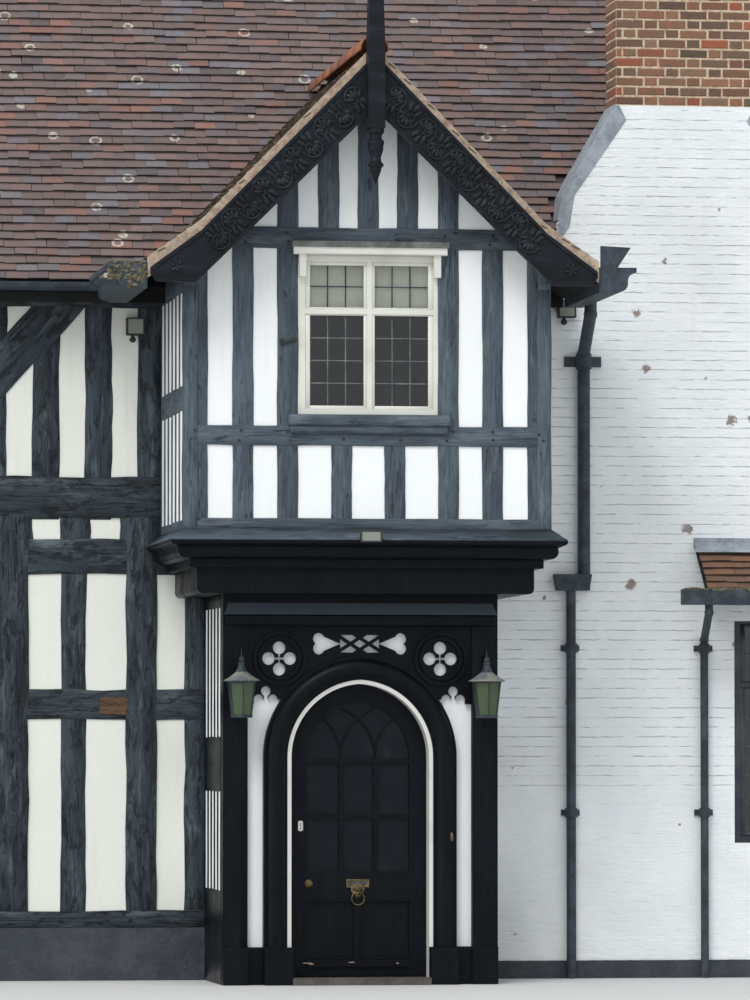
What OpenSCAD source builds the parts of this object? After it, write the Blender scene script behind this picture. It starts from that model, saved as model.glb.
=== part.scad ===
// Half timbered house range with a two storey jettied porch, in millimetres.
// X runs along the front, Y runs into the house, Z is up. The origin is on the
// ground in the middle of the doorway, in the plane of the lower porch front.

/* [House] */
// Length of the range over its end walls
house_len = 11000; // [10800:50:12600]
// Depth of the range over its front and back walls
house_dep = 6000; // [5400:50:7000]
// Distance from the lower porch front back to the main wall
wall_back = 1200; // [1100:10:1500]
// Thickness of the wall timbers
frame_t = 100; // [85:5:130]
// Thickness of the plaster lining behind the timbers
plaster_t = 60; // [40:5:80]
// Depth of the plaster panels behind the face of the timbers
plaster_set = 15; // [5:1:30]
// Thickness of the brick walls
brick_t = 330; // [220:5:360]
// Height of the plinth under the timber walls
plinth_h = 400; // [300:10:500]
// Distance that the plinth stands out from the wall
plinth_out = 20; // [10:1:40]
// Thickness of the ground floor stones
stone_t = 50; // [40:1:60]
// Level of the upper floor
floor_z = 3400; // [3395:1:3440]
// Depth of the upper floor with its joists
floor_d = 200; // [150:5:205]

/* [Main roof] */
// Level of the lower edge of the tiles
eave_z = 5350; // [5300:10:5500]
// Distance of the lower edge of the tiles in front of the wall
eave_out = 300; // [250:10:350]
// Pitch of the roof in degrees
roof_pitch = 50; // [47:0.5:52]
// Thickness of tiles, battens and boards
roof_t = 120; // [90:5:140]
// Distance of the verge beyond the end walls
verge_out = 150; // [80:5:200]
// Radius of the main ridge tiles
ridge_r = 125; // [100:5:150]

/* [Main frame] */
// Distance between the main posts
bay = 985; // [950:5:1010]
// Width of the main posts
post_w = 205; // [180:5:230]
// Width of the studs
stud_w = 145; // [120:5:170]
// Distance between the upper studs
stud_pitch = 405; // [390:1:420]
// Width of the upper studs
upper_stud_w = 190; // [160:5:210]
// Position of the first main post from the middle of the porch
first_post = 1515; // [1500:1:1560]
// Position of the first upper post from the middle of the porch
first_upper = 1455; // [1440:1:1500]
// Level of the underside of the middle rail
rail_z = 2000; // [1900:10:2100]
// Height of the middle rail
rail_h = 210; // [180:5:240]
// Level of the underside of the storey rail
head_z = 3110; // [3105:1:3120]
// Height of the storey rail
head_h = 250; // [245:1:255]
// Level of the underside of the upper sill beam
sill_z = 3540; // [3500:5:3580]
// Height of the upper sill beam
sill_h = 300; // [260:5:330]
// Level of the underside of the wall plate
plate_z = 5160; // [5120:5:5200]
// Width of the curved brace
brace_w = 300; // [220:5:320]

/* [House windows] */
// Level of the sill of the lower windows
low_win_z = 1150; // [1000:10:1250]
// Height of the lower windows
low_win_h = 1450; // [1300:10:1500]
// Level of the sill of the upper windows
up_win_z = 3960; // [3900:10:4000]
// Thickness of a window frame from front to back
win_t = 70; // [60:1:85]
// Width of the frame members
win_rail = 50; // [40:1:60]
// Width of mullions and transoms
win_bar = 40; // [30:1:50]
// Thickness of the glass
glass_t = 6; // [4:1:10]
// Depth that the window frames are let into the posts beside them
win_rebate = 12; // [8:1:16]
// Overlap of the glass behind the frame
glass_lap = 15; // [10:1:20]

/* [Lower porch] */
// Width of the lower porch over its posts
porch_w = 2080; // [2060:10:2120]
// Width of the front posts
porch_post_w = 190; // [180:5:200]
// Level of the underside of the head beam
porch_head_z = 2760; // [2740:5:2780]
// Level of the top of the lower porch walls
porch_top_z = 2920; // [2900:5:2940]
// Width of the splay round the porch front's opening
splay = 60; // [40:2:70]
// Height of the blocks at the foot of the posts
block_h = 280; // [220:5:320]
// Distance that the blocks stand out
block_out = 25; // [10:1:35]
// Number of plaster strips in each lower flank
flank_strips = 5; // [4:1:6]
// Width of the studs in the flanks
flank_stud_w = 110; // [90:1:120]

/* [Door arch] */
// Half of the clear width between the jambs
arch_half = 551; // [540:1:560]
// Level at which the arch springs
spring_z = 1700; // [1650:5:1720]
// Distance of each arc's centre past the middle line
arch_shift = 31; // [10:1:60]
// Width of the roll moulded arch
arch_w = 180; // [170:1:185]
// Radius of the roll
roll_r = 72; // [60:1:80]
// Width of the white lining inside the arch
lining_w = 30; // [20:1:40]

/* [Door head tracery] */
// Thickness of the pierced board
tracery_t = 40; // [30:1:50]
// Distance of the board behind the post faces
tracery_set = 50; // [40:1:60]
// Level of the middle of the roundels
roundel_z = 2440; // [2435:1:2460]
// Distance between the roundels and the posts
roundel_gap = 40; // [30:1:45]
// Outer radius of the roundels
roundel_r = 200; // [185:1:205]
// Radius of a lobe of the pierced cross
lobe_r = 48; // [42:1:50]
// Distance of a lobe from the middle of its roundel
lobe_d = 80; // [74:1:84]
// Level of the middle of the strip between the roundels
strip_z = 2552; // [2548:1:2560]

/* [Front door] */
// Lap of the door behind the lining
door_lap = 20; // [15:1:25]
// Thickness of the door
door_t = 50; // [45:1:60]
// Gap between the door and what stands still
door_gap = 6; // [5:1:8]
// Width of the stiles
stile_w = 151; // [140:1:160]
// Distance of the glazing bars from the middle line
bar_x = 130; // [120:1:140]
// Width of the glazing bars
bar_w = 30; // [24:1:36]
// Radius of the hinge pins
pintle_r = 8; // [6:0.5:10]
// Running clearance of the hinge eyes and the knocker
pin_gap = 0.06; // [0.04:0.01:0.1]
// Level of the letter plate's middle
letter_z = 753; // [740:1:770]
// Level of the knocker's pivot
knocker_z = 680; // [670:1:690]
// Radius of the knocker ring
knocker_r = 48; // [40:1:52]

/* [Jetty] */
// Distance that the upper front stands in front of the lower
jetty_out = 400; // [380:5:420]
// Width of the upper porch over its corner posts
upper_w = 2760; // [2740:10:2800]
// Level of the underside of the cornice
cornice_z = 3110; // [3105:1:3115]
// Level of the top of the cornice
cornice_top = 3380; // [3370:1:3385]
// Projection of the cornice beyond the upper walls
cornice_out = 110; // [95:5:125]
// Distance of the jetty beam behind the upper wall face
beam_set = 110; // [100:5:120]

/* [Upper porch] */
// Width of the corner posts
corner_w = 172; // [160:2:180]
// Width of the outer studs of the upper porch
porch_stud_w = 148; // [130:2:156]
// Distance of the outer studs from the middle line
outer_stud_x = 940; // [935:1:945]
// Distance of the window studs from the middle line
win_stud_x = 605; // [600:1:612]
// Distance of the short studs under the window
short_stud_x = 200; // [190:1:210]
// Level of the underside of the rail below the window
porch_rail_z = 4020; // [4000:5:4040]
// Height of that rail
porch_rail_h = 140; // [130:5:150]
// Level of the underside of the gable rail
gable_z = 5490; // [5480:5:5520]
// Height of the gable rail
gable_h = 150; // [130:5:160]
// Distance between the gable studs
gable_pitch = 297; // [290:1:305]
// Number of plaster strips in each upper flank
upper_strips = 6; // [5:1:7]

/* [Porch window] */
// Level of the underside of the window
porch_win_z = 4240; // [4230:1:4250]
// Height of the window
porch_win_h = 1200; // [1190:1:1210]
// Width of the window
porch_win_w = 1066; // [1050:2:1070]
// Height of the transom above the window's underside
transom_h = 780; // [740:5:800]
// Projection of the sill and hood boards
board_out = 60; // [40:1:70]

/* [Porch roof] */
// Level of the top of the porch roof
porch_apex_z = 7000; // [6950:10:7050]
// Half of the span over the eaves
porch_eave_x = 1690; // [1680:5:1720]
// Level of the lower edge of the porch tiles
porch_eave_z = 5400; // [5380:5:5430]
// Width of the flatter foot of the slope
kick_w = 400; // [380:5:420]
// Height of the flatter foot of the slope
kick_h = 280; // [265:5:290]
// Distance of the verge in front of the upper wall
gable_out = 320; // [300:5:340]
// Radius of the porch ridge tiles
porch_ridge_r = 110; // [95:5:120]
// Upright depth of the bargeboards
barge_h = 400; // [380:5:420]
// Thickness of the bargeboards
barge_t = 50; // [40:1:60]
// Drop of the bargeboards below the top of the tiles
barge_drop = 95; // [80:1:110]
// Level of the level foot of the bargeboards
barge_foot_z = 5200; // [5190:5:5215]
// Width of the finial post
finial_w = 127; // [115:1:135]
// Level of the lower end of the pendant
pendant_z = 5930; // [5900:5:5960]
// Level of the top of the finial
finial_top = 7750; // [7600:10:7900]

/* [Chimney] */
// Left side of the stack
stack_x = 2170; // [2150:5:2200]
// Width of the stack, five bricks
stack_w = 1125; // [1100:5:1150]
// Depth of the stack from the wall face, two bricks
stack_d = 450; // [440:5:560]
// Level at which the stack leaves the white wall
stack_z = 6770; // [6740:5:6800]
// Level of the top of the stack
stack_top = 10600; // [10200:50:10900]
// Left foot of the sloping shoulder
shoulder_x = 1720; // [1700:5:1740]
// Level of the foot of the shoulder
shoulder_z = 5870; // [5850:5:5900]
// Distance that the shoulder leans in up to its knee
knee_in = 40; // [20:5:60]
// Height of the knee above the foot of the shoulder
knee_rise = 190; // [150:5:220]
// Width of the lead on the shoulder
lead_w = 115; // [100:1:125]
// Height of the chimney pots
pot_h = 450; // [350:10:550]

/* [Right window and canopy] */
// Left side of the right window
right_win_x = 3100; // [3090:5:3120]
// Width of the wall between the right window and the end wall
right_pier_w = 320; // [280:5:360]
// Level of the sill of the right window
right_win_z = 1040; // [1030:5:1060]
// Height of the right window
right_win_h = 1750; // [1720:5:1760]
// Distance of the canopy beyond the window at each side
canopy_side = 300; // [260:5:320]
// Level of the top of the canopy
canopy_z = 3370; // [3360:5:3400]
// Projection of the canopy
canopy_out = 450; // [400:10:500]
// Fall of the canopy from the wall to its edge
canopy_fall = 360; // [320:5:380]
// Thickness of the canopy
canopy_t = 90; // [80:5:110]

/* [Gutters and pipes] */
// Radius of the gutters
gutter_r = 62; // [55:1:70]
// Thickness of the gutters
gutter_t = 8; // [6:1:12]
// Radius of the upper downpipe
pipe_r = 48; // [44:1:50]
// Radius of the lower downpipe
low_pipe_r = 37; // [33:1:40]
// Radius of the canopy's downpipe
thin_pipe_r = 31; // [27:1:34]
// Width of the porch's moulded box gutters
box_gutter_w = 284; // [270:2:300]

/* [Lanterns] */
// Level of the tips of the lanterns
lantern_z = 2520; // [2480:5:2550]
// Distance of the lanterns from the middle line
lantern_x = 925; // [915:1:930]
// Width of the lantern caps
lantern_w = 256; // [240:2:260]

/* [Hidden] */
$fn = 48;

timber = "#3c434b";
gloss = "#15181c";
white = "#ebf0f0";
cream = "#e1e1d7";
tile = "#6e5550";
brick = "#8a5540";
lead = "#78828c";
brass = "#967846";
stone = "#8f8a80";
pane = "#5a6a70";

big = 20000;
wall_t = frame_t + plaster_t;
half_len = house_len / 2;
y_front = wall_back;
y_back = wall_back + house_dep;
y_mid = (y_front + y_back) / 2;
roof_v = roof_t / cos(roof_pitch);
wall_top = eave_z - roof_v + eave_out * tan(roof_pitch);
ridge_z = eave_z + (house_dep / 2 + eave_out) * tan(roof_pitch);
storey_z = head_z + head_h;
roof_gap = 1;
x_left = -half_len + frame_t;
x_right = half_len - brick_t;
right_win_w = x_right - right_pier_w - right_win_x;
canopy_w = right_win_w + 2 * canopy_side;
canopy_x = right_win_x - canopy_side;
low_in = porch_w / 2 - wall_t;
up_in = upper_w / 2 - wall_t;
y_up = -jetty_out;
verge_y = y_up - gable_out;
knee_x = porch_eave_x - kick_w;
knee_z = porch_eave_z + kick_h;
porch_v = roof_t / cos(atan((porch_apex_z - knee_z) / knee_x));
door_half = arch_half - lining_w + door_lap;
door_y = wall_t + door_gap;
hinge_out = 19;
hinge_back = 10;
hinge_x = door_half + hinge_out;
hinge_y = door_y + door_t + hinge_back;

// Height of the main roof's outer surface at a depth y
function roof_at(y) = eave_z + (min(y, 2 * y_mid - y) - y_front + eave_out) * tan(roof_pitch);

// Stands a drawing in X and Z up, with its face at y, going back by t
module elevation(y, t) translate([0, y + t, 0]) rotate([90, 0, 0]) linear_extrude(t) children();

// Stands a drawing in Y and Z up, from x towards +X by t
module side_elevation(x, t) translate([x, 0, 0]) rotate([90, 0, 90]) linear_extrude(t) children();

// Rectangle between two corners
module area(x0, z0, x1, z1) translate([x0, z0]) square([x1 - x0, z1 - z0]);

// Upright timber around a centre line
module upright(x, w, z0, z1) area(x - w / 2, z0, x + w / 2, z1);

// Points of an arc about c from the angle a0 to a1
function arc(c, r, a0, a1, n = 8) = [for (i = [0:n]) c + r * [cos(a0 + i * (a1 - a0) / n), sin(a0 + i * (a1 - a0) / n)]];

// The same shape on both sides of the middle line
module both() {
  children();
  mirror([1, 0, 0]) children();
}

// Level of the underside of the porch roof at a distance x from the middle
function porch_under(x) = x < knee_x
  ? porch_apex_z - porch_v - x * (porch_apex_z - knee_z) / knee_x
  : knee_z - porch_v - (x - knee_x) * kick_h / kick_w;

// Timber layer of a wall with its face at y, cut to the outline given second
module timbers(y) elevation(y, frame_t) intersection() {
  children(0);
  children(1);
}

// Plaster of a wall: the lining behind the timbers and the panels between them
module plaster(y) {
  elevation(y + frame_t, plaster_t) children(1);
  elevation(y + plaster_set, frame_t - plaster_set) difference() {
    children(1);
    children(0);
  }
}

// Timber layer of a side wall with its outer face at x
module side_timbers(x) side_elevation(x, frame_t) intersection() {
  children(0);
  children(1);
}

// Plaster of a side wall with the outer face of its timbers at x
module side_plaster(x) {
  side_elevation(x + frame_t, plaster_t) children(1);
  side_elevation(x + plaster_set, frame_t - plaster_set) difference() {
    children(1);
    children(0);
  }
}

// Two centred arch with its foot at z0
module arch_2d(half, z0) {
  area(-half, z0, half, spring_z);
  intersection() {
    translate([-arch_shift, spring_z]) circle(half + arch_shift, $fn = 96);
    translate([arch_shift, spring_z]) circle(half + arch_shift, $fn = 96);
    area(-half, spring_z, half, spring_z + 2 * half);
  }
}

// Main front, lower storey
low_win_x0 = -(first_post + 2 * bay) + post_w / 2 - win_rebate;
low_win_x1 = -(first_post + bay) - post_w / 2 + win_rebate;
low_sill_h = 120;
win_rail_h = 100;

module low_window_2d() area(low_win_x0, low_win_z, low_win_x1, low_win_z + low_win_h);

module front_low_outline() difference() {
  union() {
    area(x_left, plinth_h, -low_in, head_z);
    area(x_left, head_z, -up_in, storey_z);
  }
  low_window_2d();
}

module front_low_timbers() {
  area(x_left, plinth_h, -low_in, plinth_h + low_sill_h);
  area(x_left, rail_z, -low_in, rail_z + rail_h);
  area(x_left, head_z, -up_in, storey_z);
  for (i = [0:3]) upright(-(first_post + i * bay), post_w, plinth_h, head_z);
  for (i = [0:3]) upright(-(first_post + (i + 0.5) * bay), stud_w, plinth_h, head_z);
  area(-porch_w / 2 - stud_w, plinth_h, -low_in, head_z);
  area(low_win_x0, low_win_z - win_rail_h, low_win_x1, low_win_z + low_win_h + win_rail_h);
}

module front_frame_lower() color(timber) timbers(y_front) {
  front_low_timbers();
  front_low_outline();
}

// Main front, upper storey
up_win_x0 = -(first_upper + 7 * stud_pitch) + upper_stud_w / 2 - win_rebate;
up_win_x1 = -(first_upper + 4 * stud_pitch) - upper_stud_w / 2 + win_rebate;
up_win_h = plate_z + win_rebate - up_win_z;
brace_top = plate_z;
brace_foot = sill_z + sill_h;
brace_lean = 52;
brace_reach = 0.55 * bay;
brace_at = [2.1, 8.5];

module up_window_2d() area(up_win_x0, up_win_z, up_win_x1, up_win_z + up_win_h);

module front_up_outline() difference() {
  area(x_left, storey_z, -up_in, wall_top);
  up_window_2d();
}

// Brace whose middle is at x, leaning by a number of degrees
module brace_2d(x, lean) intersection() {
  translate([x, (brace_foot + brace_top) / 2]) rotate(lean) square([3 * bay, brace_w], center = true);
  area(x - brace_reach, brace_foot, x + brace_reach, brace_top);
}

module front_up_timbers() {
  area(x_left, sill_z, -up_in, sill_z + sill_h);
  area(x_left, plate_z, -up_in, wall_top);
  for (i = [0:9]) upright(-(first_upper + i * stud_pitch), upper_stud_w, storey_z, plate_z);
  area(up_win_x0, up_win_z - win_rail_h, up_win_x1, up_win_z);
  brace_2d(-first_upper - brace_at[0] * stud_pitch, brace_lean);
  brace_2d(-first_upper - brace_at[1] * stud_pitch, -brace_lean);
}

module front_frame_upper() color(timber) timbers(y_front) {
  front_up_timbers();
  front_up_outline();
}

module front_plaster_lower() color(white) plaster(y_front) {
  front_low_timbers();
  front_low_outline();
}

module front_plaster_upper() color(white) plaster(y_front) {
  front_up_timbers();
  front_up_outline();
}

// Left gable, drawn in Y and Z
gable_bays = 6;
gable_pitch_y = house_dep / gable_bays;

module gable_2d(y0, y1, z0) intersection() {
  polygon([
    [y_front, z0], [y_back, z0], [y_back, wall_top - roof_gap],
    [y_mid, ridge_z - roof_v - roof_gap], [y_front, wall_top - roof_gap]
  ]);
  area(y0, z0, y1, ridge_z);
}

module left_gable_timbers() {
  area(y_front, plinth_h, y_back, plinth_h + low_sill_h);
  area(y_front, rail_z, y_back, rail_z + rail_h);
  area(y_front, head_z, y_back, storey_z);
  area(y_front, sill_z, y_back, sill_z + sill_h);
  area(y_front, plate_z, y_back, wall_top);
  for (i = [0:gable_bays]) upright(y_front + i * gable_pitch_y, post_w * (i % gable_bays == 0 ? 2 : 1), plinth_h, ridge_z);
  for (i = [0:gable_bays - 1]) upright(y_front + (i + 0.5) * gable_pitch_y, stud_w, storey_z, ridge_z);
  difference() {
    gable_2d(y_front, y_back, plate_z);
    translate([0, -post_w / cos(roof_pitch)]) gable_2d(y_front, y_back, plate_z);
  }
  area(y_front, (wall_top + ridge_z) / 2 - post_w, y_back, (wall_top + ridge_z) / 2);
}

module left_gable_frame() color(timber) side_timbers(-half_len) {
  left_gable_timbers();
  gable_2d(y_front, y_back, plinth_h);
}

module left_gable_plaster() color(white) side_plaster(-half_len) {
  left_gable_timbers();
  gable_2d(y_front + wall_t, y_back - wall_t, plinth_h);
}

// Back wall
back_bays = 11;
back_pitch = (x_right - x_left) / back_bays;
back_window_bays = [2, 5, 8];
back_win_w = back_pitch - post_w + 2 * win_rebate;

function back_x(i) = x_left + i * back_pitch;
function back_win_x(i) = back_x(i) + post_w / 2 - win_rebate;

module back_windows_2d() for (i = back_window_bays) {
  translate([back_win_x(i), low_win_z]) square([back_win_w, low_win_h]);
  translate([back_win_x(i), up_win_z]) square([back_win_w, up_win_h]);
}

module back_outline() difference() {
  area(x_left, plinth_h, x_right, wall_top);
  back_windows_2d();
}

module back_timbers() {
  area(x_left, plinth_h, x_right, plinth_h + low_sill_h);
  area(x_left, rail_z, x_right, rail_z + rail_h);
  area(x_left, head_z, x_right, storey_z);
  area(x_left, sill_z, x_right, sill_z + sill_h);
  area(x_left, plate_z, x_right, wall_top);
  for (i = [0:back_bays]) upright(back_x(i), post_w, plinth_h, wall_top);
  for (i = [0:back_bays - 1]) upright(back_x(i + 0.5), stud_w, plinth_h, wall_top);
  for (i = back_window_bays) {
    area(back_x(i), low_win_z - win_rail_h, back_x(i + 1), low_win_z + low_win_h + win_rail_h);
    area(back_x(i), up_win_z - win_rail_h, back_x(i + 1), up_win_z);
  }
}

// Turns a wall drawn for the front round to the back
module at_back() translate([0, y_back, 0]) mirror([0, 1, 0]) children();

module back_frame() color(timber) at_back() timbers(0) {
  back_timbers();
  back_outline();
}

module back_plaster() color(white) at_back() plaster(0) {
  back_timbers();
  back_outline();
}

// Plinth in straight runs that meet at joints, with a low band in front of the brick wall, and floors
low_plinth_h = 135;
plinth_joint = 1;

module plinth() color(timber) {
  run_x = -half_len + wall_t + plinth_joint;
  translate([run_x, y_front - plinth_out, 0]) cube([-porch_w / 2 - run_x, plinth_out + wall_t, plinth_h]);
  translate([-porch_w / 2 - 1, y_front, 0]) cube([wall_t + 1, wall_t, plinth_h]);
  translate([-half_len - plinth_out, y_front - plinth_out, 0])
    cube([plinth_out + wall_t, house_dep + 2 * plinth_out, plinth_h]);
  translate([run_x, y_back - wall_t, 0]) cube([x_right - run_x, wall_t + plinth_out, plinth_h]);
  translate([porch_w / 2, y_front - plinth_out, 0]) cube([half_len - porch_w / 2, plinth_out, low_plinth_h]);
}

// Plan of a floor inside the walls, with its part in the porch
module floor_2d(side, porch_y) {
  area(-half_len + wall_t, y_front + wall_t, side, y_back - wall_t);
  area(side - 1, y_front + brick_t, x_right, y_back - wall_t);
  area(-side, porch_y, side, y_front + wall_t + 1);
}

module ground_floor() color(stone) linear_extrude(stone_t) floor_2d(low_in, wall_t);

module upper_floor() color("#7a5c3e") translate([0, 0, floor_z - floor_d]) linear_extrude(floor_d)
  difference() {
    floor_2d(up_in, y_up + wall_t);
    breast_plan();
  }

// Brick walls, breast, shoulders and stack
stack_mid = stack_x + stack_w / 2;
breast_side = 220;
breast_gap = 50;
breast_x0 = stack_x - breast_side;
breast_x1 = right_win_x - breast_gap;
lead_t = 6;
course_h = 75;
cap_step = 20;

module breast_plan() area(breast_x0, y_front, breast_x1, y_front + stack_d);

// Points up the left shoulder, moved to the right by d
function shoulder_edge(d) = [
  [shoulder_x + d, shoulder_z], [shoulder_x + knee_in + d, shoulder_z + knee_rise], [stack_x + d, stack_z]
];

module shoulders_2d(foot_z, grow) {
  left = concat([[shoulder_x - grow, foot_z]], shoulder_edge(-grow));
  polygon(concat(left, [for (i = [3:-1:0]) [2 * stack_mid - left[i][0], left[i][1]]]));
}

module right_window_2d() area(right_win_x, right_win_z, right_win_x + right_win_w, right_win_z + right_win_h);

module front_wall_right() color(white) elevation(y_front, brick_t) difference() {
  union() {
    area(low_in, 0, x_right, head_z);
    area(up_in, head_z, x_right, wall_top);
    shoulders_2d(head_z, 0);
  }
  right_window_2d();
}

module right_gable_wall() color(white) side_elevation(x_right, brick_t) gable_2d(y_front, y_back, 0);

module chimney_stack() color(brick) {
  translate([stack_x, y_front, stack_z]) cube([stack_w, stack_d, stack_top - stack_z]);
  for (k = [1:3]) translate([stack_x - cap_step * k, y_front - cap_step * k, stack_top - course_h * (5 - k)])
    cube([stack_w + 2 * cap_step * k, stack_d + 2 * cap_step * k, course_h]);
  elevation(y_front + brick_t, stack_d - brick_t) {
    shoulders_2d(wall_top - roof_t, 0);
    area(breast_x0, stone_t, breast_x1, wall_top);
    area(stack_x, wall_top, stack_x + stack_w, stack_z + course_h);
  }
}

pot_r = 170;
pot_flue_r = 95;
pot_foot_h = 60;

module chimney_pots() color("#a8623f") for (k = [-1, 1])
  translate([stack_mid + k * stack_w / 4, y_front + stack_d / 2, stack_top]) rotate_extrude() difference() {
    polygon([
      [0, 0], [pot_r, 0], [pot_r, pot_foot_h], [pot_r * 0.8, pot_foot_h * 1.5],
      [pot_r * 0.7, pot_h * 0.84], [pot_r * 0.88, pot_h * 0.89], [pot_r * 0.88, pot_h], [0, pot_h]
    ]);
    translate([0, pot_foot_h]) square([pot_flue_r, pot_h]);
  }

// Lead over the shoulders: a sheet on the slope and a strip turned down the face
module lead_flashing() color(lead) for (side = [0, 1])
  translate([side * 2 * stack_mid, 0, 0]) mirror([side, 0, 0]) {
    elevation(y_front - lead_t, lead_t) polygon(concat(
      shoulder_edge(0),
      [[stack_x + lead_w / 2, stack_z], [stack_x + lead_w, stack_z - lead_w]],
      [shoulder_edge(lead_w)[1]],
      [[shoulder_x + lead_w, shoulder_z - lead_w / 2], [shoulder_x, shoulder_z - 1.5 * lead_w]]
    ));
    elevation(y_front - lead_t, stack_d + lead_t) polygon(concat(
      shoulder_edge(0),
      [[stack_x, stack_z + 2 * lead_t], shoulder_edge(-2 * lead_t)[1], shoulder_edge(-2 * lead_t)[0]]
    ));
  }

// Main roof
module main_slope_2d() polygon([
  [y_front - eave_out, eave_z - roof_v], [y_front - eave_out, eave_z],
  [y_mid, ridge_z], [y_mid, ridge_z - roof_v]
]);

// Everything under the outer surface of the main roof
module under_main_roof() side_elevation(-big / 2, big) polygon([
  [y_front - eave_out, 0], [y_front - eave_out, eave_z], [y_mid, ridge_z],
  [2 * y_mid - y_front + eave_out, eave_z], [2 * y_mid - y_front + eave_out, 0]
]);

module main_slope() side_elevation(-half_len - verge_out, house_len + 2 * verge_out) main_slope_2d();

module porch_core_2d() polygon([
  [-upper_w / 2, 0], [upper_w / 2, 0], [upper_w / 2, porch_under(upper_w / 2)],
  [knee_x, porch_under(knee_x)], [0, porch_under(0)], [-knee_x, porch_under(knee_x)],
  [-upper_w / 2, porch_under(upper_w / 2)]
]);

module main_roof_front() color(tile) difference() {
  main_slope();
  elevation(0, big / 4) porch_core_2d();
  elevation(0, y_front + stack_d) {
    shoulders_2d(0, 3 * lead_t);
    area(stack_x - 3 * lead_t, stack_z - 1, stack_x + stack_w + 3 * lead_t, stack_top);
  }
}

module main_roof_back() color(tile) translate([0, 2 * y_mid, 0]) mirror([0, 1, 0]) main_slope();

module ridge_tiles() color("#96583c") {
  difference() {
    translate([-half_len - verge_out, y_mid, ridge_z - ridge_r * 0.4]) rotate([0, 90, 0])
      cylinder(h = house_len + 2 * verge_out, r = ridge_r);
    under_main_roof();
  }
  difference() {
    translate([0, y_mid, porch_apex_z - porch_ridge_r * 0.4]) rotate([90, 0, 0])
      cylinder(h = y_mid - verge_y, r = porch_ridge_r);
    porch_prism(verge_y - 1, big / 4);
    elevation(verge_y - 1, big / 4) area(-big / 4, 0, big / 4, porch_apex_z - porch_ridge_r);
    under_main_roof();
  }
}

// Porch roof
module porch_slopes_2d() polygon([
  [0, porch_apex_z], [knee_x, knee_z], [porch_eave_x, porch_eave_z],
  [porch_eave_x, porch_eave_z - porch_v], [knee_x, knee_z - porch_v], [0, porch_apex_z - porch_v],
  [-knee_x, knee_z - porch_v], [-porch_eave_x, porch_eave_z - porch_v],
  [-porch_eave_x, porch_eave_z], [-knee_x, knee_z]
]);

module porch_prism(y, t) elevation(y, t) porch_slopes_2d();

module porch_roof() color(tile) difference() {
  porch_prism(verge_y, y_mid - verge_y);
  under_main_roof();
}

barge_end = 20;
foot_cut = [40, 60];
foot_in = 50;
rib_w = 34;
rib_t = 12;

module barge_2d() difference() {
  polygon([
    [0, porch_apex_z - barge_drop], [knee_x, knee_z - barge_drop],
    [porch_eave_x - barge_end, porch_eave_z - barge_drop],
    [porch_eave_x - barge_end, barge_foot_z + foot_cut[1]],
    [porch_eave_x - barge_end - foot_cut[0], barge_foot_z], [upper_w / 2 - foot_in, barge_foot_z],
    [0, porch_apex_z - barge_drop - barge_h]
  ]);
  area(-finial_w / 2, 0, finial_w / 2, big);
}

// Strip of the bargeboard along its upper edge or its lower one, where the shift is negative
module barge_rib_2d(shift) difference() {
  barge_2d();
  translate([0, -shift]) barge_2d();
}

module bargeboards() color(timber) both() {
  elevation(verge_y - barge_t, barge_t) barge_2d();
  elevation(verge_y - barge_t - rib_t, rib_t) {
    barge_rib_2d(-rib_w);
    barge_rib_2d(rib_w);
  }
}

finial_taper_z = porch_apex_z - 50;

// Turned outline of the pendant: radius and height over its lower end
PENDANT = [
  [0, 0], [20, 50], [42, 110], [42, 125], [58, 140], [58, 155], [44, 170], [38, 200],
  [56, 260], [56, 290], [62, 305], [62, 325], [46, 340], [46, 370], [62, 390], [62, 420], [0, 420]
];

post_foot_z = pendant_z + PENDANT[len(PENDANT) - 1][1];

module finial_post() color(timber) translate([0, verge_y - finial_w / 2, 0]) {
  intersection() {
    elevation(-finial_w / 2, finial_w) finial_2d();
    side_elevation(-finial_w / 2, finial_w) finial_2d();
  }
  rotate_extrude() translate([0, pendant_z]) polygon(PENDANT);
}

module finial_2d() polygon([
  [-finial_w / 2, post_foot_z], [finial_w / 2, post_foot_z], [finial_w / 2, finial_taper_z],
  [finial_w / 3, finial_top], [-finial_w / 3, finial_top], [-finial_w / 2, finial_taper_z]
]);

// Lower porch
post_x = porch_w / 2 - porch_post_w;
flank_low_z = 700;
flank_rail_z = 1450;
flank_rail_h = 400;
flank_up_rail_z = 4280;
flank_up_rail_h = 180;
flank_plate_h = 90;

// Posts and head beam, splayed round the opening, with a base beside the arch
base_set = 40;

module porch_front_frame() color(gloss) {
  both() linear_extrude(porch_top_z) polygon([
    [post_x + splay, 0], [porch_w / 2, 0], [porch_w / 2, wall_t], [post_x, wall_t], [post_x, splay / 2]
  ]);
  side_elevation(-porch_w / 2, porch_w) polygon([
    [0, porch_head_z + splay], [0, porch_top_z], [wall_t, porch_top_z], [wall_t, porch_head_z],
    [splay / 2, porch_head_z]
  ]);
  elevation(-block_out, block_out) both() area(post_x, 0, porch_w / 2, block_h);
  elevation(base_set, wall_t - base_set) both() area(arch_half + arch_w, 0, post_x, block_h);
}

module porch_front_plaster() color(white)
  elevation(tracery_set + tracery_t, wall_t - tracery_set - tracery_t) difference() {
    area(-post_x, block_h, post_x, porch_head_z);
    arch_2d(arch_half + arch_w, -1);
  }

module flank_low_outline() area(wall_t, 0, y_front, porch_top_z);

module flank_low_timbers() {
  pitch = (y_front - wall_t) / flank_strips;
  area(wall_t, 0, y_front, flank_low_z);
  area(wall_t, flank_rail_z, y_front, flank_rail_z + flank_rail_h);
  area(wall_t, porch_top_z - flank_plate_h, y_front, porch_top_z);
  for (i = [0:flank_strips]) upright(wall_t + i * pitch, flank_stud_w, 0, porch_top_z);
}

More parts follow.
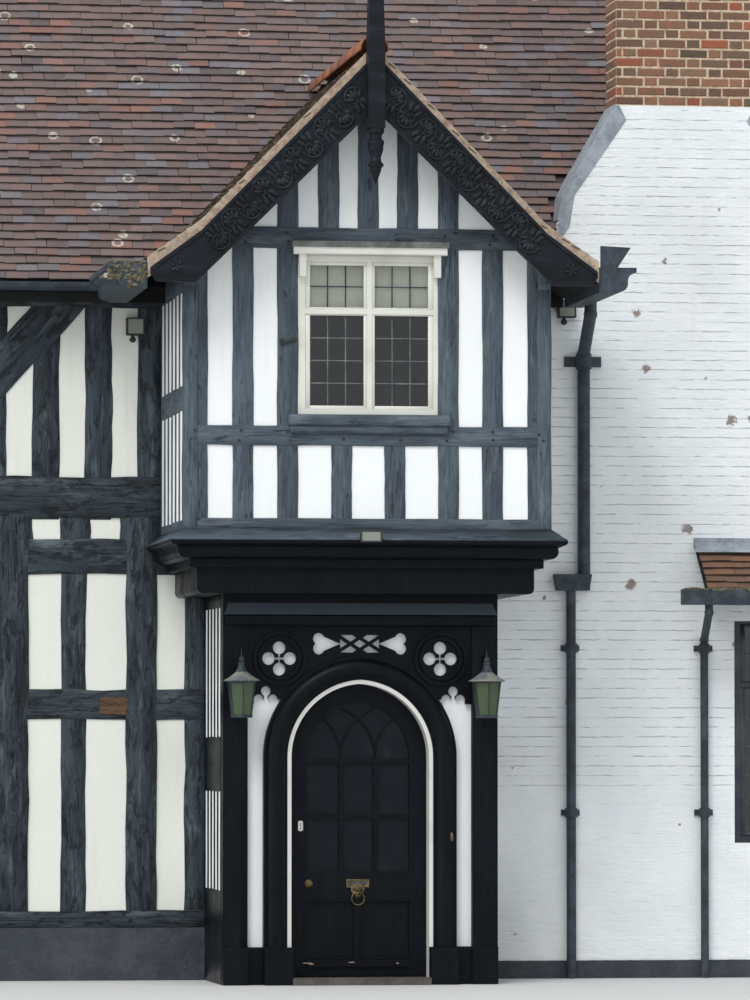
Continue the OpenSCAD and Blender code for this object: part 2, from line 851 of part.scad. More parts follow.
module flank_up_outline(y0) area(y0, cornice_top, y_front, porch_under(upper_w / 2));

module flank_up_timbers() {
  pitch = (y_front - y_up - frame_t) / upper_strips;
  area(y_up, cornice_top, y_front, cornice_top + flank_plate_h);
  area(y_up, flank_up_rail_z, y_front, flank_up_rail_z + flank_up_rail_h);
  area(y_up, plate_z, y_front, knee_z);
  for (i = [0:upper_strips]) upright(y_up + frame_t + i * pitch, flank_stud_w, cornice_top, knee_z);
}

module porch_side_frames() color(timber) both() {
  side_timbers(-porch_w / 2) {
    flank_low_timbers();
    flank_low_outline();
  }
  side_timbers(-upper_w / 2) {
    flank_up_timbers();
    flank_up_outline(y_up + frame_t);
  }
}

module porch_side_plaster() color(white) both() {
  side_plaster(-porch_w / 2) {
    flank_low_timbers();
    flank_low_outline();
  }
  side_plaster(-upper_w / 2) {
    flank_up_timbers();
    flank_up_outline(y_up + wall_t);
  }
}

// Door arch with its roll, on two jambs
arch_set = 20;
roll_y = 30;

module arch_section() {
  r0 = arch_half + arch_shift;
  translate([r0, -wall_t]) square([arch_w, wall_t - arch_set]);
  translate([r0 + arch_w / 2, -roll_y]) circle(roll_r);
}

module door_arch() color(gloss) both() {
  intersection() {
    translate([-arch_shift, 0, spring_z]) rotate([90, 0, 0]) rotate_extrude($fn = 96) arch_section();
    translate([0, -big / 4, spring_z]) cube(big / 2);
  }
  linear_extrude(spring_z) mirror([0, 1]) translate([-arch_shift, 0]) arch_section();
  translate([arch_half, -roll_r, 0]) cube([arch_w, roll_r + wall_t, block_h]);
  translate([arch_half - lining_w, -roll_r, 0]) cube([lining_w + 1, roll_r + arch_set, block_h]);
}

module door_lining() color(white) elevation(arch_set, wall_t - arch_set) difference() {
  arch_2d(arch_half, 0);
  arch_2d(arch_half - lining_w, -1);
}

// Pierced board over the door: crosses in the roundels, and between them two leaves and a lattice
cross_bar = 15;
ring_w = 20;
ring_out = 25;
roundel_x = post_x - roundel_gap - roundel_r;
leaf_x = 310;
leaf_r = 44;
leaf_tip = 143;
lattice_size = [150, 66];
lattice_x = 70;
lattice_bar = 24;
lattice_tilt = 33;
head_x = 710;
head_z2 = 2195;
head_r = 38;
head_neck = 30;
head_drop = 62;
tracery_z0 = 2100;

module cross_2d() for (a = [0, 90]) rotate(a) {
  square([2 * lobe_d, cross_bar], center = true);
  for (s = [-1, 1]) translate([s * lobe_d, 0]) circle(lobe_r);
}

// Leaf of two lobes that comes to a point towards the middle
module leaf_shape_2d() {
  for (s = [-1, 1]) translate([leaf_x, s * (leaf_r - cross_bar / 2)]) circle(leaf_r);
  polygon([[leaf_x, 1.6 * leaf_r], [leaf_tip, 0], [leaf_x, -1.6 * leaf_r]]);
}

// Openings of the lattice, between two pairs of crossed bars
module lattice_2d() difference() {
  square(2 * lattice_size, center = true);
  for (s = [-1, 1], t = [-1, 1]) translate([s * lattice_x, 0]) rotate(t * lattice_tilt)
    square([4 * lattice_size[0], lattice_bar], center = true);
}

// Three lobed head of the white panel beside the arch
module panel_head_2d() translate([head_x, head_z2]) {
  circle(head_r);
  area(-head_neck / 2, -head_drop, head_neck / 2, 0);
  for (s = [-1, 1]) translate([s * 1.4 * head_r, -head_drop]) circle(head_r);
  area(-head_x / 4, -big / 4, 2.4 * head_r, -head_drop);
}

module door_tracery() color(gloss) {
  elevation(tracery_set, tracery_t) difference() {
    area(-post_x, tracery_z0, post_x, porch_head_z);
    arch_2d(arch_half + arch_w, -1);
    both() translate([roundel_x, roundel_z]) cross_2d();
    translate([0, strip_z]) {
      both() leaf_shape_2d();
      lattice_2d();
    }
    both() panel_head_2d();
  }
  elevation(tracery_set - ring_out, ring_out) both() difference() {
    translate([roundel_x, roundel_z]) for (k = [0, 2]) difference() {
      circle(roundel_r - k * ring_w);
      circle(roundel_r - (k + 1) * ring_w);
    }
    arch_2d(arch_half + arch_w, -1);
  }
}

threshold_out = 100;

module door_threshold() color(stone) translate([lining_w - arch_half, -threshold_out, 0])
  cube([2 * (arch_half - lining_w), threshold_out + wall_t, stone_t]);

// Front door, opening inwards on pintles at its right side
leaf_z0 = stone_t + 8;
low_panel_z = 200;
lock_rail_z = 620;
glass_z0 = 840;
glass_x = door_half - stile_w;
pintle_z = [380, 1500];
door_rail_z = [1260, 1670];
muntin_half = 33;
bead_w = 14;
bead_t = 8;
weather_z = 130;
weather_size = [24, 50];
eye_h = 50;
strap_t = 6;
strap_len = 500;

module leaf_2d() intersection() {
  arch_2d(door_half, leaf_z0);
  area(-door_half, leaf_z0, door_half, big);
}

module field_2d() arch_2d(glass_x, glass_z0);

module bars_2d() {
  both() upright(bar_x, bar_w, glass_z0, spring_z);
  for (z = door_rail_z) area(-glass_x, z - bar_w / 2, glass_x, z + bar_w / 2);
  both() for (k = [1, 2]) translate([-arch_shift + k * (glass_x + bar_x) / 2, spring_z]) difference() {
    circle(glass_x + arch_shift + bar_w / 2, $fn = 96);
    circle(glass_x + arch_shift - bar_w / 2, $fn = 96);
    area(-big, -big, big, 0);
    area(-big, 0, 0, big);
  }
}

// Sunk panel under the lock rail, grown on every side
module panel_2d(grow) area(muntin_half - grow, low_panel_z - grow, glass_x + grow, lock_rail_z + grow);

module front_door() color(gloss) {
  translate([0, door_y, 0]) {
    elevation(0, door_t) difference() {
      leaf_2d();
      field_2d();
      both() panel_2d(0);
    }
    elevation(0, door_t / 2) intersection() {
      field_2d();
      bars_2d();
    }
    elevation(door_t * 0.35, door_t * 0.3) both() panel_2d(1);
    elevation(-bead_t, bead_t) both() difference() {
      panel_2d(bead_w);
      panel_2d(0);
    }
    translate([-glass_x, -weather_size[0], weather_z]) cube([2 * glass_x, weather_size[0], weather_size[1]]);
  }
  for (z = pintle_z) translate([hinge_x, hinge_y, z]) difference() {
    union() {
      cylinder(h = eye_h, r = 2 * pintle_r);
      translate([-strap_len, -hinge_back, 0]) cube([strap_len, strap_t, eye_h]);
    }
    translate([0, 0, -1]) cylinder(h = eye_h + 2, r = pintle_r + pin_gap);
  }
}

module door_glass() color(pane) translate([0, door_y + door_t / 2, 0]) elevation(0, glass_t)
  field_2d();

arm_h = 11;
arm_x = -3;
plate_w = 70;
plate_h = 40;

module door_pintles() color(gloss) for (z = pintle_z) translate([hinge_x, hinge_y, z - arm_h - 1]) {
  cylinder(h = arm_h + eye_h + 2 * arm_h - 1, r = pintle_r);
  translate([arm_x, wall_t - hinge_y, 0]) cube([pintle_r - arm_x, hinge_y - wall_t + pintle_r, arm_h]);
  translate([arm_x, wall_t - hinge_y, 0]) cube([plate_w, strap_t, plate_h]);
}

// Letter plate, knob, lock plate and the knocker's mask
ring_rod = 5;
jaw_w = 22;
jaw_d = 34;
jaw_h = 26;
ring_y = door_y - 20;
mask_r = 34;
mask_t = 12;
letter_size = [174, 5, 63];
flap_size = [120, 3, 26];
knob_x = glass_x - 20;
lock_size = [45, 4, 80];
lock_z = 1150;

// Outline of the turned knob: radius and distance from the door
KNOB = [[0, 0], [30, 0], [30, 4], [10, 8], [9, 30], [22, 38], [25, 48], [18, 58], [0, 62]];

// Square plate with its back against the door, centred on x and z
module door_plate(x, z, size) translate([x - size[0] / 2, door_y - size[1], z - size[2] / 2]) cube(size);

module door_furniture() color(brass) {
  difference() {
    door_plate(0, letter_z, letter_size);
    translate([0, flap_size[1] - letter_size[1] - 1, 0]) door_plate(0, letter_z, flap_size);
  }
  translate([-knob_x, door_y, letter_z]) rotate([90, 0, 0]) rotate_extrude() polygon(KNOB);
  door_plate(-door_half + stile_w - lock_size[0], lock_z, lock_size);
  difference() {
    union() {
      translate([0, door_y, knocker_z]) rotate([90, 0, 0]) cylinder(h = mask_t, r = mask_r);
      translate([-jaw_w / 2, door_y - jaw_d, knocker_z - jaw_h / 2]) cube([jaw_w, jaw_d, jaw_h]);
    }
    translate([-jaw_w, ring_y, knocker_z]) rotate([0, 90, 0]) cylinder(h = 2 * jaw_w, r = ring_rod + pin_gap);
  }
}

ring_rise = 8;
jaw_gap = 3;

module knocker_ring() color(brass) translate([0, ring_y, knocker_z]) {
  gap = sqrt(pow(knocker_r, 2) - pow(knocker_r - ring_rise, 2));
  translate([-gap, 0, 0]) rotate([0, 90, 0]) cylinder(h = 2 * gap, r = ring_rod);
  difference() {
    translate([0, 0, ring_rise - knocker_r]) rotate([90, 0, 0]) rotate_extrude()
      translate([knocker_r, 0]) circle(ring_rod);
    translate([-gap + jaw_gap, -knocker_r, 0.5]) cube([2 * (gap - jaw_gap), 2 * knocker_r, knocker_r]);
  }
}

// Jetty: beam and moulded cornice on three sides
module jetty() color(gloss) {
  jetty_beam();
  jetty_cornice();
}

beam_round = 40;

module jetty_beam() difference() {
  half = upper_w / 2 - beam_set;
  elevation(y_up + beam_set, y_front - y_up - beam_set) polygon(concat(
    [[-half, cornice_z]], arc([beam_round - half, porch_top_z + beam_round], beam_round, 180, 270),
    arc([half - beam_round, porch_top_z + beam_round], beam_round, 270, 360), [[half, cornice_z]]
  ));
  translate([-low_in, wall_t, porch_top_z - 1]) cube([2 * low_in, y_front, cornice_z - porch_top_z + 2]);
}

nosing_z = cornice_z + 170;
nosing_h = 34;
nosing_face = 22;
nosing_under = 14;
fillet_in = 62;
fillet_h = [20, 53];
ovolo_r = 50;
fascia_h = 60;

// Section of the cornice: weathered top, nosing, quarter round and fascia
module cornice_profile() {
  fillet_x = cornice_out - fillet_in;
  polygon(concat(
    [[-wall_t, cornice_z], [-wall_t, cornice_top], [0, cornice_top], [cornice_out, nosing_z + nosing_h]],
    [[cornice_out, nosing_z + nosing_h - nosing_face], [cornice_out - nosing_under, nosing_z]],
    [[fillet_x, nosing_z - fillet_h[0]]],
    arc([fillet_x - ovolo_r, nosing_z - fillet_h[1]], ovolo_r, 0, -90),
    [[fillet_in - cornice_out, cornice_z + fascia_h], [fillet_in - cornice_out, cornice_z]]
  ));
}

module cornice_run(length) rotate([90, 0, 0]) linear_extrude(length) cornice_profile();

module jetty_cornice() {
  p = cornice_out;
  w = upper_w / 2;
  h = cornice_top - cornice_z;
  intersection() {
    translate([-w - p, y_up, 0]) rotate([0, 0, -90]) mirror([0, 1, 0])
      cornice_run(upper_w + 2 * p);
    translate([0, 0, cornice_z]) linear_extrude(h) polygon([
      [-w - p, y_up - p], [w + p, y_up - p], [w - wall_t, y_up + wall_t], [-w + wall_t, y_up + wall_t]
    ]);
  }
  both() intersection() {
    translate([w, y_front, 0]) cornice_run(y_front - y_up + p);
    translate([0, 0, cornice_z]) linear_extrude(h) polygon([
      [w - wall_t, y_up + wall_t], [w + p, y_up - p], [w + p, y_front], [w - wall_t, y_front]
    ]);
  }
}

module porch_soffit() color(white) translate([-up_in, y_up + wall_t, cornice_z])
  cube([2 * up_in, y_front - y_up, floor_z - floor_d - cornice_z]);

// Upper porch front with its gable
porch_win_x = 10;
hood_side = 45;
hood_lap = 40;
bracket_size = [52, 55, 165];

module porch_window_2d() area(
  porch_win_x - porch_win_w / 2, porch_win_z, porch_win_x + porch_win_w / 2, porch_win_z + porch_win_h
);

module porch_up_outline() difference() {
  intersection() {
    porch_core_2d();
    area(-upper_w / 2, cornice_top, upper_w / 2, big);
  }
  porch_window_2d();
}

module porch_up_timbers() {
  both() {
    area(upper_w / 2 - corner_w, cornice_top, upper_w / 2, gable_z);
    upright(outer_stud_x, porch_stud_w, cornice_top, gable_z + gable_h);
    upright(win_stud_x, porch_stud_w, cornice_top, big);
    upright(short_stud_x, porch_stud_w, cornice_top, porch_rail_z);
    upright(gable_pitch, porch_stud_w, gable_z, big);
  }
  upright(0, porch_stud_w, gable_z, big);
  area(-upper_w / 2, cornice_top, upper_w / 2, cornice_top + flank_plate_h);
  area(-upper_w / 2, porch_rail_z, upper_w / 2, porch_rail_z + porch_rail_h);
  area(-win_stud_x, porch_rail_z, win_stud_x, porch_win_z);
  area(-upper_w / 2, gable_z, upper_w / 2, gable_z + gable_h);
  area(-win_stud_x, porch_win_z + porch_win_h, win_stud_x, gable_z);
  difference() {
    porch_core_2d();
    translate([0, -corner_w]) porch_core_2d();
    area(-big, 0, big, gable_z);
  }
}

module porch_upper_frame() color(timber) {
  timbers(y_up) {
    porch_up_timbers();
    porch_up_outline();
  }
  elevation(y_up - board_out, board_out)
    area(-win_stud_x, porch_rail_z + porch_rail_h, win_stud_x + 2 * porch_win_x, porch_win_z);
}

module porch_upper_plaster() color(white) intersection() {
  plaster(y_up) {
    porch_up_timbers();
    porch_up_outline();
  }
  translate([-upper_w / 2 + frame_t, -big / 4, 0]) cube([upper_w - 2 * frame_t, big / 2, big / 2]);
}

// Window frame of given size, glazed from behind
module window_unit(w, h, lights, bar_z) {
  difference() {
    cube([w, win_t, h]);
    pitch = (w - 2 * win_rail + win_bar) / lights;
    for (i = [0:lights - 1]) translate([win_rail + i * pitch, -1, win_rail]) cube([pitch - win_bar, win_t + 2, bar_z - win_rail - win_bar / 2]);
    for (i = [0:lights - 1]) translate([win_rail + i * pitch, -1, bar_z + win_bar / 2])
      cube([pitch - win_bar, win_t + 2, h - win_rail - bar_z - win_bar / 2]);
    translate([win_rail - glass_lap, win_t / 2, win_rail - glass_lap])
      cube([w - 2 * (win_rail - glass_lap), win_t, h - 2 * (win_rail - glass_lap)]);
  }
}

module glass_sheet(w, h) translate([win_rail - glass_lap, win_t / 2, win_rail - glass_lap])
  cube([w - 2 * (win_rail - glass_lap), glass_t, h - 2 * (win_rail - glass_lap)]);

module at_porch_window() translate([porch_win_x - porch_win_w / 2, y_up + plaster_set, porch_win_z]) children();

// Places the children at each window of the house
module at_low_window() translate([low_win_x0, y_front + plaster_set, low_win_z]) children();
module at_up_window() translate([up_win_x0, y_front + plaster_set, up_win_z]) children();
module at_right_window() translate([right_win_x, y_front + plaster_set, right_win_z]) children();
module at_back_window(i, z) at_back() translate([back_win_x(i), plaster_set, z]) children();

module window_frames() color(cream) {
  at_porch_window() {
    window_unit(porch_win_w, porch_win_h, 2, transom_h);
    for (x = [0, porch_win_w - bracket_size[0]]) translate([x, -bracket_size[1], porch_win_h - bracket_size[2]])
      cube(bracket_size);
  }
  elevation(y_up - board_out, board_out) area(
    porch_win_x - porch_win_w / 2 - hood_side, porch_win_z + porch_win_h,
    porch_win_x + porch_win_w / 2 + hood_side, gable_z + hood_lap
  );
  at_low_window() window_unit(low_win_x1 - low_win_x0, low_win_h, 2, low_win_h * 0.7);
  at_up_window() window_unit(up_win_x1 - up_win_x0, up_win_h, 2, up_win_h * 0.65);
  at_right_window() window_unit(right_win_w, right_win_h, 3, right_win_h * 0.7);
  for (i = back_window_bays) {
    at_back_window(i, low_win_z) window_unit(back_win_w, low_win_h, 2, low_win_h * 0.7);
    at_back_window(i, up_win_z) window_unit(back_win_w, up_win_h, 2, up_win_h * 0.65);
  }
}

module window_glass() color(pane) {
  at_porch_window() glass_sheet(porch_win_w, porch_win_h);
  at_low_window() glass_sheet(low_win_x1 - low_win_x0, low_win_h);
  at_up_window() glass_sheet(up_win_x1 - up_win_x0, up_win_h);
  at_right_window() glass_sheet(right_win_w, right_win_h);
  for (i = back_window_bays) {
    at_back_window(i, low_win_z) glass_sheet(back_win_w, low_win_h);
    at_back_window(i, up_win_z) glass_sheet(back_win_w, up_win_h);
  }
}

// Gutters, pipes
module gutter(length) rotate([90, 0, 90]) linear_extrude(length) difference() {
  circle(gutter_r);
  circle(gutter_r - gutter_t);
  area(-gutter_r, 0, gutter_r, gutter_r);
}

gutter_drop = 40;
gutter_gap = 100;
canopy_lap = [210, 90];

eave_y = y_front - eave_out - gutter_r;
box_top_z = porch_eave_z - 56;
box_lip = 35;
box_hollow = 65;
box_fillet = 20;
box_round = 60;
box_depth = box_lip + box_hollow + box_fillet + box_round;
box_wall = 20;
trough_d = 60;
stop_size = [240, 150, 160];
stop_t = 8;
gutter_end_gap = 5;

// Section of the porch's box gutter: lip, hollow, fillet and round
module box_gutter_2d() {
  x1 = box_gutter_w - box_hollow;
  polygon(concat(
    [[0, 0], [box_gutter_w, 0]], arc([box_gutter_w, -box_lip - box_hollow], box_hollow, 90, 180),
    arc([x1 - box_round, -box_depth + box_round], box_round, 0, -90),
    [[x1 - box_round - box_fillet, -box_depth - box_fillet / 2], [0, -box_depth - box_fillet / 2]]
  ));
}

// Box gutter with a trough that is closed at both ends
module box_gutter(length) difference() {
  elevation(0, length) box_gutter_2d();
  elevation(stop_t, length - 2 * stop_t) area(box_wall, -trough_d, box_gutter_w - box_wall, 1);
}

module gutters_and_pipes() color(gloss) {
  downpipes();
  verge_x = half_len + verge_out;
  right_x = 2 * stack_mid - shoulder_x + gutter_gap;
  translate([-verge_x, eave_y, eave_z - gutter_drop]) gutter(verge_x - porch_eave_x - gutter_gap);
  translate([right_x, eave_y, eave_z - gutter_drop]) gutter(verge_x - right_x);
  translate([-verge_x, y_back + eave_out + gutter_r, eave_z - gutter_drop]) gutter(2 * verge_x);
  both() translate([porch_eave_x, verge_y, box_top_z])
    box_gutter(eave_y - gutter_r - gutter_end_gap - verge_y);
  translate([porch_eave_x, 0, box_top_z]) elevation(verge_y, stop_t) polygon([
    [box_wall / 2, 0], [box_gutter_w / 2, 0], [stop_size[0], stop_size[1]], [box_wall / 2, stop_size[2]]
  ]);
  canopy_gutter();
}

canopy_gutter_size = [110, 120];
canopy_gutter_z = canopy_z - canopy_fall - canopy_gutter_size[1] - 18;

module canopy_gutter() translate([canopy_x - canopy_lap[0], y_front - canopy_out - canopy_gutter_size[0], canopy_gutter_z])
  difference() {
    cube([canopy_w + canopy_lap[0] + canopy_lap[1], canopy_gutter_size[0], canopy_gutter_size[1]]);
    translate([gutter_t, gutter_t, trough_d]) cube([
      canopy_w + canopy_lap[0] + canopy_lap[1] - 2 * gutter_t, canopy_gutter_size[0] - 2 * gutter_t, trough_d + 1
    ]);
  }

collar_r = pipe_r + 12;
collar_h = 70;
pipe_y = y_front - collar_r - 2;
pipe_x = shoulder_x + 185;
low_pipe_x = shoulder_x + 82;
thin_pipe_x = canopy_x + 50;
neck_h = 60;
elbow_t = 5;
neck_x = box_gutter_w / 2 + 34;
neck_y = 620;
box_z = 2990;
box_size = [292, 112, 126];
box_taper = 22;
lug_size = [288, 24, 90];
collar_z = [1240, 2510];
high_collar_z = 4705;
high_collar_h = 120;
thin_bend_z = 2610;

module pipe(x, r, z0, z1) translate([x, pipe_y, z0]) cylinder(h = z1 - z0, r = r);

// Leaning pipe between two points, with a round elbow at each end
module bend(a, b, r) {
  d = b - a;
  translate(a) rotate([0, acos(d[2] / norm(d)), atan2(d[1], d[0])]) cylinder(h = norm(d), r = r);
  for (p = [a, b]) translate(p) sphere(r + elbow_t);
}

// Collar round a pipe with a lug on the wall
module collar(x, r, z, h, lug) {
  pipe(x, r, z, z + h);
  translate([x - lug / 2, y_front - lug_size[1] - 2, z + h / 6]) cube([lug, lug_size[1], h * 2 / 3]);
}

module downpipes() {
  gutter_foot = box_top_z - box_depth - box_fillet / 2;
  top = [porch_eave_x + neck_x, neck_y, gutter_foot - neck_h];
  translate(top) cylinder(h = neck_h + box_round + box_fillet, r = pipe_r);
  bend(top, [pipe_x, pipe_y, high_collar_z + high_collar_h], pipe_r);
  pipe(pipe_x, pipe_r, box_z + 1, high_collar_z + high_collar_h);
  collar(pipe_x, collar_r, high_collar_z, high_collar_h, lug_size[0]);
  pipe(low_pipe_x, low_pipe_r, 0, box_z + 1);
  elevation(y_front - box_size[1] - 1, box_size[1]) translate([low_pipe_x + 12, box_z]) polygon([
    [box_taper - box_size[0] / 2, 0], [box_size[0] / 2 - box_taper, 0],
    [box_size[0] / 2, box_size[2]], [-box_size[0] / 2, box_size[2]]
  ]);
  thin_top = [thin_pipe_x - 50, y_front - canopy_out - canopy_gutter_size[0] / 2, canopy_gutter_z - neck_h];
  translate(thin_top) cylinder(h = neck_h + 1, r = thin_pipe_r);
  bend(thin_top, [thin_pipe_x, pipe_y, thin_bend_z], thin_pipe_r);
  pipe(thin_pipe_x, thin_pipe_r, 0, thin_bend_z);
  for (z = collar_z) {
    collar(low_pipe_x, low_pipe_r + 12, z, collar_h, lug_size[0] / 2);
    collar(thin_pipe_x, thin_pipe_r + 10, z, collar_h, lug_size[0] / 2);
  }
}

// Canopy over the right window
module canopy() color(tile) translate([canopy_x, 0, 0]) side_elevation(0, canopy_w) polygon([
  [y_front, canopy_z], [y_front - canopy_out, canopy_z - canopy_fall],
  [y_front - canopy_out, canopy_z - canopy_fall - canopy_t], [y_front, canopy_z - canopy_t]
]);

// Six sided lanterns hung from arms on the porch posts
lantern_y = -200;
cap_h = 68;
neck_r = 46;
lamp_h = 261;
lamp_foot_r = 80;
lamp_top_r = 110;
rim_h = 14;
arm_w = 22;
arm_z = 2440;
arm_plate = [60, 10, 190];

// Turned outline of the lantern's crown: radius and height over its cap
CROWN = [
  [0, 0], [45, 0], [22, 56], [27, 60], [27, 70], [14, 74], [22, 88], [22, 98], [12, 112], [5, 118], [3, 150], [0, 184]
];

module lanterns() color("#4b5f46") for (s = [-1, 1]) translate([s * lantern_x, lantern_y, 0]) {
  cap_z = lantern_z - CROWN[len(CROWN) - 1][1] - cap_h;
  rotate(30) {
    translate([0, 0, cap_z]) cylinder(h = cap_h + 1, r1 = lantern_w / 2 / cos(30), r2 = neck_r, $fn = 6);
    translate([0, 0, cap_z - lamp_h]) cylinder(h = lamp_h + 1, r1 = lamp_foot_r, r2 = lamp_top_r, $fn = 6);
    translate([0, 0, cap_z - lamp_h - rim_h]) cylinder(h = rim_h + 1, r = lamp_foot_r + rim_h / 2, $fn = 6);
  }
  translate([0, 0, cap_z + cap_h]) rotate_extrude() polygon(CROWN);
  translate([-arm_w / 2, 0, arm_z]) cube([arm_w, -lantern_y - 1, arm_w]);
  translate([-arm_plate[0] / 2, -lantern_y - arm_plate[1], arm_z - arm_plate[2] / 2]) cube(arm_plate);
}

flood_size = [140, 80, 135];
flood_at = [[-1583, 4935], [1775, 5105]];
small_flood_size = [160, 60, 90];

module floodlights() color(gloss) {
  for (p = flood_at) translate([p[0] - flood_size[0] / 2, y_front - flood_size[1], p[1]]) cube(flood_size);
  translate([-small_flood_size[0] / 2, y_up - cornice_out - small_flood_size[1], nosing_z + nosing_h - nosing_face])
    cube(small_flood_size);
}

plinth();
ground_floor();
upper_floor();
front_frame_lower();
front_plaster_lower();
front_frame_upper();
front_plaster_upper();
left_gable_frame();
left_gable_plaster();
back_frame();
back_plaster();
right_gable_wall();
front_wall_right();
chimney_stack();
chimney_pots();
lead_flashing();
main_roof_front();
main_roof_back();
ridge_tiles();
porch_front_frame();
porch_front_plaster();
porch_side_frames();
porch_side_plaster();
door_arch();
door_lining();
door_tracery();
door_threshold();
front_door();
door_glass();
door_furniture();
knocker_ring();
door_pintles();
jetty();
porch_soffit();
porch_upper_frame();
porch_upper_plaster();
window_frames();
window_glass();
porch_roof();
bargeboards();
finial_post();
gutters_and_pipes();
canopy();
lanterns();
floodlights();
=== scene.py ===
"""Half timbered house range with a jettied porch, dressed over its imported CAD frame.

Everything is in metres in the frame of the CAD model: X runs along the front,
Y runs into the house and Z is up, from the ground in the middle of the doorway.
"""

import logging
import math
from collections.abc import Callable, Iterator, Sequence
from contextlib import contextmanager
from dataclasses import dataclass, field
from enum import Enum

import bmesh
import bpy
import numpy as np
from mathutils import Matrix, Vector


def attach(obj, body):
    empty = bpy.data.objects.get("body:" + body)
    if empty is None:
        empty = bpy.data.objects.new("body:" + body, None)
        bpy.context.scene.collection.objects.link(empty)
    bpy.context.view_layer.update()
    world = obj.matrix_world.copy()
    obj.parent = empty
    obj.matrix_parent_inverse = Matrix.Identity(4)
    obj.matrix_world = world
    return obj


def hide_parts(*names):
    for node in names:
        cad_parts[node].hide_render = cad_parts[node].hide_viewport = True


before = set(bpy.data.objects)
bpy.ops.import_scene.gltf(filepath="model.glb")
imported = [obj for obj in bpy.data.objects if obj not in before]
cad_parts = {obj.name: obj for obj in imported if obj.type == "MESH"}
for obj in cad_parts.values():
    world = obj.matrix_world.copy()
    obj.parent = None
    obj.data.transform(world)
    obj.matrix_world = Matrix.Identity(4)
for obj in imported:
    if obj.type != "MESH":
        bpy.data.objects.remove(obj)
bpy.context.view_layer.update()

log = logging.getLogger("half_timbered_house")

Colour = tuple[float, float, float, float]
Pair = tuple[float, float]
Triple = tuple[float, float, float]
Box = tuple[float, float, float, float]
Test = Callable[[Vector, Vector], bool]


def paint(red: int, green: int, blue: int) -> Colour:
    """Colour as a shader takes it, from red, green and blue of a screen, 0 to 255."""
    parts = [value / 255 for value in (red, green, blue)]
    return (*[p / 12.92 if p <= 0.04045 else ((p + 0.055) / 1.055) ** 2.4 for p in parts], 1.0)


def paints(*colours: tuple[int, int, int]) -> tuple[Colour, ...]:
    """Several colours at once."""
    return tuple(paint(*colour) for colour in colours)


# Workbench: one object at a time, shaped by operators


def only(obj: bpy.types.Object) -> bpy.types.Object:
    """Selects this object alone and makes it active."""
    bpy.ops.object.select_all(action="DESELECT")
    obj.select_set(True)
    bpy.context.view_layer.objects.active = obj
    return obj


def named(name: str) -> bpy.types.Object:
    """Names the object just added, settles its place in its mesh and returns it."""
    obj = bpy.context.active_object
    obj.name = obj.data.name = name
    only(obj)
    bpy.ops.object.transform_apply(location=True, rotation=True, scale=True)
    return obj


def block(name: str, low: Sequence[float], high: Sequence[float]) -> bpy.types.Object:
    """Adds a rectangular block between two corners.

    Args:
        name: Name of the new object.
        low: Its lowest corner.
        high: Its highest corner.

    Returns:
        The new object, with its place in its mesh.
    """
    bpy.ops.object.select_all(action="DESELECT")
    middle = [(a + b) / 2 for a, b in zip(low, high)]
    size = [b - a for a, b in zip(low, high)]
    bpy.ops.mesh.primitive_cube_add(size=1, location=middle, scale=size)
    return named(name)


def rod(
    name: str, foot: Sequence[float], head: Sequence[float], radius: float, sides: int = 16,
    tip: float | None = None
) -> bpy.types.Object:
    """Adds a round or many sided rod, straight or tapered, between two points.

    Args:
        name: Name of the new object.
        foot: Middle of its lower end.
        head: Middle of its upper end.
        radius: Radius at the foot.
        sides: Number of sides.
        tip: Radius at the head, where it differs.

    Returns:
        The new object, with its place in its mesh.
    """
    bpy.ops.object.select_all(action="DESELECT")
    along = Vector(head) - Vector(foot)
    turn = along.to_track_quat("Z", "Y").to_euler()
    bpy.ops.mesh.primitive_cone_add(
        vertices=sides,
        radius1=radius,
        radius2=radius if tip is None else tip,
        depth=along.length,
        location=(Vector(foot) + Vector(head)) / 2,
        rotation=turn,
    )
    return named(name)


def ball(
    name: str, middle: Sequence[float], radii: Sequence[float], sides: int = 16, turn: Triple = (0, 0, 0)
) -> bpy.types.Object:
    """Adds a round or flattened ball.

    Args:
        name: Name of the new object.
        middle: Its middle.
        radii: Its radius along X, Y and Z, before it is turned.
        sides: Number of segments around it.
        turn: Angles about X, Y and Z.

    Returns:
        The new object, with its place in its mesh.
    """
    bpy.ops.object.select_all(action="DESELECT")
    bpy.ops.mesh.primitive_uv_sphere_add(
        segments=sides, ring_count=max(6, sides // 2), radius=1, location=middle, rotation=turn, scale=radii
    )
    return named(name)


def ring(
    name: str, middle: Sequence[float], radius: float, rod_r: float, turn: Triple = (0, 0, 0),
    around: int = 32
) -> bpy.types.Object:
    """Adds a ring of round rod, lying flat before it is turned.

    Args:
        name: Name of the new object.
        middle: Its middle.
        radius: Radius to the middle of the rod.
        rod_r: Radius of the rod.
        turn: Angles about X, Y and Z.
        around: Number of segments around the ring.

    Returns:
        The new object, with its place in its mesh.
    """
    bpy.ops.object.select_all(action="DESELECT")
    bpy.ops.mesh.primitive_torus_add(
        location=middle, rotation=turn, major_radius=radius, minor_radius=rod_r, major_segments=around,
        minor_segments=8
    )
    return named(name)


@contextmanager
def editing(obj: bpy.types.Object) -> Iterator[bpy.types.Object]:
    """Holds one object in edit mode, with nothing selected at the start."""
    only(obj)
    bpy.ops.object.mode_set(mode="EDIT")
    bpy.ops.mesh.select_all(action="DESELECT")
    yield obj
    bpy.ops.object.mode_set(mode="OBJECT")


class Part(Enum):
    """Kinds of mesh element that a test may select."""

    POINT = "VERT"
    EDGE = "EDGE"
    FACE = "FACE"


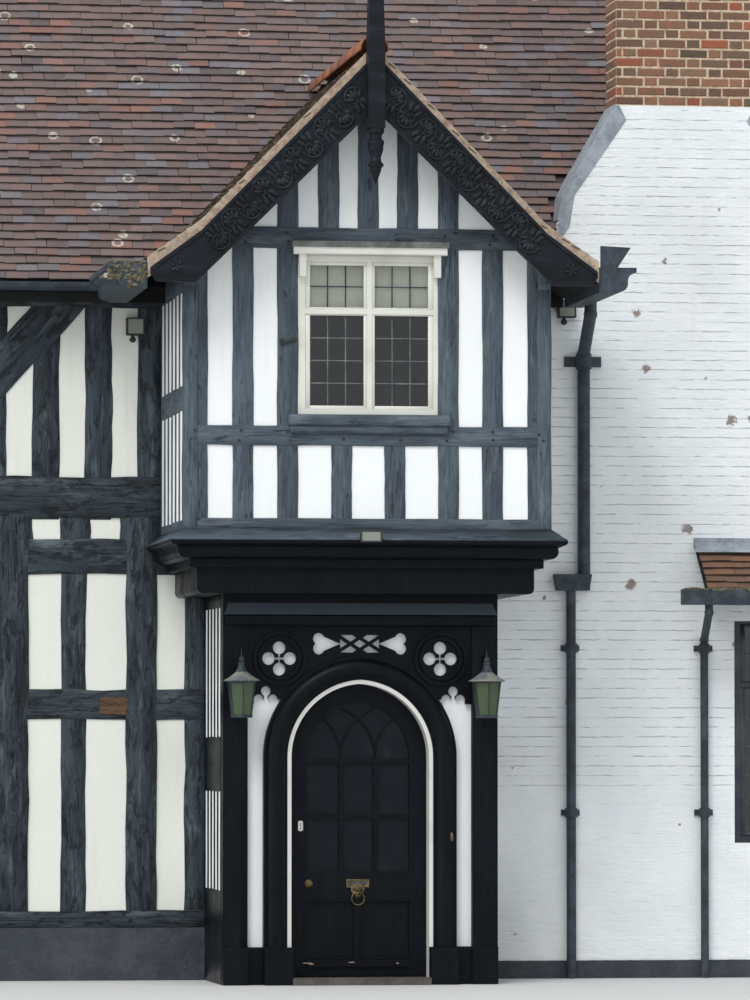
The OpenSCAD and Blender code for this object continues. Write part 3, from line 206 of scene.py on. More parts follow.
def select(obj: bpy.types.Object, part: Part, test: Test) -> int:
    """Selects the elements of a mesh in edit mode that pass a test.

    Args:
        obj: Object in edit mode.
        part: Kind of element.
        test: Takes an element's middle and its normal, or an edge's direction.

    Returns:
        How many elements are selected.
    """
    bpy.ops.mesh.select_mode(type=part.value)
    mesh = bmesh.from_edit_mesh(obj.data)
    count = 0
    if part is Part.POINT:
        found = [(v, v.co, v.normal) for v in mesh.verts]
    elif part is Part.EDGE:
        found = [(e, (e.verts[0].co + e.verts[1].co) / 2, e.verts[1].co - e.verts[0].co) for e in mesh.edges]
    else:
        found = [(f, f.calc_center_median(), f.normal) for f in mesh.faces]
    for element, middle, normal in found:
        chosen = bool(test(middle, normal))
        element.select_set(chosen)
        count += chosen
    mesh.select_flush_mode()
    bmesh.update_edit_mesh(obj.data)
    return count


def finished(obj: bpy.types.Object, kind: str, **settings: object) -> bpy.types.Object:
    """Adds one modifier to an object and applies it.

    Args:
        obj: Object to change.
        kind: Type of the modifier.
        settings: Its values.

    Returns:
        The same object.
    """
    only(obj)
    modifier = obj.modifiers.new(kind.lower(), kind)
    for key, value in settings.items():
        setattr(modifier, key, value)
    bpy.ops.object.modifier_apply(modifier=modifier.name)
    return obj


def eased(
    obj: bpy.types.Object, width: float = 0.004, segments: int = 1, angle: float = 30
) -> bpy.types.Object:
    """Rounds the sharp edges of an object by a small width."""
    return finished(
        obj, "BEVEL", width=width, segments=segments, limit_method="ANGLE", angle_limit=math.radians(angle)
    )


def flat(obj: bpy.types.Object) -> bpy.types.Object:
    """Shades every face of an object flat."""
    obj.data.shade_flat()
    return obj


def smooth(obj: bpy.types.Object, angle: float = 40) -> bpy.types.Object:
    """Shades an object smooth except across edges sharper than the angle."""
    only(obj)
    bpy.ops.object.shade_smooth_by_angle(angle=math.radians(angle))
    return obj


def outward(obj: bpy.types.Object) -> bpy.types.Object:
    """Merges doubled points and turns every face outwards."""
    with editing(obj):
        bpy.ops.mesh.select_all(action="SELECT")
        bpy.ops.mesh.remove_doubles(threshold=0.00001)
        bpy.ops.mesh.normals_make_consistent(inside=False)
    return obj


def merged(name: str, objects: Sequence[bpy.types.Object]) -> bpy.types.Object:
    """Joins several objects into one.

    Args:
        name: Name of the joined object.
        objects: Objects to join.

    Returns:
        The joined object.
    """
    only(objects[0])
    for obj in objects:
        obj.select_set(True)
    if len(objects) > 1:
        bpy.ops.object.join()
    return named(name)


# Repeated shapes: a unit is modelled once and laid out in number


@dataclass(frozen=True)
class Stock:
    """Shape that repeats, taken from a unit object made by operators.

    Attributes:
        points: Its points, one row each.
        corners: The point at each corner of its faces.
        starts: The first corner of each face.
    """

    points: np.ndarray
    corners: np.ndarray
    starts: np.ndarray

    @classmethod
    def of(cls, obj: bpy.types.Object) -> "Stock":
        """Takes the shape of a unit object and removes the object.

        Args:
            obj: The unit, finished at the origin.

        Returns:
            Its shape as stock.
        """
        mesh = obj.data
        points = np.empty(len(mesh.vertices) * 3)
        mesh.vertices.foreach_get("co", points)
        corners = np.empty(len(mesh.loops), np.int32)
        mesh.loops.foreach_get("vertex_index", corners)
        starts = np.empty(len(mesh.polygons), np.int32)
        mesh.polygons.foreach_get("loop_start", starts)
        bpy.data.objects.remove(obj)
        return cls(points.reshape(-1, 3), corners, starts)

    def laid(
        self, name: str, points: np.ndarray, tone: np.ndarray, grain: np.ndarray | None = None
    ) -> bpy.types.Object:
        """Joins many placed copies into one mesh.

        Args:
            name: Name of the new object.
            points: Points of every copy, as copies by points by 3.
            tone: One random value for each copy, which its finish reads.
            grain: Points in the copy's own directions, for patterns that follow it.

        Returns:
            The new object.
        """
        copies, count = points.shape[:2]
        mesh = bpy.data.meshes.new(name)
        mesh.vertices.add(copies * count)
        mesh.vertices.foreach_set("co", points.astype(np.float32).ravel())
        corners = self.corners[None, :] + (np.arange(copies) * count)[:, None]
        mesh.loops.add(corners.size)
        mesh.loops.foreach_set("vertex_index", corners.astype(np.int32).ravel())
        starts = self.starts[None, :] + (np.arange(copies) * len(self.corners))[:, None]
        mesh.polygons.add(starts.size)
        mesh.polygons.foreach_set("loop_start", starts.astype(np.int32).ravel())
        mesh.update(calc_edges=True)
        tones = mesh.attributes.new("tone", "FLOAT", "POINT")
        tones.data.foreach_set("value", np.repeat(tone, count).astype(np.float32))
        local = np.broadcast_to(self.points, points.shape) if grain is None else grain
        grains = mesh.attributes.new("grain", "FLOAT_VECTOR", "POINT")
        grains.data.foreach_set("vector", np.ascontiguousarray(local, np.float32).ravel())
        obj = bpy.data.objects.new(name, mesh)
        bpy.context.scene.collection.objects.link(obj)
        return obj

    def at(self, name: str, places: Sequence[Matrix], seed: int = 1) -> bpy.types.Object:
        """Joins copies that are moved, turned or mirrored as a whole.

        Args:
            name: Name of the new object.
            places: Matrix of each copy.
            seed: Seed of the random value of each copy.

        Returns:
            The new object, with every face outwards.
        """
        turns = np.array([[row[:] for row in place] for place in places])
        points = np.einsum("nij,pj->npi", turns[:, :3, :3], self.points) + turns[:, None, :3, 3]
        obj = self.laid(name, points, np.random.default_rng(seed).uniform(0, 1, len(places)))
        if any(place.determinant() < 0 for place in places):
            with editing(obj):
                bpy.ops.mesh.select_all(action="SELECT")
                bpy.ops.mesh.normals_make_consistent(inside=False)
        return obj


@dataclass(frozen=True)
class Side:
    """Flat side of the house that beams, bricks or strips are laid on.

    Attributes:
        origin: Point that u, v and w are counted from.
        u: Direction to the right of someone who faces the side.
        out: Direction out of the side.
    """

    origin: Triple
    u: Triple
    out: Triple

    def place(self, uvw: np.ndarray) -> np.ndarray:
        """Points of the frame for points counted along, up and out of the side."""
        axes = np.array([self.u, (0, 0, 1), self.out])
        return np.array(self.origin) + uvw @ axes


FRONT = Side((0, 1.2, 0), (1, 0, 0), (0, -1, 0))
BACK = Side((0, 7.2, 0), (-1, 0, 0), (0, 1, 0))
LEFT = Side((-5.5, 0, 0), (0, -1, 0), (-1, 0, 0))
RIGHT = Side((5.5, 0, 0), (0, 1, 0), (1, 0, 0))
JETTY_FRONT = Side((0, -0.4, 0), (1, 0, 0), (0, -1, 0))
JETTY_LEFT = Side((-1.38, 0, 0), (0, -1, 0), (-1, 0, 0))
JETTY_RIGHT = Side((1.38, 0, 0), (0, 1, 0), (1, 0, 0))
PORCH_LEFT = Side((-1.04, 0, 0), (0, -1, 0), (-1, 0, 0))
PORCH_RIGHT = Side((1.04, 0, 0), (0, 1, 0), (1, 0, 0))


def stretched(unit: np.ndarray, size: np.ndarray | float, rim: float, band: float = 0.05) -> np.ndarray:
    """Stretches unit coordinates to a size and keeps the width of their bevels.

    Args:
        unit: Coordinates from 0 to 1, with the bevels within the band at each end.
        size: Size to stretch to, one for each copy or one for all.
        rim: Real width of the bevels.
        band: Width of the bevels in the unit.

    Returns:
        Coordinates from 0 to the size.
    """
    size = np.asarray(size, float)
    inner = rim + (unit - band) / (1 - 2 * band) * (size - 2 * rim)
    low = unit / band * rim
    high = size - (1 - unit) / band * rim
    return np.where(unit < band, low, np.where(unit > 1 - band, high, inner))


def waver(along: np.ndarray, seed: np.random.Generator, scale: float = 1.0) -> np.ndarray:
    """Slow irregular curve from 0 to 1 along each copy.

    Args:
        along: Distance along each copy in metres, copies by points.
        seed: Source of the random phases.
        scale: Length that the waves are stretched by.

    Returns:
        Values from 0 to 1, shaped as the distances.
    """
    total = np.zeros_like(along)
    for wave, share in ((0.9, 0.5), (2.6, 0.3), (6.1, 0.2)):
        phase = seed.uniform(0, 2 * math.pi, (len(along), 1))
        speed = wave * seed.uniform(0.8, 1.25, (len(along), 1)) * 2 * math.pi / scale
        total += share * np.sin(along * speed + phase)
    return 0.5 + 0.5 * total


@dataclass(frozen=True)
class Beam:
    """Timber that lies in a side of the house.

    Attributes:
        foot: Start of its middle line, along and up.
        head: End of its middle line.
        width: Its width across the line.
        out: How far its face stands before the face of the side.
        depth: Its depth back from its face.
    """

    foot: Pair
    head: Pair
    width: float
    out: float = 0.0
    depth: float = 0.1


def upright(u: float, width: float, low: float, high: float, out: float = -0.003) -> Beam:
    """Post or stud around a middle line."""
    return Beam((u, low), (u, high), width, out)


def rail(low_u: float, high_u: float, low: float, high: float, out: float = 0.0) -> Beam:
    """Level timber between two ends and two levels."""
    return Beam((low_u, (low + high) / 2), (high_u, (low + high) / 2), high - low, out)


def mirrored(beams: Sequence[Beam]) -> list[Beam]:
    """The same beams on the other hand, with u counted the other way."""
    flip = lambda point: (-point[0], point[1])
    return [Beam(flip(b.foot), flip(b.head), b.width, b.out, b.depth) for b in beams]


@dataclass
class Carpenter:
    """Lays beams with worn edges and slightly wavy sides.

    Attributes:
        cuts: Number of cuts along a beam.
        rim: Width of the worn edges.
        wave: How far a side may stand out of its straight line.
        seed: Seed of its random values.
        random: Source of the random values.
        unit: Unit beam.
    """

    cuts: int = 13
    rim: float = 0.006
    wave: float = 0.009
    seed: int = 11
    unit: Stock = field(init=False)
    random: np.random.Generator = field(init=False)

    def __post_init__(self) -> None:
        """Models the unit beam, one metre cube from 0 to 1, with its edges bevelled and cut along X."""
        self.random = np.random.default_rng(self.seed)
        beam = block("unit_beam", (0, 0, 0), (1, 1, 1))
        finished(beam, "BEVEL", width=0.05, segments=1, limit_method="ANGLE")
        with editing(beam):
            select(beam, Part.EDGE, lambda middle, along: abs(along.x) > 0.5)
            bpy.ops.mesh.subdivide(number_cuts=self.cuts)
        self.unit = Stock.of(beam)

    def lay(self, name: str, side: Side, beams: Sequence[Beam]) -> bpy.types.Object:
        """Lays beams on a side of the house as one joined mesh.

        Args:
            name: Name of the new object.
            side: Side that they lie in.
            beams: The beams.

        Returns:
            The new object.
        """
        foot = np.array([b.foot for b in beams], float)
        head = np.array([b.head for b in beams], float)
        width, out, depth = (
            np.array([[getattr(b, key)] for b in beams]) for key in ("width", "out", "depth")
        )
        line = head - foot
        length = np.linalg.norm(line, axis=1, keepdims=True)
        along = line / length
        unit = self.unit.points
        s = stretched(unit[:, 0], length, self.rim)
        t = stretched(unit[:, 1], width, self.rim) - width / 2
        w = stretched(unit[:, 2], depth, self.rim) - depth
        right = self.wave * waver(s, self.random)
        left = self.wave * waver(s, self.random)
        side_of = np.clip(2 * t / width, -1, 1)
        t = t + np.where(side_of > 0, side_of * left, side_of * right)
        w = w + out - 0.002 * waver(s, self.random) * (unit[:, 2] > 0.5)
        u = foot[:, :1] + s * along[:, :1] - t * along[:, 1:]
        v = np.maximum(foot[:, 1:] + s * along[:, 1:] + t * along[:, :1], 0)
        offset = self.random.uniform(0, 40, (len(beams), 1))
        grain = np.stack([s + offset, t + offset / 3, w], axis=2)
        placed = side.place(np.stack([u, v, w], axis=2))
        return self.unit.laid(name, placed, self.random.uniform(0, 1, len(beams)), grain)


# Finishes: effects shared by several materials


class Graph:
    """Shorthand for adding and joining the nodes of one tree."""

    def __init__(self, tree: bpy.types.NodeTree) -> None:
        """Keeps the tree that nodes are added to."""
        self.tree = tree

    def add(self, kind: str, **inputs: object) -> bpy.types.Node:
        """Adds a node and sets or joins its named inputs.

        Args:
            kind: Type of the node, without the leading ShaderNode.
            inputs: Values or sockets, by input name with underscores for spaces.

        Returns:
            The node.
        """
        node = self.tree.nodes.new("ShaderNode" + kind)
        for key, value in inputs.items():
            self.feed(node.inputs[key.replace("_", " ")], value)
        return node

    def feed(self, socket: bpy.types.NodeSocket, value: object) -> None:
        """Joins a socket to an input, or sets the input to a plain value."""
        if isinstance(value, bpy.types.NodeSocket):
            self.tree.links.new(value, socket)
        else:
            socket.default_value = value

    def place(self) -> bpy.types.NodeSocket:
        """Object coordinates."""
        return self.add("TexCoord").outputs["Object"]

    def attribute(self, name: str, vector: bool = False) -> bpy.types.NodeSocket:
        """Value or vector stored on the mesh under a name."""
        node = self.add("Attribute")
        node.attribute_name = name
        return node.outputs["Vector" if vector else "Fac"]

    def scaled(self, vector: object, scale: Triple, shift: Triple = (0, 0, 0)) -> bpy.types.NodeSocket:
        """Coordinates stretched along each axis and shifted."""
        return self.add("Mapping", Vector=vector, Scale=scale, Location=shift).outputs[0]

    def noise(
        self, vector: object, scale: float, detail: float = 4, rough: float = 0.6, skew: float = 0
    ) -> bpy.types.NodeSocket:
        """Soft noise from 0 to 1."""
        node = self.add(
            "TexNoise", Vector=vector, Scale=scale, Detail=detail, Roughness=rough, Distortion=skew
        )
        return node.outputs[0]

    def math(
        self, kind: str, first: object, second: object = 0.0, clamp: bool = False
    ) -> bpy.types.NodeSocket:
        """Result of one sum on two values.

        Args:
            kind: Name of the operation.
            first: First value or socket.
            second: Second value or socket.
            clamp: Whether the result stays in 0 to 1.

        Returns:
            Socket with the result.
        """
        node = self.tree.nodes.new("ShaderNodeMath")
        node.operation = kind
        node.use_clamp = clamp
        self.feed(node.inputs[0], first)
        self.feed(node.inputs[1], second)
        return node.outputs[0]

    def step(
        self, value: object, low: float, high: float, start: float = 0.0, end: float = 1.0
    ) -> bpy.types.NodeSocket:
        """Value eased from start to end between two limits.

        Args:
            value: Value or socket that is mapped.
            low: Where the step begins.
            high: Where it ends.
            start: Result before it.
            end: Result after it.

        Returns:
            Socket with the result.
        """
        node = self.add("MapRange", Value=value)
        node.interpolation_type = "SMOOTHSTEP"
        for key, number in zip(("From Min", "From Max", "To Min", "To Max"), (low, high, start, end)):
            node.inputs[key].default_value = number
        return node.outputs[0]

    def mix(self, share: object, first: object, second: object, blend: str = "MIX") -> bpy.types.NodeSocket:
        """Mix of two colours by a share.

        Args:
            share: Share of the second colour.
            first: First colour.
            second: Second colour.
            blend: Name of the blend.

        Returns:
            Socket with the colour.
        """
        node = self.tree.nodes.new("ShaderNodeMix")
        node.data_type = "RGBA"
        node.blend_type = blend
        self.feed(node.inputs[0], share)
        self.feed(node.inputs[6], first)
        self.feed(node.inputs[7], second)
        return node.outputs[2]

    def ramp(
        self, value: object, stops: Sequence[tuple[float, Colour]], steady: bool = False
    ) -> bpy.types.NodeSocket:
        """Colour read off a ramp of stops, in bands where steady.

        Args:
            value: Value that picks the colour.
            stops: Places and colours along the ramp.
            steady: Whether the colours change in steps.

        Returns:
            Socket with the colour.
        """
        node = self.add("ValToRGB", Fac=value)
        ramp = node.color_ramp
        ramp.interpolation = "CONSTANT" if steady else "LINEAR"
        while len(ramp.elements) < len(stops):
            ramp.elements.new(0.5)
        for element, (place, colour) in zip(ramp.elements, stops):
            element.position, element.color = place, colour
        return node.outputs[0]

    def varied(self, tone: object, seed: float = 0.0) -> list[bpy.types.NodeSocket]:
        """Three more random values from one.

        Args:
            tone: Random value of the piece.
            seed: Shift that makes the values new.

        Returns:
            Sockets with three random values.
        """
        node = self.tree.nodes.new("ShaderNodeTexWhiteNoise")
        node.noise_dimensions = "1D"
        self.feed(node.inputs["W"], self.math("ADD", self.math("MULTIPLY", tone, 977.0), seed))
        return list(self.add("SeparateColor", Color=node.outputs["Color"]).outputs)

    def bump(self, height: object, distance: float) -> bpy.types.NodeSocket:
        """Normal raised by a height from 0 to 1 over a distance in metres."""
        return self.add("Bump", Height=height, Distance=distance, Strength=1.0).outputs[0]

    def axis(self, vector: object, index: int) -> bpy.types.NodeSocket:
        """One coordinate of a vector."""
        return self.add("SeparateXYZ", Vector=vector).outputs[index]

    def shaded(self, colour: object, shade: object) -> bpy.types.NodeSocket:
        """Colour made darker or lighter by a value."""
        grey = self.add("CombineColor", Red=shade, Green=shade, Blue=shade).outputs[0]
        return self.mix(1.0, colour, grey, "MULTIPLY")

    def group(self, tree: bpy.types.NodeTree, **inputs: object) -> bpy.types.Node:
        """Places a shared effect with its own values."""
        node = self.tree.nodes.new("ShaderNodeGroup")
        node.node_tree = tree
        for key, value in inputs.items():
            self.feed(node.inputs[key], value)
        return node


def effect(
    name: str, inputs: dict[str, object], outputs: dict[str, str]
) -> tuple[bpy.types.NodeTree, Graph, bpy.types.Node, bpy.types.Node]:
    """Starts a shared effect as a node group.

    Args:
        name: Name of the group.
        inputs: Default value of each input, by name. A triple makes it a vector.
        outputs: Kind of each output, by name: value, colour or normal.

    Returns:
        The group, its graph, its input node and its output node.
    """
    kinds = {"value": "NodeSocketFloat", "colour": "NodeSocketColor", "normal": "NodeSocketVector"}
    tree = bpy.data.node_groups.new(name, "ShaderNodeTree")
    for key, value in inputs.items():
        vector = isinstance(value, tuple)
        kind = "NodeSocketVector" if vector else "NodeSocketFloat"
        socket = tree.interface.new_socket(key, in_out="INPUT", socket_type=kind)
        if not vector:
            socket.default_value = value
    for key, kind in outputs.items():
        tree.interface.new_socket(key, in_out="OUTPUT", socket_type=kinds[kind])
    return tree, Graph(tree), tree.nodes.new("NodeGroupInput"), tree.nodes.new("NodeGroupOutput")


def make_grain() -> bpy.types.NodeTree:
    """Grain of old painted timber along X: fibres, drying cracks, flaked spots and a worn film."""
    tree, g, given, out = effect(
        "timber_grain",
        {"place": (0, 0, 0), "cracks": 1.0, "wear": 0.5},
        {"fibre": "value", "crack": "value", "flake": "value", "worn": "value", "height": "value"},
    )
    place = given.outputs["place"]
    fibre = g.noise(g.scaled(place, (4, 60, 60)), 1.0, 5, 0.6, 0.4)
    broad = g.noise(g.scaled(place, (1.1, 5, 5)), 1.0, 3)
    lumps = g.noise(g.scaled(place, (14, 34, 34), (3, 1, 5)), 1.0, 5, 0.65, 0.5)
    line = g.noise(g.scaled(place, (0.9, 22, 22)), 1.0, 3, 0.55, 0.8)
    thin = g.step(g.math("ABSOLUTE", g.math("SUBTRACT", line, 0.5)), 0.002, 0.012, 1, 0)
    crack = g.math(
        "MULTIPLY", g.math("MULTIPLY", thin, g.step(broad, 0.46, 0.62)), given.outputs["cracks"], True
    )
    patch = g.noise(g.scaled(place, (5, 15, 15), (7, 3, 1)), 1.0, 6, 0.72, 0.6)
    level = g.math("SUBTRACT", 0.74, g.math("MULTIPLY", given.outputs["wear"], 0.22))
    flake = g.math("MULTIPLY", g.math("SUBTRACT", patch, level), 14.0, True)
    film = g.noise(g.scaled(place, (2.2, 9, 9), (1, 8, 2)), 1.0, 5, 0.7)
    worn = g.step(g.math("ADD", film, g.math("MULTIPLY", fibre, 0.25)), 0.62, 0.86)
    height = g.math("ADD", g.math("MULTIPLY", fibre, 0.25), g.math("MULTIPLY", lumps, 0.75))
    height = g.math(
        "SUBTRACT", height, g.math("ADD", g.math("MULTIPLY", crack, 0.8), g.math("MULTIPLY", flake, 0.35))
    )
    for key, value in {
        "fibre": fibre, "crack": crack, "flake": flake, "worn": worn, "height": height
    }.items():
        g.feed(out.inputs[key], value)
    return tree


def make_streaks() -> bpy.types.NodeTree:
    """Rain streaks down an upright face, and broad stains."""
    tree, g, given, out = effect(
        "rain_streaks", {"place": (0, 0, 0), "amount": 0.5}, {"streak": "value", "stain": "value"}
    )
    place = given.outputs["place"]
    line = g.noise(g.scaled(place, (17, 17, 0.8)), 1.0, 4, 0.6, 0.2)
    broad = g.noise(g.scaled(place, (1.3, 1.3, 0.7)), 1.0, 3)
    streak = g.math(
        "MULTIPLY", g.math("MULTIPLY", g.step(line, 0.5, 0.78), g.step(broad, 0.4, 0.7)),
        given.outputs["amount"], True
    )
    g.feed(out.inputs["streak"], streak)
    g.feed(out.inputs["stain"], g.math("MULTIPLY", g.step(broad, 0.35, 0.8), given.outputs["amount"], True))
    return tree


def make_growth() -> bpy.types.NodeTree:
    """Round spots of lichen and soft cushions of moss."""
    tree, g, given, out = effect(
        "lichen_and_moss",
        {"place": (0, 0, 0), "lichen": 0.5, "moss": 0.5},
        {"lichen": "value", "moss": "value", "yellow": "value"},
    )
    place = given.outputs["place"]
    spots = g.add("TexVoronoi", Vector=place, Scale=24.0, Randomness=1.0)
    tint = g.add("SeparateColor", Color=spots.outputs["Color"])
    size = g.math("MULTIPLY", g.step(tint.outputs[1], 0.55, 1.0), 0.34)
    colony = g.step(g.noise(place, 1.4, 3), 0.42, 0.62)
    grains = g.noise(place, 150.0, 3, 0.7)
    reach = g.math(
        "MULTIPLY", g.math("MULTIPLY", size, colony), g.math("MULTIPLY", given.outputs["lichen"], 2.0)
    )
    near = g.math(
        "SUBTRACT", reach, g.math("ADD", spots.outputs["Distance"], g.math("MULTIPLY", grains, 0.12))
    )
    lichen = g.step(near, -0.06, 0.0)
    broad = g.noise(place, 1.7, 4, 0.65)
    fluff = g.noise(place, 55.0, 4, 0.7)
    cover = g.math("ADD", g.math("MULTIPLY", broad, 0.8), g.math("MULTIPLY", fluff, 0.4))
    moss = g.step(g.math("ADD", cover, g.math("MULTIPLY", given.outputs["moss"], 0.4)), 0.78, 0.92)
    for key, value in {"lichen": lichen, "moss": moss, "yellow": g.step(tint.outputs[0], 0.62, 0.7)}.items():
        g.feed(out.inputs[key], value)
    return tree


def make_pitting() -> bpy.types.NodeTree:
    """Rough mineral surface: pits, grains and slow unevenness."""
    tree, g, given, out = effect(
        "pitting", {"place": (0, 0, 0), "scale": 1.0}, {"grain": "value", "height": "value"}
    )
    place = g.add("VectorMath", Vector=given.outputs["place"])
    place.operation = "SCALE"
    g.feed(place.inputs["Scale"], given.outputs["scale"])
    grain = g.noise(place.outputs[0], 110.0, 4, 0.7)
    pits = g.step(g.noise(place.outputs[0], 42.0, 3, 0.6), 0.36, 0.5)
    slow = g.noise(place.outputs[0], 5.0, 3, 0.5)
    fine = g.math("ADD", g.math("MULTIPLY", pits, 0.25), g.math("MULTIPLY", grain, 0.2))
    height = g.math("ADD", g.math("MULTIPLY", slow, 0.6), fine)
    g.feed(out.inputs["grain"], grain)
    g.feed(out.inputs["height"], height)
    return tree


@dataclass
class Effects:
    """The shared effects, each built once."""

    grain: bpy.types.NodeTree = field(default_factory=make_grain)
    streaks: bpy.types.NodeTree = field(default_factory=make_streaks)
    growth: bpy.types.NodeTree = field(default_factory=make_growth)
    pitting: bpy.types.NodeTree = field(default_factory=make_pitting)


@dataclass(frozen=True)
class Finish:
    """Base of every finish: makes a material and dresses objects with it.

    Attributes:
        name: Name of the material, after its finish_ prefix.
        effects: The shared effects.
    """

    name: str
    effects: Effects

    def build(self, g: Graph, shader: bpy.types.Node) -> None:
        """Fills the node tree. Each finish has its own."""
        raise NotImplementedError

    @property
    def material(self) -> bpy.types.Material:
        """The material, built when it is first asked for."""
        found = bpy.data.materials.get("finish_" + self.name)
        if found is None:
            found = bpy.data.materials.new("finish_" + self.name)
            found.use_nodes = True
            found.node_tree.nodes.clear()
            g = Graph(found.node_tree)
            shader = g.add("BsdfPrincipled")
            output = g.add("OutputMaterial")
            g.feed(output.inputs["Surface"], shader.outputs[0])
            self.build(g, shader)
        return found

    def dress(self, *objects: bpy.types.Object) -> None:
        """Gives every object this finish alone."""
        for obj in objects:
            obj.data.materials.clear()
            obj.data.materials.append(self.material)


def fitted(piece: bpy.types.Object, finish: Finish, body: str = "house", node: str = "") -> bpy.types.Object:
    """Dresses a piece, joins it to the body that carries it and logs it.

    Args:
        piece: The finished piece.
        finish: Its finish.
        body: Body that carries it.
        node: CAD node whose place it takes, if any.

    Returns:
        The same piece.
    """
    finish.dress(piece)
    if node:
        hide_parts(node)
    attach(piece, body)
    log.info("%s: %d faces", piece.name, len(piece.data.polygons))
    return piece


class Flow(Enum):
    """Which way the grain of a timber runs."""

    BEAM = "along each beam"
    LEVEL = "along X"
    UPRIGHT = "along Z"
    DEEP = "along Y"


TURNS: dict[Flow, Triple] = {
    Flow.LEVEL: (0, 0, 0),
    Flow.UPRIGHT: (0, math.pi / 2, 0),
    Flow.DEEP: (0, 0, math.pi / 2),
}


@dataclass(frozen=True)
class Timber(Finish):
    """Old oak under paint, with fibres, cracks, flaked spots and a worn film.

    Attributes:
        dark: Colour of the deep grain.
        base: Colour of most of the surface.
        worn: Colour of the worn film.
        wear: Share of the surface that has flaked.
        rough: Roughness of the sound surface.
        coat: Weight of the gloss coat.
        relief: Depth of the grain in metres.
        cracks: Strength of the drying cracks.
        film: Strength of the worn film.
        specular: Strength of the mirrored light.
        flow: Direction of the grain.
    """

    dark: Colour
    base: Colour
    worn: Colour
    wear: float = 0.4
    rough: float = 0.66
    coat: float = 0.0
    relief: float = 0.006
    cracks: float = 1.0
    film: float = 0.5
    specular: float = 0.3
    flow: Flow = Flow.BEAM

    def build(self, g: Graph, shader: bpy.types.Node) -> None:
        """Grain along each beam, or one way over the whole piece, tinted by the beam's own tone.

        Args:
            g: Nodes of the material.
            shader: Shader that they feed.
        """
        if self.flow is Flow.BEAM:
            place = g.attribute("grain", True)
        else:
            place = g.add("Mapping", Vector=g.place(), Rotation=TURNS[self.flow]).outputs[0]
        grain = g.group(self.effects.grain, place=place, cracks=self.cracks, wear=self.wear)
        broad = g.noise(g.scaled(place, (1.4, 6, 6), (2, 5, 9)), 1.0, 4)
        depth = g.math(
            "ADD", g.math("MULTIPLY", grain.outputs["fibre"], 0.45), g.math("MULTIPLY", broad, 0.55)
        )
        body = g.mix(g.step(depth, 0.34, 0.62), self.dark, self.base)
        body = g.mix(g.math("MULTIPLY", grain.outputs["worn"], self.film), body, self.worn)
        body = g.mix(
            g.math("MULTIPLY", grain.outputs["flake"], 0.75), body, g.mix(0.5, self.dark, paint(16, 17, 19))
        )
        body = g.mix(g.math("MULTIPLY", grain.outputs["crack"], 0.85), body, paint(14, 15, 17))
        body = g.shaded(body, g.step(g.attribute("tone"), 0, 1, 0.88, 1.12))
        g.feed(shader.inputs["Base Color"], body)
        patch = g.step(g.noise(g.place(), 3.0, 4), 0.3, 0.7, self.rough - 0.08, self.rough + 0.08)
        g.feed(
            shader.inputs["Roughness"],
            g.math("ADD", patch, g.math("MULTIPLY", grain.outputs["flake"], 0.15), True)
        )
        shader.inputs["Specular IOR Level"].default_value = self.specular
        shader.inputs["Coat Weight"].default_value = self.coat
        shader.inputs["Coat Roughness"].default_value = 0.25
        g.feed(shader.inputs["Normal"], g.bump(grain.outputs["height"], self.relief))


@dataclass(frozen=True)
class Paint(Finish):
    """Paint on joinery, with brush marks, dust in its hollows and chips.

    Attributes:
        base: Colour of the paint.
        grime: Colour of the dust.
        chip: Colour under the paint.
        rough: Roughness.
        chips: Share of chipped surface.
        coat: Weight of a gloss coat.
        other: Colour of the joinery of the right window, where it differs.
        border: Distance along X and depth along Y that bound the other colour.
    """

    base: Colour
    grime: Colour
    chip: Colour
    rough: float = 0.4
    chips: float = 0.3
    coat: float = 0.1
    other: Colour | None = None
    border: Pair = (2.9, 2.0)

    def build(self, g: Graph, shader: bpy.types.Node) -> None:
        """Brush marks and dirt over one colour, or over one colour for each region.

        Args:
            g: Nodes of the material.
            shader: Shader that they feed.
        """
        place = g.place()
        brush = g.noise(g.scaled(place, (60, 60, 6)), 1.0, 4)
        dirt = g.step(g.noise(place, 2.3, 5, 0.7), 0.45, 0.75)
        chips = g.step(g.math("ADD", g.noise(place, 34.0, 4, 0.7), self.chips * 0.2), 0.76, 0.8)
        body = g.mix(g.math("MULTIPLY", dirt, 0.35), self.base, self.grime)
        body = g.mix(chips, body, self.chip)
        if self.other is not None:
            right = g.math("GREATER_THAN", g.axis(place, 0), self.border[0])
            front = g.math("LESS_THAN", g.axis(place, 1), self.border[1])
            dark = g.mix(g.math("MULTIPLY", dirt, 0.4), self.other, g.mix(0.3, self.other, self.grime))
            body = g.mix(g.math("MULTIPLY", right, front), body, dark)
        g.feed(shader.inputs["Base Color"], body)
        g.feed(shader.inputs["Roughness"], g.step(brush, 0.3, 0.7, self.rough - 0.06, self.rough + 0.14))
        shader.inputs["Coat Weight"].default_value = self.coat
        g.feed(
            shader.inputs["Normal"], g.bump(g.math("SUBTRACT", brush, g.math("MULTIPLY", chips, 0.5)), 0.0008)
        )


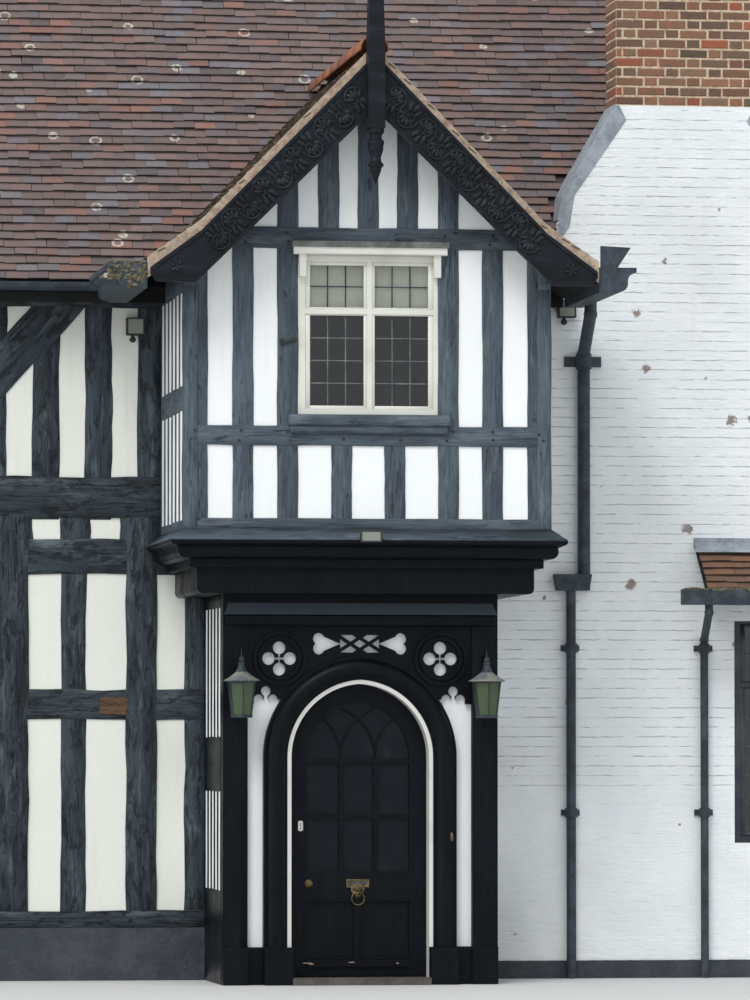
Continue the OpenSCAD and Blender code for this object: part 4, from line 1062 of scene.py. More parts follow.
@dataclass(frozen=True)
class Plaster(Finish):
    """Limewashed plaster: white with faint stains and an uneven face.

    Attributes:
        base: Colour of the clean surface.
        stain: Colour of the stains.
        streak: Colour of the rain streaks.
        amount: Strength of the stains.
        relief: Depth of the unevenness in metres.
    """

    base: Colour
    stain: Colour
    streak: Colour
    amount: float = 0.4
    relief: float = 0.006

    def build(self, g: Graph, shader: bpy.types.Node) -> None:
        """Stains, streaks and pits on white.

        Args:
            g: Nodes of the material.
            shader: Shader that they feed.
        """
        place = g.place()
        rain = g.group(self.effects.streaks, place=place, amount=self.amount)
        pits = g.group(self.effects.pitting, place=place, scale=0.6)
        body = g.mix(g.math("MULTIPLY", rain.outputs["stain"], 0.6), self.base, self.stain)
        body = g.mix(rain.outputs["streak"], body, self.streak)
        body = g.mix(g.step(pits.outputs["grain"], 0.55, 0.8, 0, 0.12), body, self.stain)
        g.feed(shader.inputs["Base Color"], body)
        shader.inputs["Roughness"].default_value = 0.85
        g.feed(shader.inputs["Normal"], g.bump(pits.outputs["height"], self.relief))


@dataclass(frozen=True)
class PaintedBrick(Finish):
    """Thick masonry paint over brick: soft joints, brush ripples, flaked spots and rain stains.

    Attributes:
        base: Colour of the clean paint.
        shade: Colour of the hollows and joints.
        stain: Colour of rain stains.
        bare: Colour of the brick in flaked spots.
        joints: Strength of the joint lines.
        course: Height of a course.
        first: Level of the lowest joint.
        smooth: Level up to which smooth render hides the joints.
        plinth: Level up to which the wall is painted dark, and that colour.
    """

    base: Colour
    shade: Colour
    stain: Colour
    bare: Colour
    joints: float = 1.0
    course: float = 0.075
    first: float = 0.06
    smooth: float = 1.485
    plinth: tuple[float, Colour] = (0.135, (0.02, 0.03, 0.045, 1))

    def build(self, g: Graph, shader: bpy.types.Node) -> None:
        """Broken level joint lines, ripples between them and spots of bare brick.

        Args:
            g: Nodes of the material.
            shader: Shader that they feed.
        """
        place = g.place()
        level = g.axis(place, 2)
        wobble = g.math(
            "MULTIPLY", g.math("SUBTRACT", g.noise(g.scaled(place, (9, 9, 5)), 1.0, 4, 0.6), 0.5), 0.026
        )
        height = g.math("SUBTRACT", g.math("ADD", level, wobble), self.first)
        within = g.math("FRACT", g.math("DIVIDE", height, self.course))
        line = g.step(g.math("ABSOLUTE", g.math("SUBTRACT", within, 0.5)), 0.44, 0.485)
        broken = g.step(g.noise(g.scaled(place, (7, 7, 26), (4, 2, 1)), 1.0, 5, 0.7), 0.44, 0.62)
        joint = g.math("MULTIPLY", g.math("MULTIPLY", line, broken), self.joints, True)
        joint = g.math("MULTIPLY", joint, g.step(level, self.smooth - 0.01, self.smooth + 0.01, 0.22, 1))
        ripple = g.noise(g.scaled(place, (9, 9, 46)), 1.0, 5, 0.65, 0.5)
        slow = g.noise(place, 1.6, 4)
        rain = g.group(self.effects.streaks, place=place, amount=0.45)
        body = g.mix(g.step(slow, 0.3, 0.75, 0, 0.35), self.base, self.shade)
        body = g.mix(g.math("MULTIPLY", joint, 0.45), body, self.shade)
        body = g.mix(g.step(ripple, 0.56, 0.8, 0, 0.4), body, self.shade)
        body = g.mix(g.math("MULTIPLY", rain.outputs["stain"], 0.3), body, self.stain)
        body = g.mix(g.math("MULTIPLY", rain.outputs["streak"], 0.35), body, self.stain)
        east, north, up = g.add("SeparateXYZ", Vector=place).outputs
        flat = g.add("CombineXYZ", X=g.math("ADD", east, north), Y=up).outputs[0]
        spots = g.tree.nodes.new("ShaderNodeTexVoronoi")
        spots.voronoi_dimensions = "2D"
        g.feed(spots.inputs["Vector"], flat)
        spots.inputs["Scale"].default_value = 2.3
        ragged = g.math(
            "ADD", spots.outputs["Distance"], g.math("MULTIPLY", g.noise(place, 26.0, 5, 0.8), 0.32)
        )
        chosen = g.step(g.add("SeparateColor", Color=spots.outputs["Color"]).outputs[1], 0.3, 1.0, 0.02, 0.25)
        lost = g.step(g.math("SUBTRACT", ragged, chosen), -0.02, 0.01, 1, 0)
        body = g.mix(
            g.math("MULTIPLY", lost, 0.8), body,
            g.mix(g.step(g.noise(place, 60.0, 3), 0.4, 0.62), self.bare, paint(84, 78, 70))
        )
        dark = g.math("LESS_THAN", g.math("ADD", level, g.math("MULTIPLY", wobble, 0.6)), self.plinth[0])
        g.feed(shader.inputs["Base Color"], g.mix(dark, body, self.plinth[1]))
        shader.inputs["Roughness"].default_value = 0.78
        height = g.math("SUBTRACT", g.math("MULTIPLY", ripple, 0.55), g.math("MULTIPLY", joint, 0.6))
        height = g.math("SUBTRACT", height, g.math("MULTIPLY", lost, 0.3))
        lumps = g.noise(g.scaled(place, (14, 14, 30), (6, 1, 2)), 1.0, 4, 0.6)
        height = g.math("ADD", height, g.math("MULTIPLY", lumps, 0.5))
        g.feed(shader.inputs["Normal"], g.bump(height, 0.011))


@dataclass(frozen=True)
class Clay(Finish):
    """Burnt clay tiles or bricks, each with its own colour from a ramp, with growth on them.

    Attributes:
        ramp: Colours that the pieces are drawn from, in even bands.
        lichen: Share of lichen.
        moss: Share of moss.
        spot: Colour of the lichen.
        green: Colour of the moss.
        relief: Depth of the rough surface in metres.
        rough: Roughness.
        gauge: Height of a tile that shows, above which it is painted darker as the shade of the next course.
        spread: How far a piece may be lighter or darker than its colour.
        rings: Strength of the pale rings of old lichen.
        verge: Depth along Y before which mortar is smeared over the pieces, and its colour.
    """

    ramp: tuple[Colour, ...]
    lichen: float = 0.4
    moss: float = 0.3
    spot: Colour = (0.50, 0.50, 0.43, 1)
    green: Colour = (0.09, 0.09, 0.045, 1)
    relief: float = 0.003
    rough: float = 0.84
    gauge: float = 0.0
    spread: float = 0.11
    rings: float = 0.0
    verge: tuple[float, Colour] | None = None

    def build(self, g: Graph, shader: bpy.types.Node) -> None:
        """Random fired colour for each piece, mottled, with lichen, moss, and painted shade under each lap
        and along each tail.

        Args:
            g: Nodes of the material.
            shader: Shader that they feed.
        """
        place = g.place()
        first, second, third = g.varied(g.attribute("tone"))[:3]
        count = len(self.ramp)
        body = g.ramp(first, [(i / count, colour) for i, colour in enumerate(self.ramp)], True)
        other = g.ramp(second, [(i / (count - 1), colour) for i, colour in enumerate(self.ramp)])
        pits = g.group(self.effects.pitting, place=place, scale=1.0)
        mottle = g.noise(place, 11.0, 4, 0.6)
        body = g.mix(g.step(mottle, 0.38, 0.72, 0.05, 0.5), body, other)
        grain = g.step(pits.outputs["grain"], 0.25, 0.75, 0.9, 1.08)
        body = g.shaded(
            body, g.math("MULTIPLY", g.step(third, 0, 1, 1 - self.spread, 1 + self.spread), grain)
        )
        growth = g.group(self.effects.growth, place=place, lichen=self.lichen, moss=self.moss)
        spot = g.mix(growth.outputs["yellow"], self.spot, paint(176, 150, 84))
        body = g.mix(g.math("MULTIPLY", growth.outputs["lichen"], 0.8), body, spot)
        body = g.mix(g.math("MULTIPLY", growth.outputs["moss"], 0.85), body, self.green)
        if self.rings > 0:
            wide = g.add("TexVoronoi", Vector=place, Scale=3.0).outputs["Distance"]
            wide = g.math("ADD", wide, g.math("MULTIPLY", g.noise(place, 40.0, 3), 0.05))
            around = g.step(g.math("ABSOLUTE", g.math("SUBTRACT", wide, 0.15)), 0.015, 0.035, self.rings, 0)
            broken = g.step(g.noise(place, 55.0, 3), 0.35, 0.5)
            body = g.mix(g.math("MULTIPLY", around, broken), body, paint(206, 204, 186))
        if self.verge is not None:
            near = g.step(g.math("ADD", g.axis(place, 1), g.math("MULTIPLY", g.noise(place, 24.0, 4), 0.05)),
                          self.verge[0], self.verge[0] + 0.02, 0.85, 0)
            body = g.mix(
                near, body, g.mix(g.noise(place, 30.0, 4), self.verge[1], g.mix(0.5, self.verge[1], body))
            )
        if self.gauge > 0:
            # Painted shade: the covered top of each tile and its tail edge are darkened as if in the shadow
            # of the course above.
            along = g.axis(g.attribute("grain", True), 1)
            deep = g.step(along, self.gauge - 0.02, self.gauge - 0.004, 0, 0.75)
            tail = g.step(along, 0.0, 0.005, 0.8, 0)
            body = g.mix(g.math("MAXIMUM", deep, tail), body, paint(30, 24, 25))
        g.feed(shader.inputs["Base Color"], body)
        shader.inputs["Roughness"].default_value = self.rough
        height = g.math("ADD", pits.outputs["height"], g.math("MULTIPLY", growth.outputs["moss"], 0.8))
        g.feed(shader.inputs["Normal"], g.bump(height, self.relief))


@dataclass(frozen=True)
class Stone(Finish):
    """Stone, mortar or rendered masonry in two colours.

    Attributes:
        base: Main colour.
        other: Colour of its patches.
        scale: Number of patches in a metre.
        relief: Depth of its rough surface in metres.
        growth: Share of lichen and moss.
        rough: Roughness.
    """

    base: Colour
    other: Colour
    scale: float = 6.0
    relief: float = 0.006
    growth: float = 0.0
    rough: float = 0.9

    def build(self, g: Graph, shader: bpy.types.Node) -> None:
        """Patches and grains of two colours.

        Args:
            g: Nodes of the material.
            shader: Shader that they feed.
        """
        place = g.place()
        pits = g.group(self.effects.pitting, place=place, scale=0.8)
        body = g.mix(g.step(g.noise(place, self.scale, 6, 0.7), 0.38, 0.66), self.base, self.other)
        body = g.mix(g.step(pits.outputs["grain"], 0.5, 0.85, 0, 0.35), body, self.other)
        if self.growth > 0:
            growth = g.group(self.effects.growth, place=place, lichen=self.growth, moss=self.growth * 0.7)
            spot = g.mix(growth.outputs["yellow"], paint(188, 184, 164), paint(190, 160, 80))
            body = g.mix(g.math("MULTIPLY", growth.outputs["lichen"], 0.8), body, spot)
            body = g.mix(growth.outputs["moss"], body, paint(74, 78, 48))
        g.feed(shader.inputs["Base Color"], body)
        shader.inputs["Roughness"].default_value = self.rough
        g.feed(shader.inputs["Normal"], g.bump(pits.outputs["height"], self.relief))


@dataclass(frozen=True)
class Metal(Finish):
    """Metal, bare or under paint, dulled in patches.

    Attributes:
        base: Main colour.
        dull: Colour of the dulled patches.
        metallic: How much of it is bare metal.
        rough: Roughness of the clean surface.
        coat: Weight of a gloss coat.
        relief: Depth of the fine unevenness in metres.
        growth: Share of moss on faces that look up.
        specular: Strength of the mirrored light where it is painted.
    """

    base: Colour
    dull: Colour
    metallic: float = 1.0
    rough: float = 0.35
    coat: float = 0.0
    relief: float = 0.0008
    growth: float = 0.0
    specular: float = 0.5

    def build(self, g: Graph, shader: bpy.types.Node) -> None:
        """Patches that dull the metal, and moss that sits on it.

        Args:
            g: Nodes of the material.
            shader: Shader that they feed.
        """
        place = g.place()
        patch = g.step(g.noise(place, 7.0, 6, 0.7), 0.38, 0.66)
        fine = g.noise(place, 70.0, 4, 0.65)
        body = g.mix(patch, self.base, self.dull)
        if self.growth > 0:
            growth = g.group(self.effects.growth, place=place, lichen=self.growth, moss=self.growth)
            body = g.mix(g.math("MULTIPLY", growth.outputs["lichen"], 0.7), body, paint(150, 150, 138))
            body = g.mix(g.math("MULTIPLY", growth.outputs["moss"], 0.7), body, paint(70, 68, 50))
        g.feed(shader.inputs["Base Color"], body)
        rough = g.step(patch, 0, 1, self.rough, self.rough + 0.2)
        g.feed(shader.inputs["Roughness"], g.math("ADD", rough, g.math("MULTIPLY", fine, 0.1), True))
        shader.inputs["Metallic"].default_value = self.metallic
        shader.inputs["Specular IOR Level"].default_value = self.specular
        shader.inputs["Coat Weight"].default_value = self.coat
        shader.inputs["Coat Roughness"].default_value = 0.2
        g.feed(shader.inputs["Normal"], g.bump(fine, self.relief))


@dataclass(frozen=True)
class Glass(Finish):
    """Old window glass, slightly wavy.

    Attributes:
        tint: Colour of the glass.
        wave: Depth of its waves in metres.
        rough: Roughness.
        clear: Share of light that passes.
        index: Refractive index, lower where the glass should mirror less.
    """

    tint: Colour
    wave: float = 0.0012
    rough: float = 0.04
    clear: float = 1.0
    index: float = 1.45

    def build(self, g: Graph, shader: bpy.types.Node) -> None:
        """Clear tinted glass with slow waves and specks of dust.

        Args:
            g: Nodes of the material.
            shader: Shader that they feed.
        """
        place = g.place()
        dust = g.step(g.noise(place, 8.0, 6, 0.75), 0.5, 0.85, 0, 0.25)
        g.feed(
            shader.inputs["Base Color"], g.mix(dust, self.tint, g.mix(0.5, self.tint, paint(120, 122, 118)))
        )
        shader.inputs["Metallic"].default_value = 0.0
        shader.inputs["Transmission Weight"].default_value = self.clear
        shader.inputs["IOR"].default_value = self.index
        g.feed(shader.inputs["Roughness"], g.math("ADD", self.rough, g.math("MULTIPLY", dust, 0.6)))
        g.feed(shader.inputs["Normal"], g.bump(g.noise(place, 5.0, 2), self.wave))


# Roofs


@dataclass(frozen=True)
class Slope:
    """Roof slope given by its outline from the eave upwards.

    Attributes:
        foot: Start of the eave on the top surface.
        u: Direction along the eave, to the right of someone who faces the slope.
        inward: Level direction from the eave towards the ridge.
        outline: Points of the slope as run and rise from the eave.
        length: Length of the eave.
    """

    foot: Triple
    u: Triple
    inward: Triple
    outline: tuple[Pair, ...]
    length: float

    @property
    def run(self) -> float:
        """Length of the slope from the eave to the ridge."""
        return float(np.sum(np.linalg.norm(np.diff(np.array(self.outline), axis=0), axis=1)))

    def at(self, along: np.ndarray) -> np.ndarray:
        """Run and rise at distances up the slope."""
        points = np.array(self.outline)
        marks = np.concatenate([[0], np.cumsum(np.linalg.norm(np.diff(points, axis=0), axis=1))])
        return np.stack([np.interp(along, marks, points[:, k]) for k in (0, 1)], axis=-1)


@dataclass
class Tiler:
    """Lays courses of plain clay tiles.

    Attributes:
        gauge: Height of a course along the slope.
        width: Width of a tile with its joint.
        thick: Thickness of a tile.
        length: Length of a tile that is laid, with its lap.
        shift: Spread of the tiles along a course.
        slip: Spread of their tails up the slope.
        ragged: Most that a tile at a verge is short.
        sag: How far a course runs out of line.
        hollow: How far the slope is hollow.
        tip: Spread of the tiles' tilt.
        turn: Spread of their turn.
        seed: Seed of its random values.
        random: Source of the random values.
        fine: Cambered unit tile.
        plain: Plain unit tile.
    """

    gauge: float = 0.0875
    width: float = 0.165
    thick: float = 0.013
    length: float = 0.145
    shift: float = 0.0015
    slip: float = 0.0036
    ragged: float = 0.012
    sag: float = 0.012
    hollow: float = 0.0035
    tip: float = 0.012
    turn: float = 0.013
    seed: int = 5
    random: np.random.Generator = field(init=False)
    fine: Stock = field(init=False)
    plain: Stock = field(init=False)

    def __post_init__(self) -> None:
        """Models the two unit tiles: one cambered with eased edges, and a plain one for the far side."""
        self.random = np.random.default_rng(self.seed)
        half = self.width / 2 - 0.0006
        low, high = (-half, 0, -self.thick), (half, self.length, 0)
        self.plain = Stock.of(block("unit_tile_plain", low, high))
        tile = block("unit_tile", low, high)
        with editing(tile):
            select(tile, Part.EDGE, lambda middle, along: abs(along.x) > half)
            bpy.ops.mesh.subdivide(number_cuts=2)
            select(tile, Part.POINT, lambda co, normal: abs(co.x) > half * 0.9)
            bpy.ops.transform.translate(value=(0, 0, -0.0006))
            select(tile, Part.FACE, lambda middle, normal: normal.y < -0.9)
            bpy.ops.transform.resize(value=(1, 1, 0.8), center_override=(0, 0, -self.thick))
            select(tile, Part.POINT, lambda co, normal: co.y < 0.01 and abs(co.x) > half * 0.9)
            bpy.ops.transform.translate(value=(0, 0.0006, -0.0002))
        self.fine = Stock.of(tile)

    def lay(
        self, name: str, slope: Slope, keep: Callable[[np.ndarray], np.ndarray], fine: bool = True
    ) -> bpy.types.Object:
        """Covers a slope with tiles.

        Args:
            name: Name of the new object.
            slope: Slope to cover.
            keep: Takes tile middles in the frame and says which stay.
            fine: Whether the cambered tile is used.

        Returns:
            The tiles as one mesh.
        """
        unit = self.fine if fine else self.plain
        courses = int(slope.run / self.gauge)
        across = int(slope.length / self.width) + 2
        course, column = (
            a.ravel() for a in np.meshgrid(np.arange(courses), np.arange(across), indexing="ij")
        )
        middle = (column - 0.5 * (course % 2)) * self.width + self.random.normal(0, self.shift, column.size)
        inside = (middle > -0.03) & (middle < slope.length + 0.03)
        course, middle = course[inside], middle[inside]
        count = len(course)
        ragged = self.random.uniform(0, self.ragged, count)
        left = np.maximum(middle - self.width / 2, ragged)
        right = np.minimum(middle + self.width / 2, slope.length - ragged)
        middle, share = (left + right) / 2, ((right - left) / self.width)[:, None]
        sag = self.sag * np.sin(middle * 1.1 + course * 0.13) * (course > 1)
        tail = course * self.gauge + self.random.normal(0, self.slip, count) + sag
        tail = np.clip(tail, 0, slope.run)
        low = slope.at(tail)
        climb = slope.at(np.clip(tail + 0.06, 0, slope.run)) - slope.at(np.clip(tail - 0.03, 0, slope.run))
        climb /= np.linalg.norm(climb, axis=1, keepdims=True)
        u, inward, up = (np.array(a, float) for a in (slope.u, slope.inward, (0, 0, 1)))
        along = climb[:, :1] * inward + climb[:, 1:] * up
        normal = np.cross(u, along)
        dip = math.asin(self.thick / self.gauge) + self.random.normal(0, self.tip, (count, 1))
        tilted = along * np.cos(dip) - normal * np.sin(dip)
        raised = np.cross(u, tilted)
        turn = self.random.normal(0, self.turn, (count, 1))
        across_axis = u * np.cos(turn) + tilted * np.sin(turn)
        tilted = tilted * np.cos(turn) - u * np.sin(turn)
        start = np.array(slope.foot) + low[:, :1] * inward + low[:, 1:] * up + middle[:, None] * u
        hollow = self.hollow * (1 + np.sin(middle * 0.9 + course * 0.21))[:, None]
        start = start - normal * (self.random.uniform(0, 0.004, (count, 1)) + hollow)
        stay = keep(start + along * self.gauge / 2)
        pieces = (a[stay][:, None, :] for a in (start, share * across_axis, tilted, raised))
        start, across_axis, tilted, raised = pieces
        points = unit.points[None]
        placed = start + points[..., :1] * across_axis + points[..., 1:2] * tilted + points[..., 2:] * raised
        foot = np.array(slope.foot)
        past = (placed - foot) @ u
        placed += (np.clip(past, 0, slope.length) - past)[..., None] * u
        return flat(unit.laid(name, placed, self.random.uniform(0, 1, len(placed))))


def duplicate(node: str, name: str) -> bpy.types.Object:
    """Copies a CAD node's mesh, merged and facing outwards; the node itself is left as it is."""
    copy = bpy.data.objects.new(name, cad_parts[node].data.copy())
    bpy.context.scene.collection.objects.link(copy)
    return outward(copy)


def lowered(node: str, name: str, drop: float) -> bpy.types.Object:
    """Copies a roof slab and lowers its top so that tiles lie on it.

    Args:
        node: CAD node that is copied.
        name: Name of the copy.
        drop: How far the top comes down.

    Returns:
        The copy, with the CAD mesh left as it is.
    """
    copy = duplicate(node, name)
    with editing(copy):
        bpy.ops.mesh.tris_convert_to_quads()
        select(copy, Part.FACE, lambda middle, normal: normal.z > 0.3)
        bpy.ops.transform.translate(value=(0, 0, -drop))
    return copy


@dataclass
class PorchOutline:
    """Outline of the porch roof, which the slopes, boards and valleys share.

    Attributes:
        apex: Level of the ridge.
        knee: Where the slope bends, across and up.
        eave: Foot of the slope.
        front: Depth of the verge.
    """

    apex: float = 7.0
    knee: Pair = (1.29, 5.68)
    eave: Pair = (1.69, 5.40)
    front: float = -0.72

    def height(self, x: np.ndarray) -> np.ndarray:
        """Level of the porch tiles at a distance from the middle."""
        x = np.abs(x)
        upper = self.apex - x * (self.apex - self.knee[1]) / self.knee[0]
        lower = self.knee[1] - (x - self.knee[0]) * (
            self.knee[1] - self.eave[1]
        ) / (self.eave[0] - self.knee[0])
        return np.where(x < self.knee[0], upper, np.where(x < self.eave[0], lower, -1.0))


@dataclass
class Roofs:
    """Main roof and porch roof with their tiles, ridges and verges.

    Attributes:
        eave: Depth and level of the front eave.
        ridge: Depth and level of the main ridge.
        verge: Distance of the verges from the middle of the range.
        porch: Outline of the porch roof.
        stack: Left, right and back of the stack.
        shoulder: Corners of the stack's shoulder, across and up.
    """

    eave: Pair = (0.9, 5.35)
    ridge: Pair = (4.2, 9.283)
    verge: float = 5.65
    porch: PorchOutline = field(default_factory=PorchOutline)
    stack: Triple = (2.15, 3.315, 1.66)
    shoulder: tuple[Pair, ...] = ((1.70, 5.87), (1.74, 6.06), (2.15, 6.77))

    @property
    def pitch(self) -> float:
        """Rise of the main roof for one metre of run."""
        return (self.ridge[1] - self.eave[1]) / (self.ridge[0] - self.eave[0])

    def main_level(self, y: np.ndarray) -> np.ndarray:
        """Level of the front slope of the main roof at a depth."""
        return self.eave[1] + (y - self.eave[0]) * self.pitch

    def clear_of_porch_and_stack(self, at: np.ndarray) -> np.ndarray:
        """Which tile middles of the front slope stay.

        Args:
            at: Points in the frame.

        Returns:
            Whether each point stays.
        """
        x, y, z = at[:, 0], at[:, 1], at[:, 2]
        under_porch = z < self.porch.height(x) - 0.10
        left, right, depth = self.stack
        reach = [(left + right) / 2 - point[0] for point in self.shoulder]
        far = np.interp(z, [point[1] for point in self.shoulder], reach)
        in_notch = (y < depth) & (z < self.shoulder[-1][1]) & (np.abs(x - (left + right) / 2) < far)
        in_stack = (y < depth) & (x > left) & (x < right)
        return ~(under_porch | in_notch | in_stack)

    def build(
        self, tiler: Tiler, clay: Finish, porch_clay: Finish, boards: Finish, mortar: Finish,
        ridge_clay: Finish
    ) -> None:
        """Builds and dresses the roofs.

        Args:
            tiler: Lays the tiles.
            clay: Finish of the main tiles.
            porch_clay: Finish of the porch tiles.
            boards: Finish of the boards under the tiles.
            mortar: Finish of the verge mortar.
            ridge_clay: Finish of the ridge tiles.
        """
        run, rise = self.ridge[0] - self.eave[0], self.ridge[1] - self.eave[1]
        outline = ((0, 0), (run, rise))
        length = 2 * self.verge
        front = Slope((-self.verge, self.eave[0], self.eave[1]), (1, 0, 0), (0, 1, 0), outline, length)
        far = 2 * self.ridge[0] - self.eave[0]
        back = Slope((self.verge, far, self.eave[1]), (-1, 0, 0), (0, -1, 0), outline, length)
        everywhere = lambda at: np.ones(len(at), bool)
        for side, slope, keep, node, fine in (
            ("front", front, self.clear_of_porch_and_stack, "main_roof_front", True),
            ("back", back, everywhere, "main_roof_back", False),
        ):
            slab = lowered(node, f"roof_boards_{side}", 0.053)
            boards.dress(slab)
            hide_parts(node)
            tiles = tiler.lay(f"roof_tiles_{side}", slope, keep, fine)
            clay.dress(tiles)
            for piece in (slab, tiles):
                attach(piece, "house")
            log.info("%s slope: %d tiles", side, len(tiles.data.vertices) // len(tiler.fine.points))
        self.porch_roof(tiler, porch_clay, boards, mortar)
        self.ridges(ridge_clay)

    def porch_roof(self, tiler: Tiler, clay: Finish, boards: Finish, mortar: Finish) -> None:
        """Tiles both slopes of the porch and beds its verge in mortar.

        Args:
            tiler: Lays the tiles.
            clay: Finish of the tiles.
            boards: Finish of the slab under them.
            mortar: Finish of the mortar.
        """
        (knee_x, knee_z), (eave_x, eave_z) = self.porch.knee, self.porch.eave
        kick = (eave_x - knee_x, knee_z - eave_z)
        soft = 0.12
        upper = (self.porch.apex - knee_z) / knee_x
        outline = (
            (0, 0),
            (kick[0] * (1 - soft * 2), kick[1] * (1 - soft * 2)),
            (kick[0], kick[1] - 0.012),
            (kick[0] + 0.1, kick[1] + 0.1 * upper),
            (eave_x, self.porch.apex - eave_z),
        )
        depth = 3.3
        clear = lambda at: at[:, 2] > self.main_level(at[:, 1]) - 0.02
        slopes = {
            "left": Slope((-eave_x, self.porch.front + depth, eave_z), (0, -1, 0), (1, 0, 0), outline, depth),
            "right": Slope((eave_x, self.porch.front, eave_z), (0, 1, 0), (-1, 0, 0), outline, depth),
        }
        for side, slope in slopes.items():
            tiles = tiler.lay(f"porch_tiles_{side}", slope, clear)
            clay.dress(tiles)
            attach(tiles, "house")
        slab = lowered("porch_roof", "porch_roof_boards", 0.049)
        slab.data.materials.clear()
        slab.data.materials.append(boards.material)
        slab.data.materials.append(mortar.material)
        with editing(slab):
            select(slab, Part.FACE, lambda middle, normal: normal.y < -0.9)
            bpy.ops.transform.translate(value=(0, 0.022, 0))
            slab.active_material_index = 1
            bpy.ops.object.material_slot_assign()
        fillet = lowered("porch_roof", "verge_mortar", 0.016)
        with editing(fillet):
            bpy.ops.mesh.select_all(action="SELECT")
            bpy.ops.mesh.bisect(
                plane_co=(0, self.porch.front + 0.03, 0), plane_no=(0, 1, 0), clear_outer=True, use_fill=True
            )
            select(fillet, Part.FACE, lambda middle, normal: normal.y < -0.9)
            bpy.ops.transform.translate(value=(0, 0.003, 0))
            bpy.ops.mesh.subdivide(number_cuts=3)
        fitted(fillet, mortar)
        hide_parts("porch_roof")
        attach(slab, "house")

    def ridges(self, clay: Finish) -> None:
        """Lays half round ridge tiles end to end on both ridges.

        Args:
            clay: Finish of the ridge tiles.
        """
        rng = np.random.default_rng(23)
        unit_r, tile, gap, bed = 0.1, 0.42, 0.008, 0.42
        bpy.ops.object.select_all(action="DESELECT")
        bpy.ops.mesh.primitive_cylinder_add(
            vertices=20, radius=unit_r, depth=1, end_fill_type="NOTHING", rotation=(0, math.pi / 2, 0)
        )
        hog = named("unit_ridge_tile")
        with editing(hog):
            bpy.ops.mesh.select_all(action="SELECT")
            bpy.ops.mesh.bisect(plane_co=(0, 0, -0.01), plane_no=(0, 0, 1), clear_inner=True)
        finished(hog, "SOLIDIFY", thickness=0.013, offset=-1)
        unit = Stock.of(outward(hog))
        for name, radius, start, direction, total in (
            (
                "ridge_tiles_main", 0.125, (-self.verge, self.ridge[0], self.ridge[1]), (1, 0, 0),
                2 * self.verge
            ),
            ("ridge_tiles_porch", 0.11, (0, self.porch.front, self.porch.apex), (0, 1, 0), 2.95),
        ):
            count = round(total / tile)
            step = total / count
            along = np.array(direction, float)
            side = np.cross((0, 0, 1), along)
            middle = (np.arange(count) + 0.5) * step
            lift = rng.normal(0, 0.0025, count)
            local = unit.points
            points = (
                np.array(start)
                + (middle[:, None] + local[None, :, 0] * (step - gap))[..., None] * along
                + (local[None, :, 1] * radius / unit_r)[..., None] * side
                + (
                    local[None, :, 2] * radius / unit_r - radius * bed + lift[:, None]
                )[..., None] * np.array((0, 0, 1.0))
            )
            tiles = unit.laid(name, points, rng.uniform(0, 1, count))
            clay.dress(tiles)
            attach(tiles, "house")
        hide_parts("ridge_tiles")


# Timber framed walls


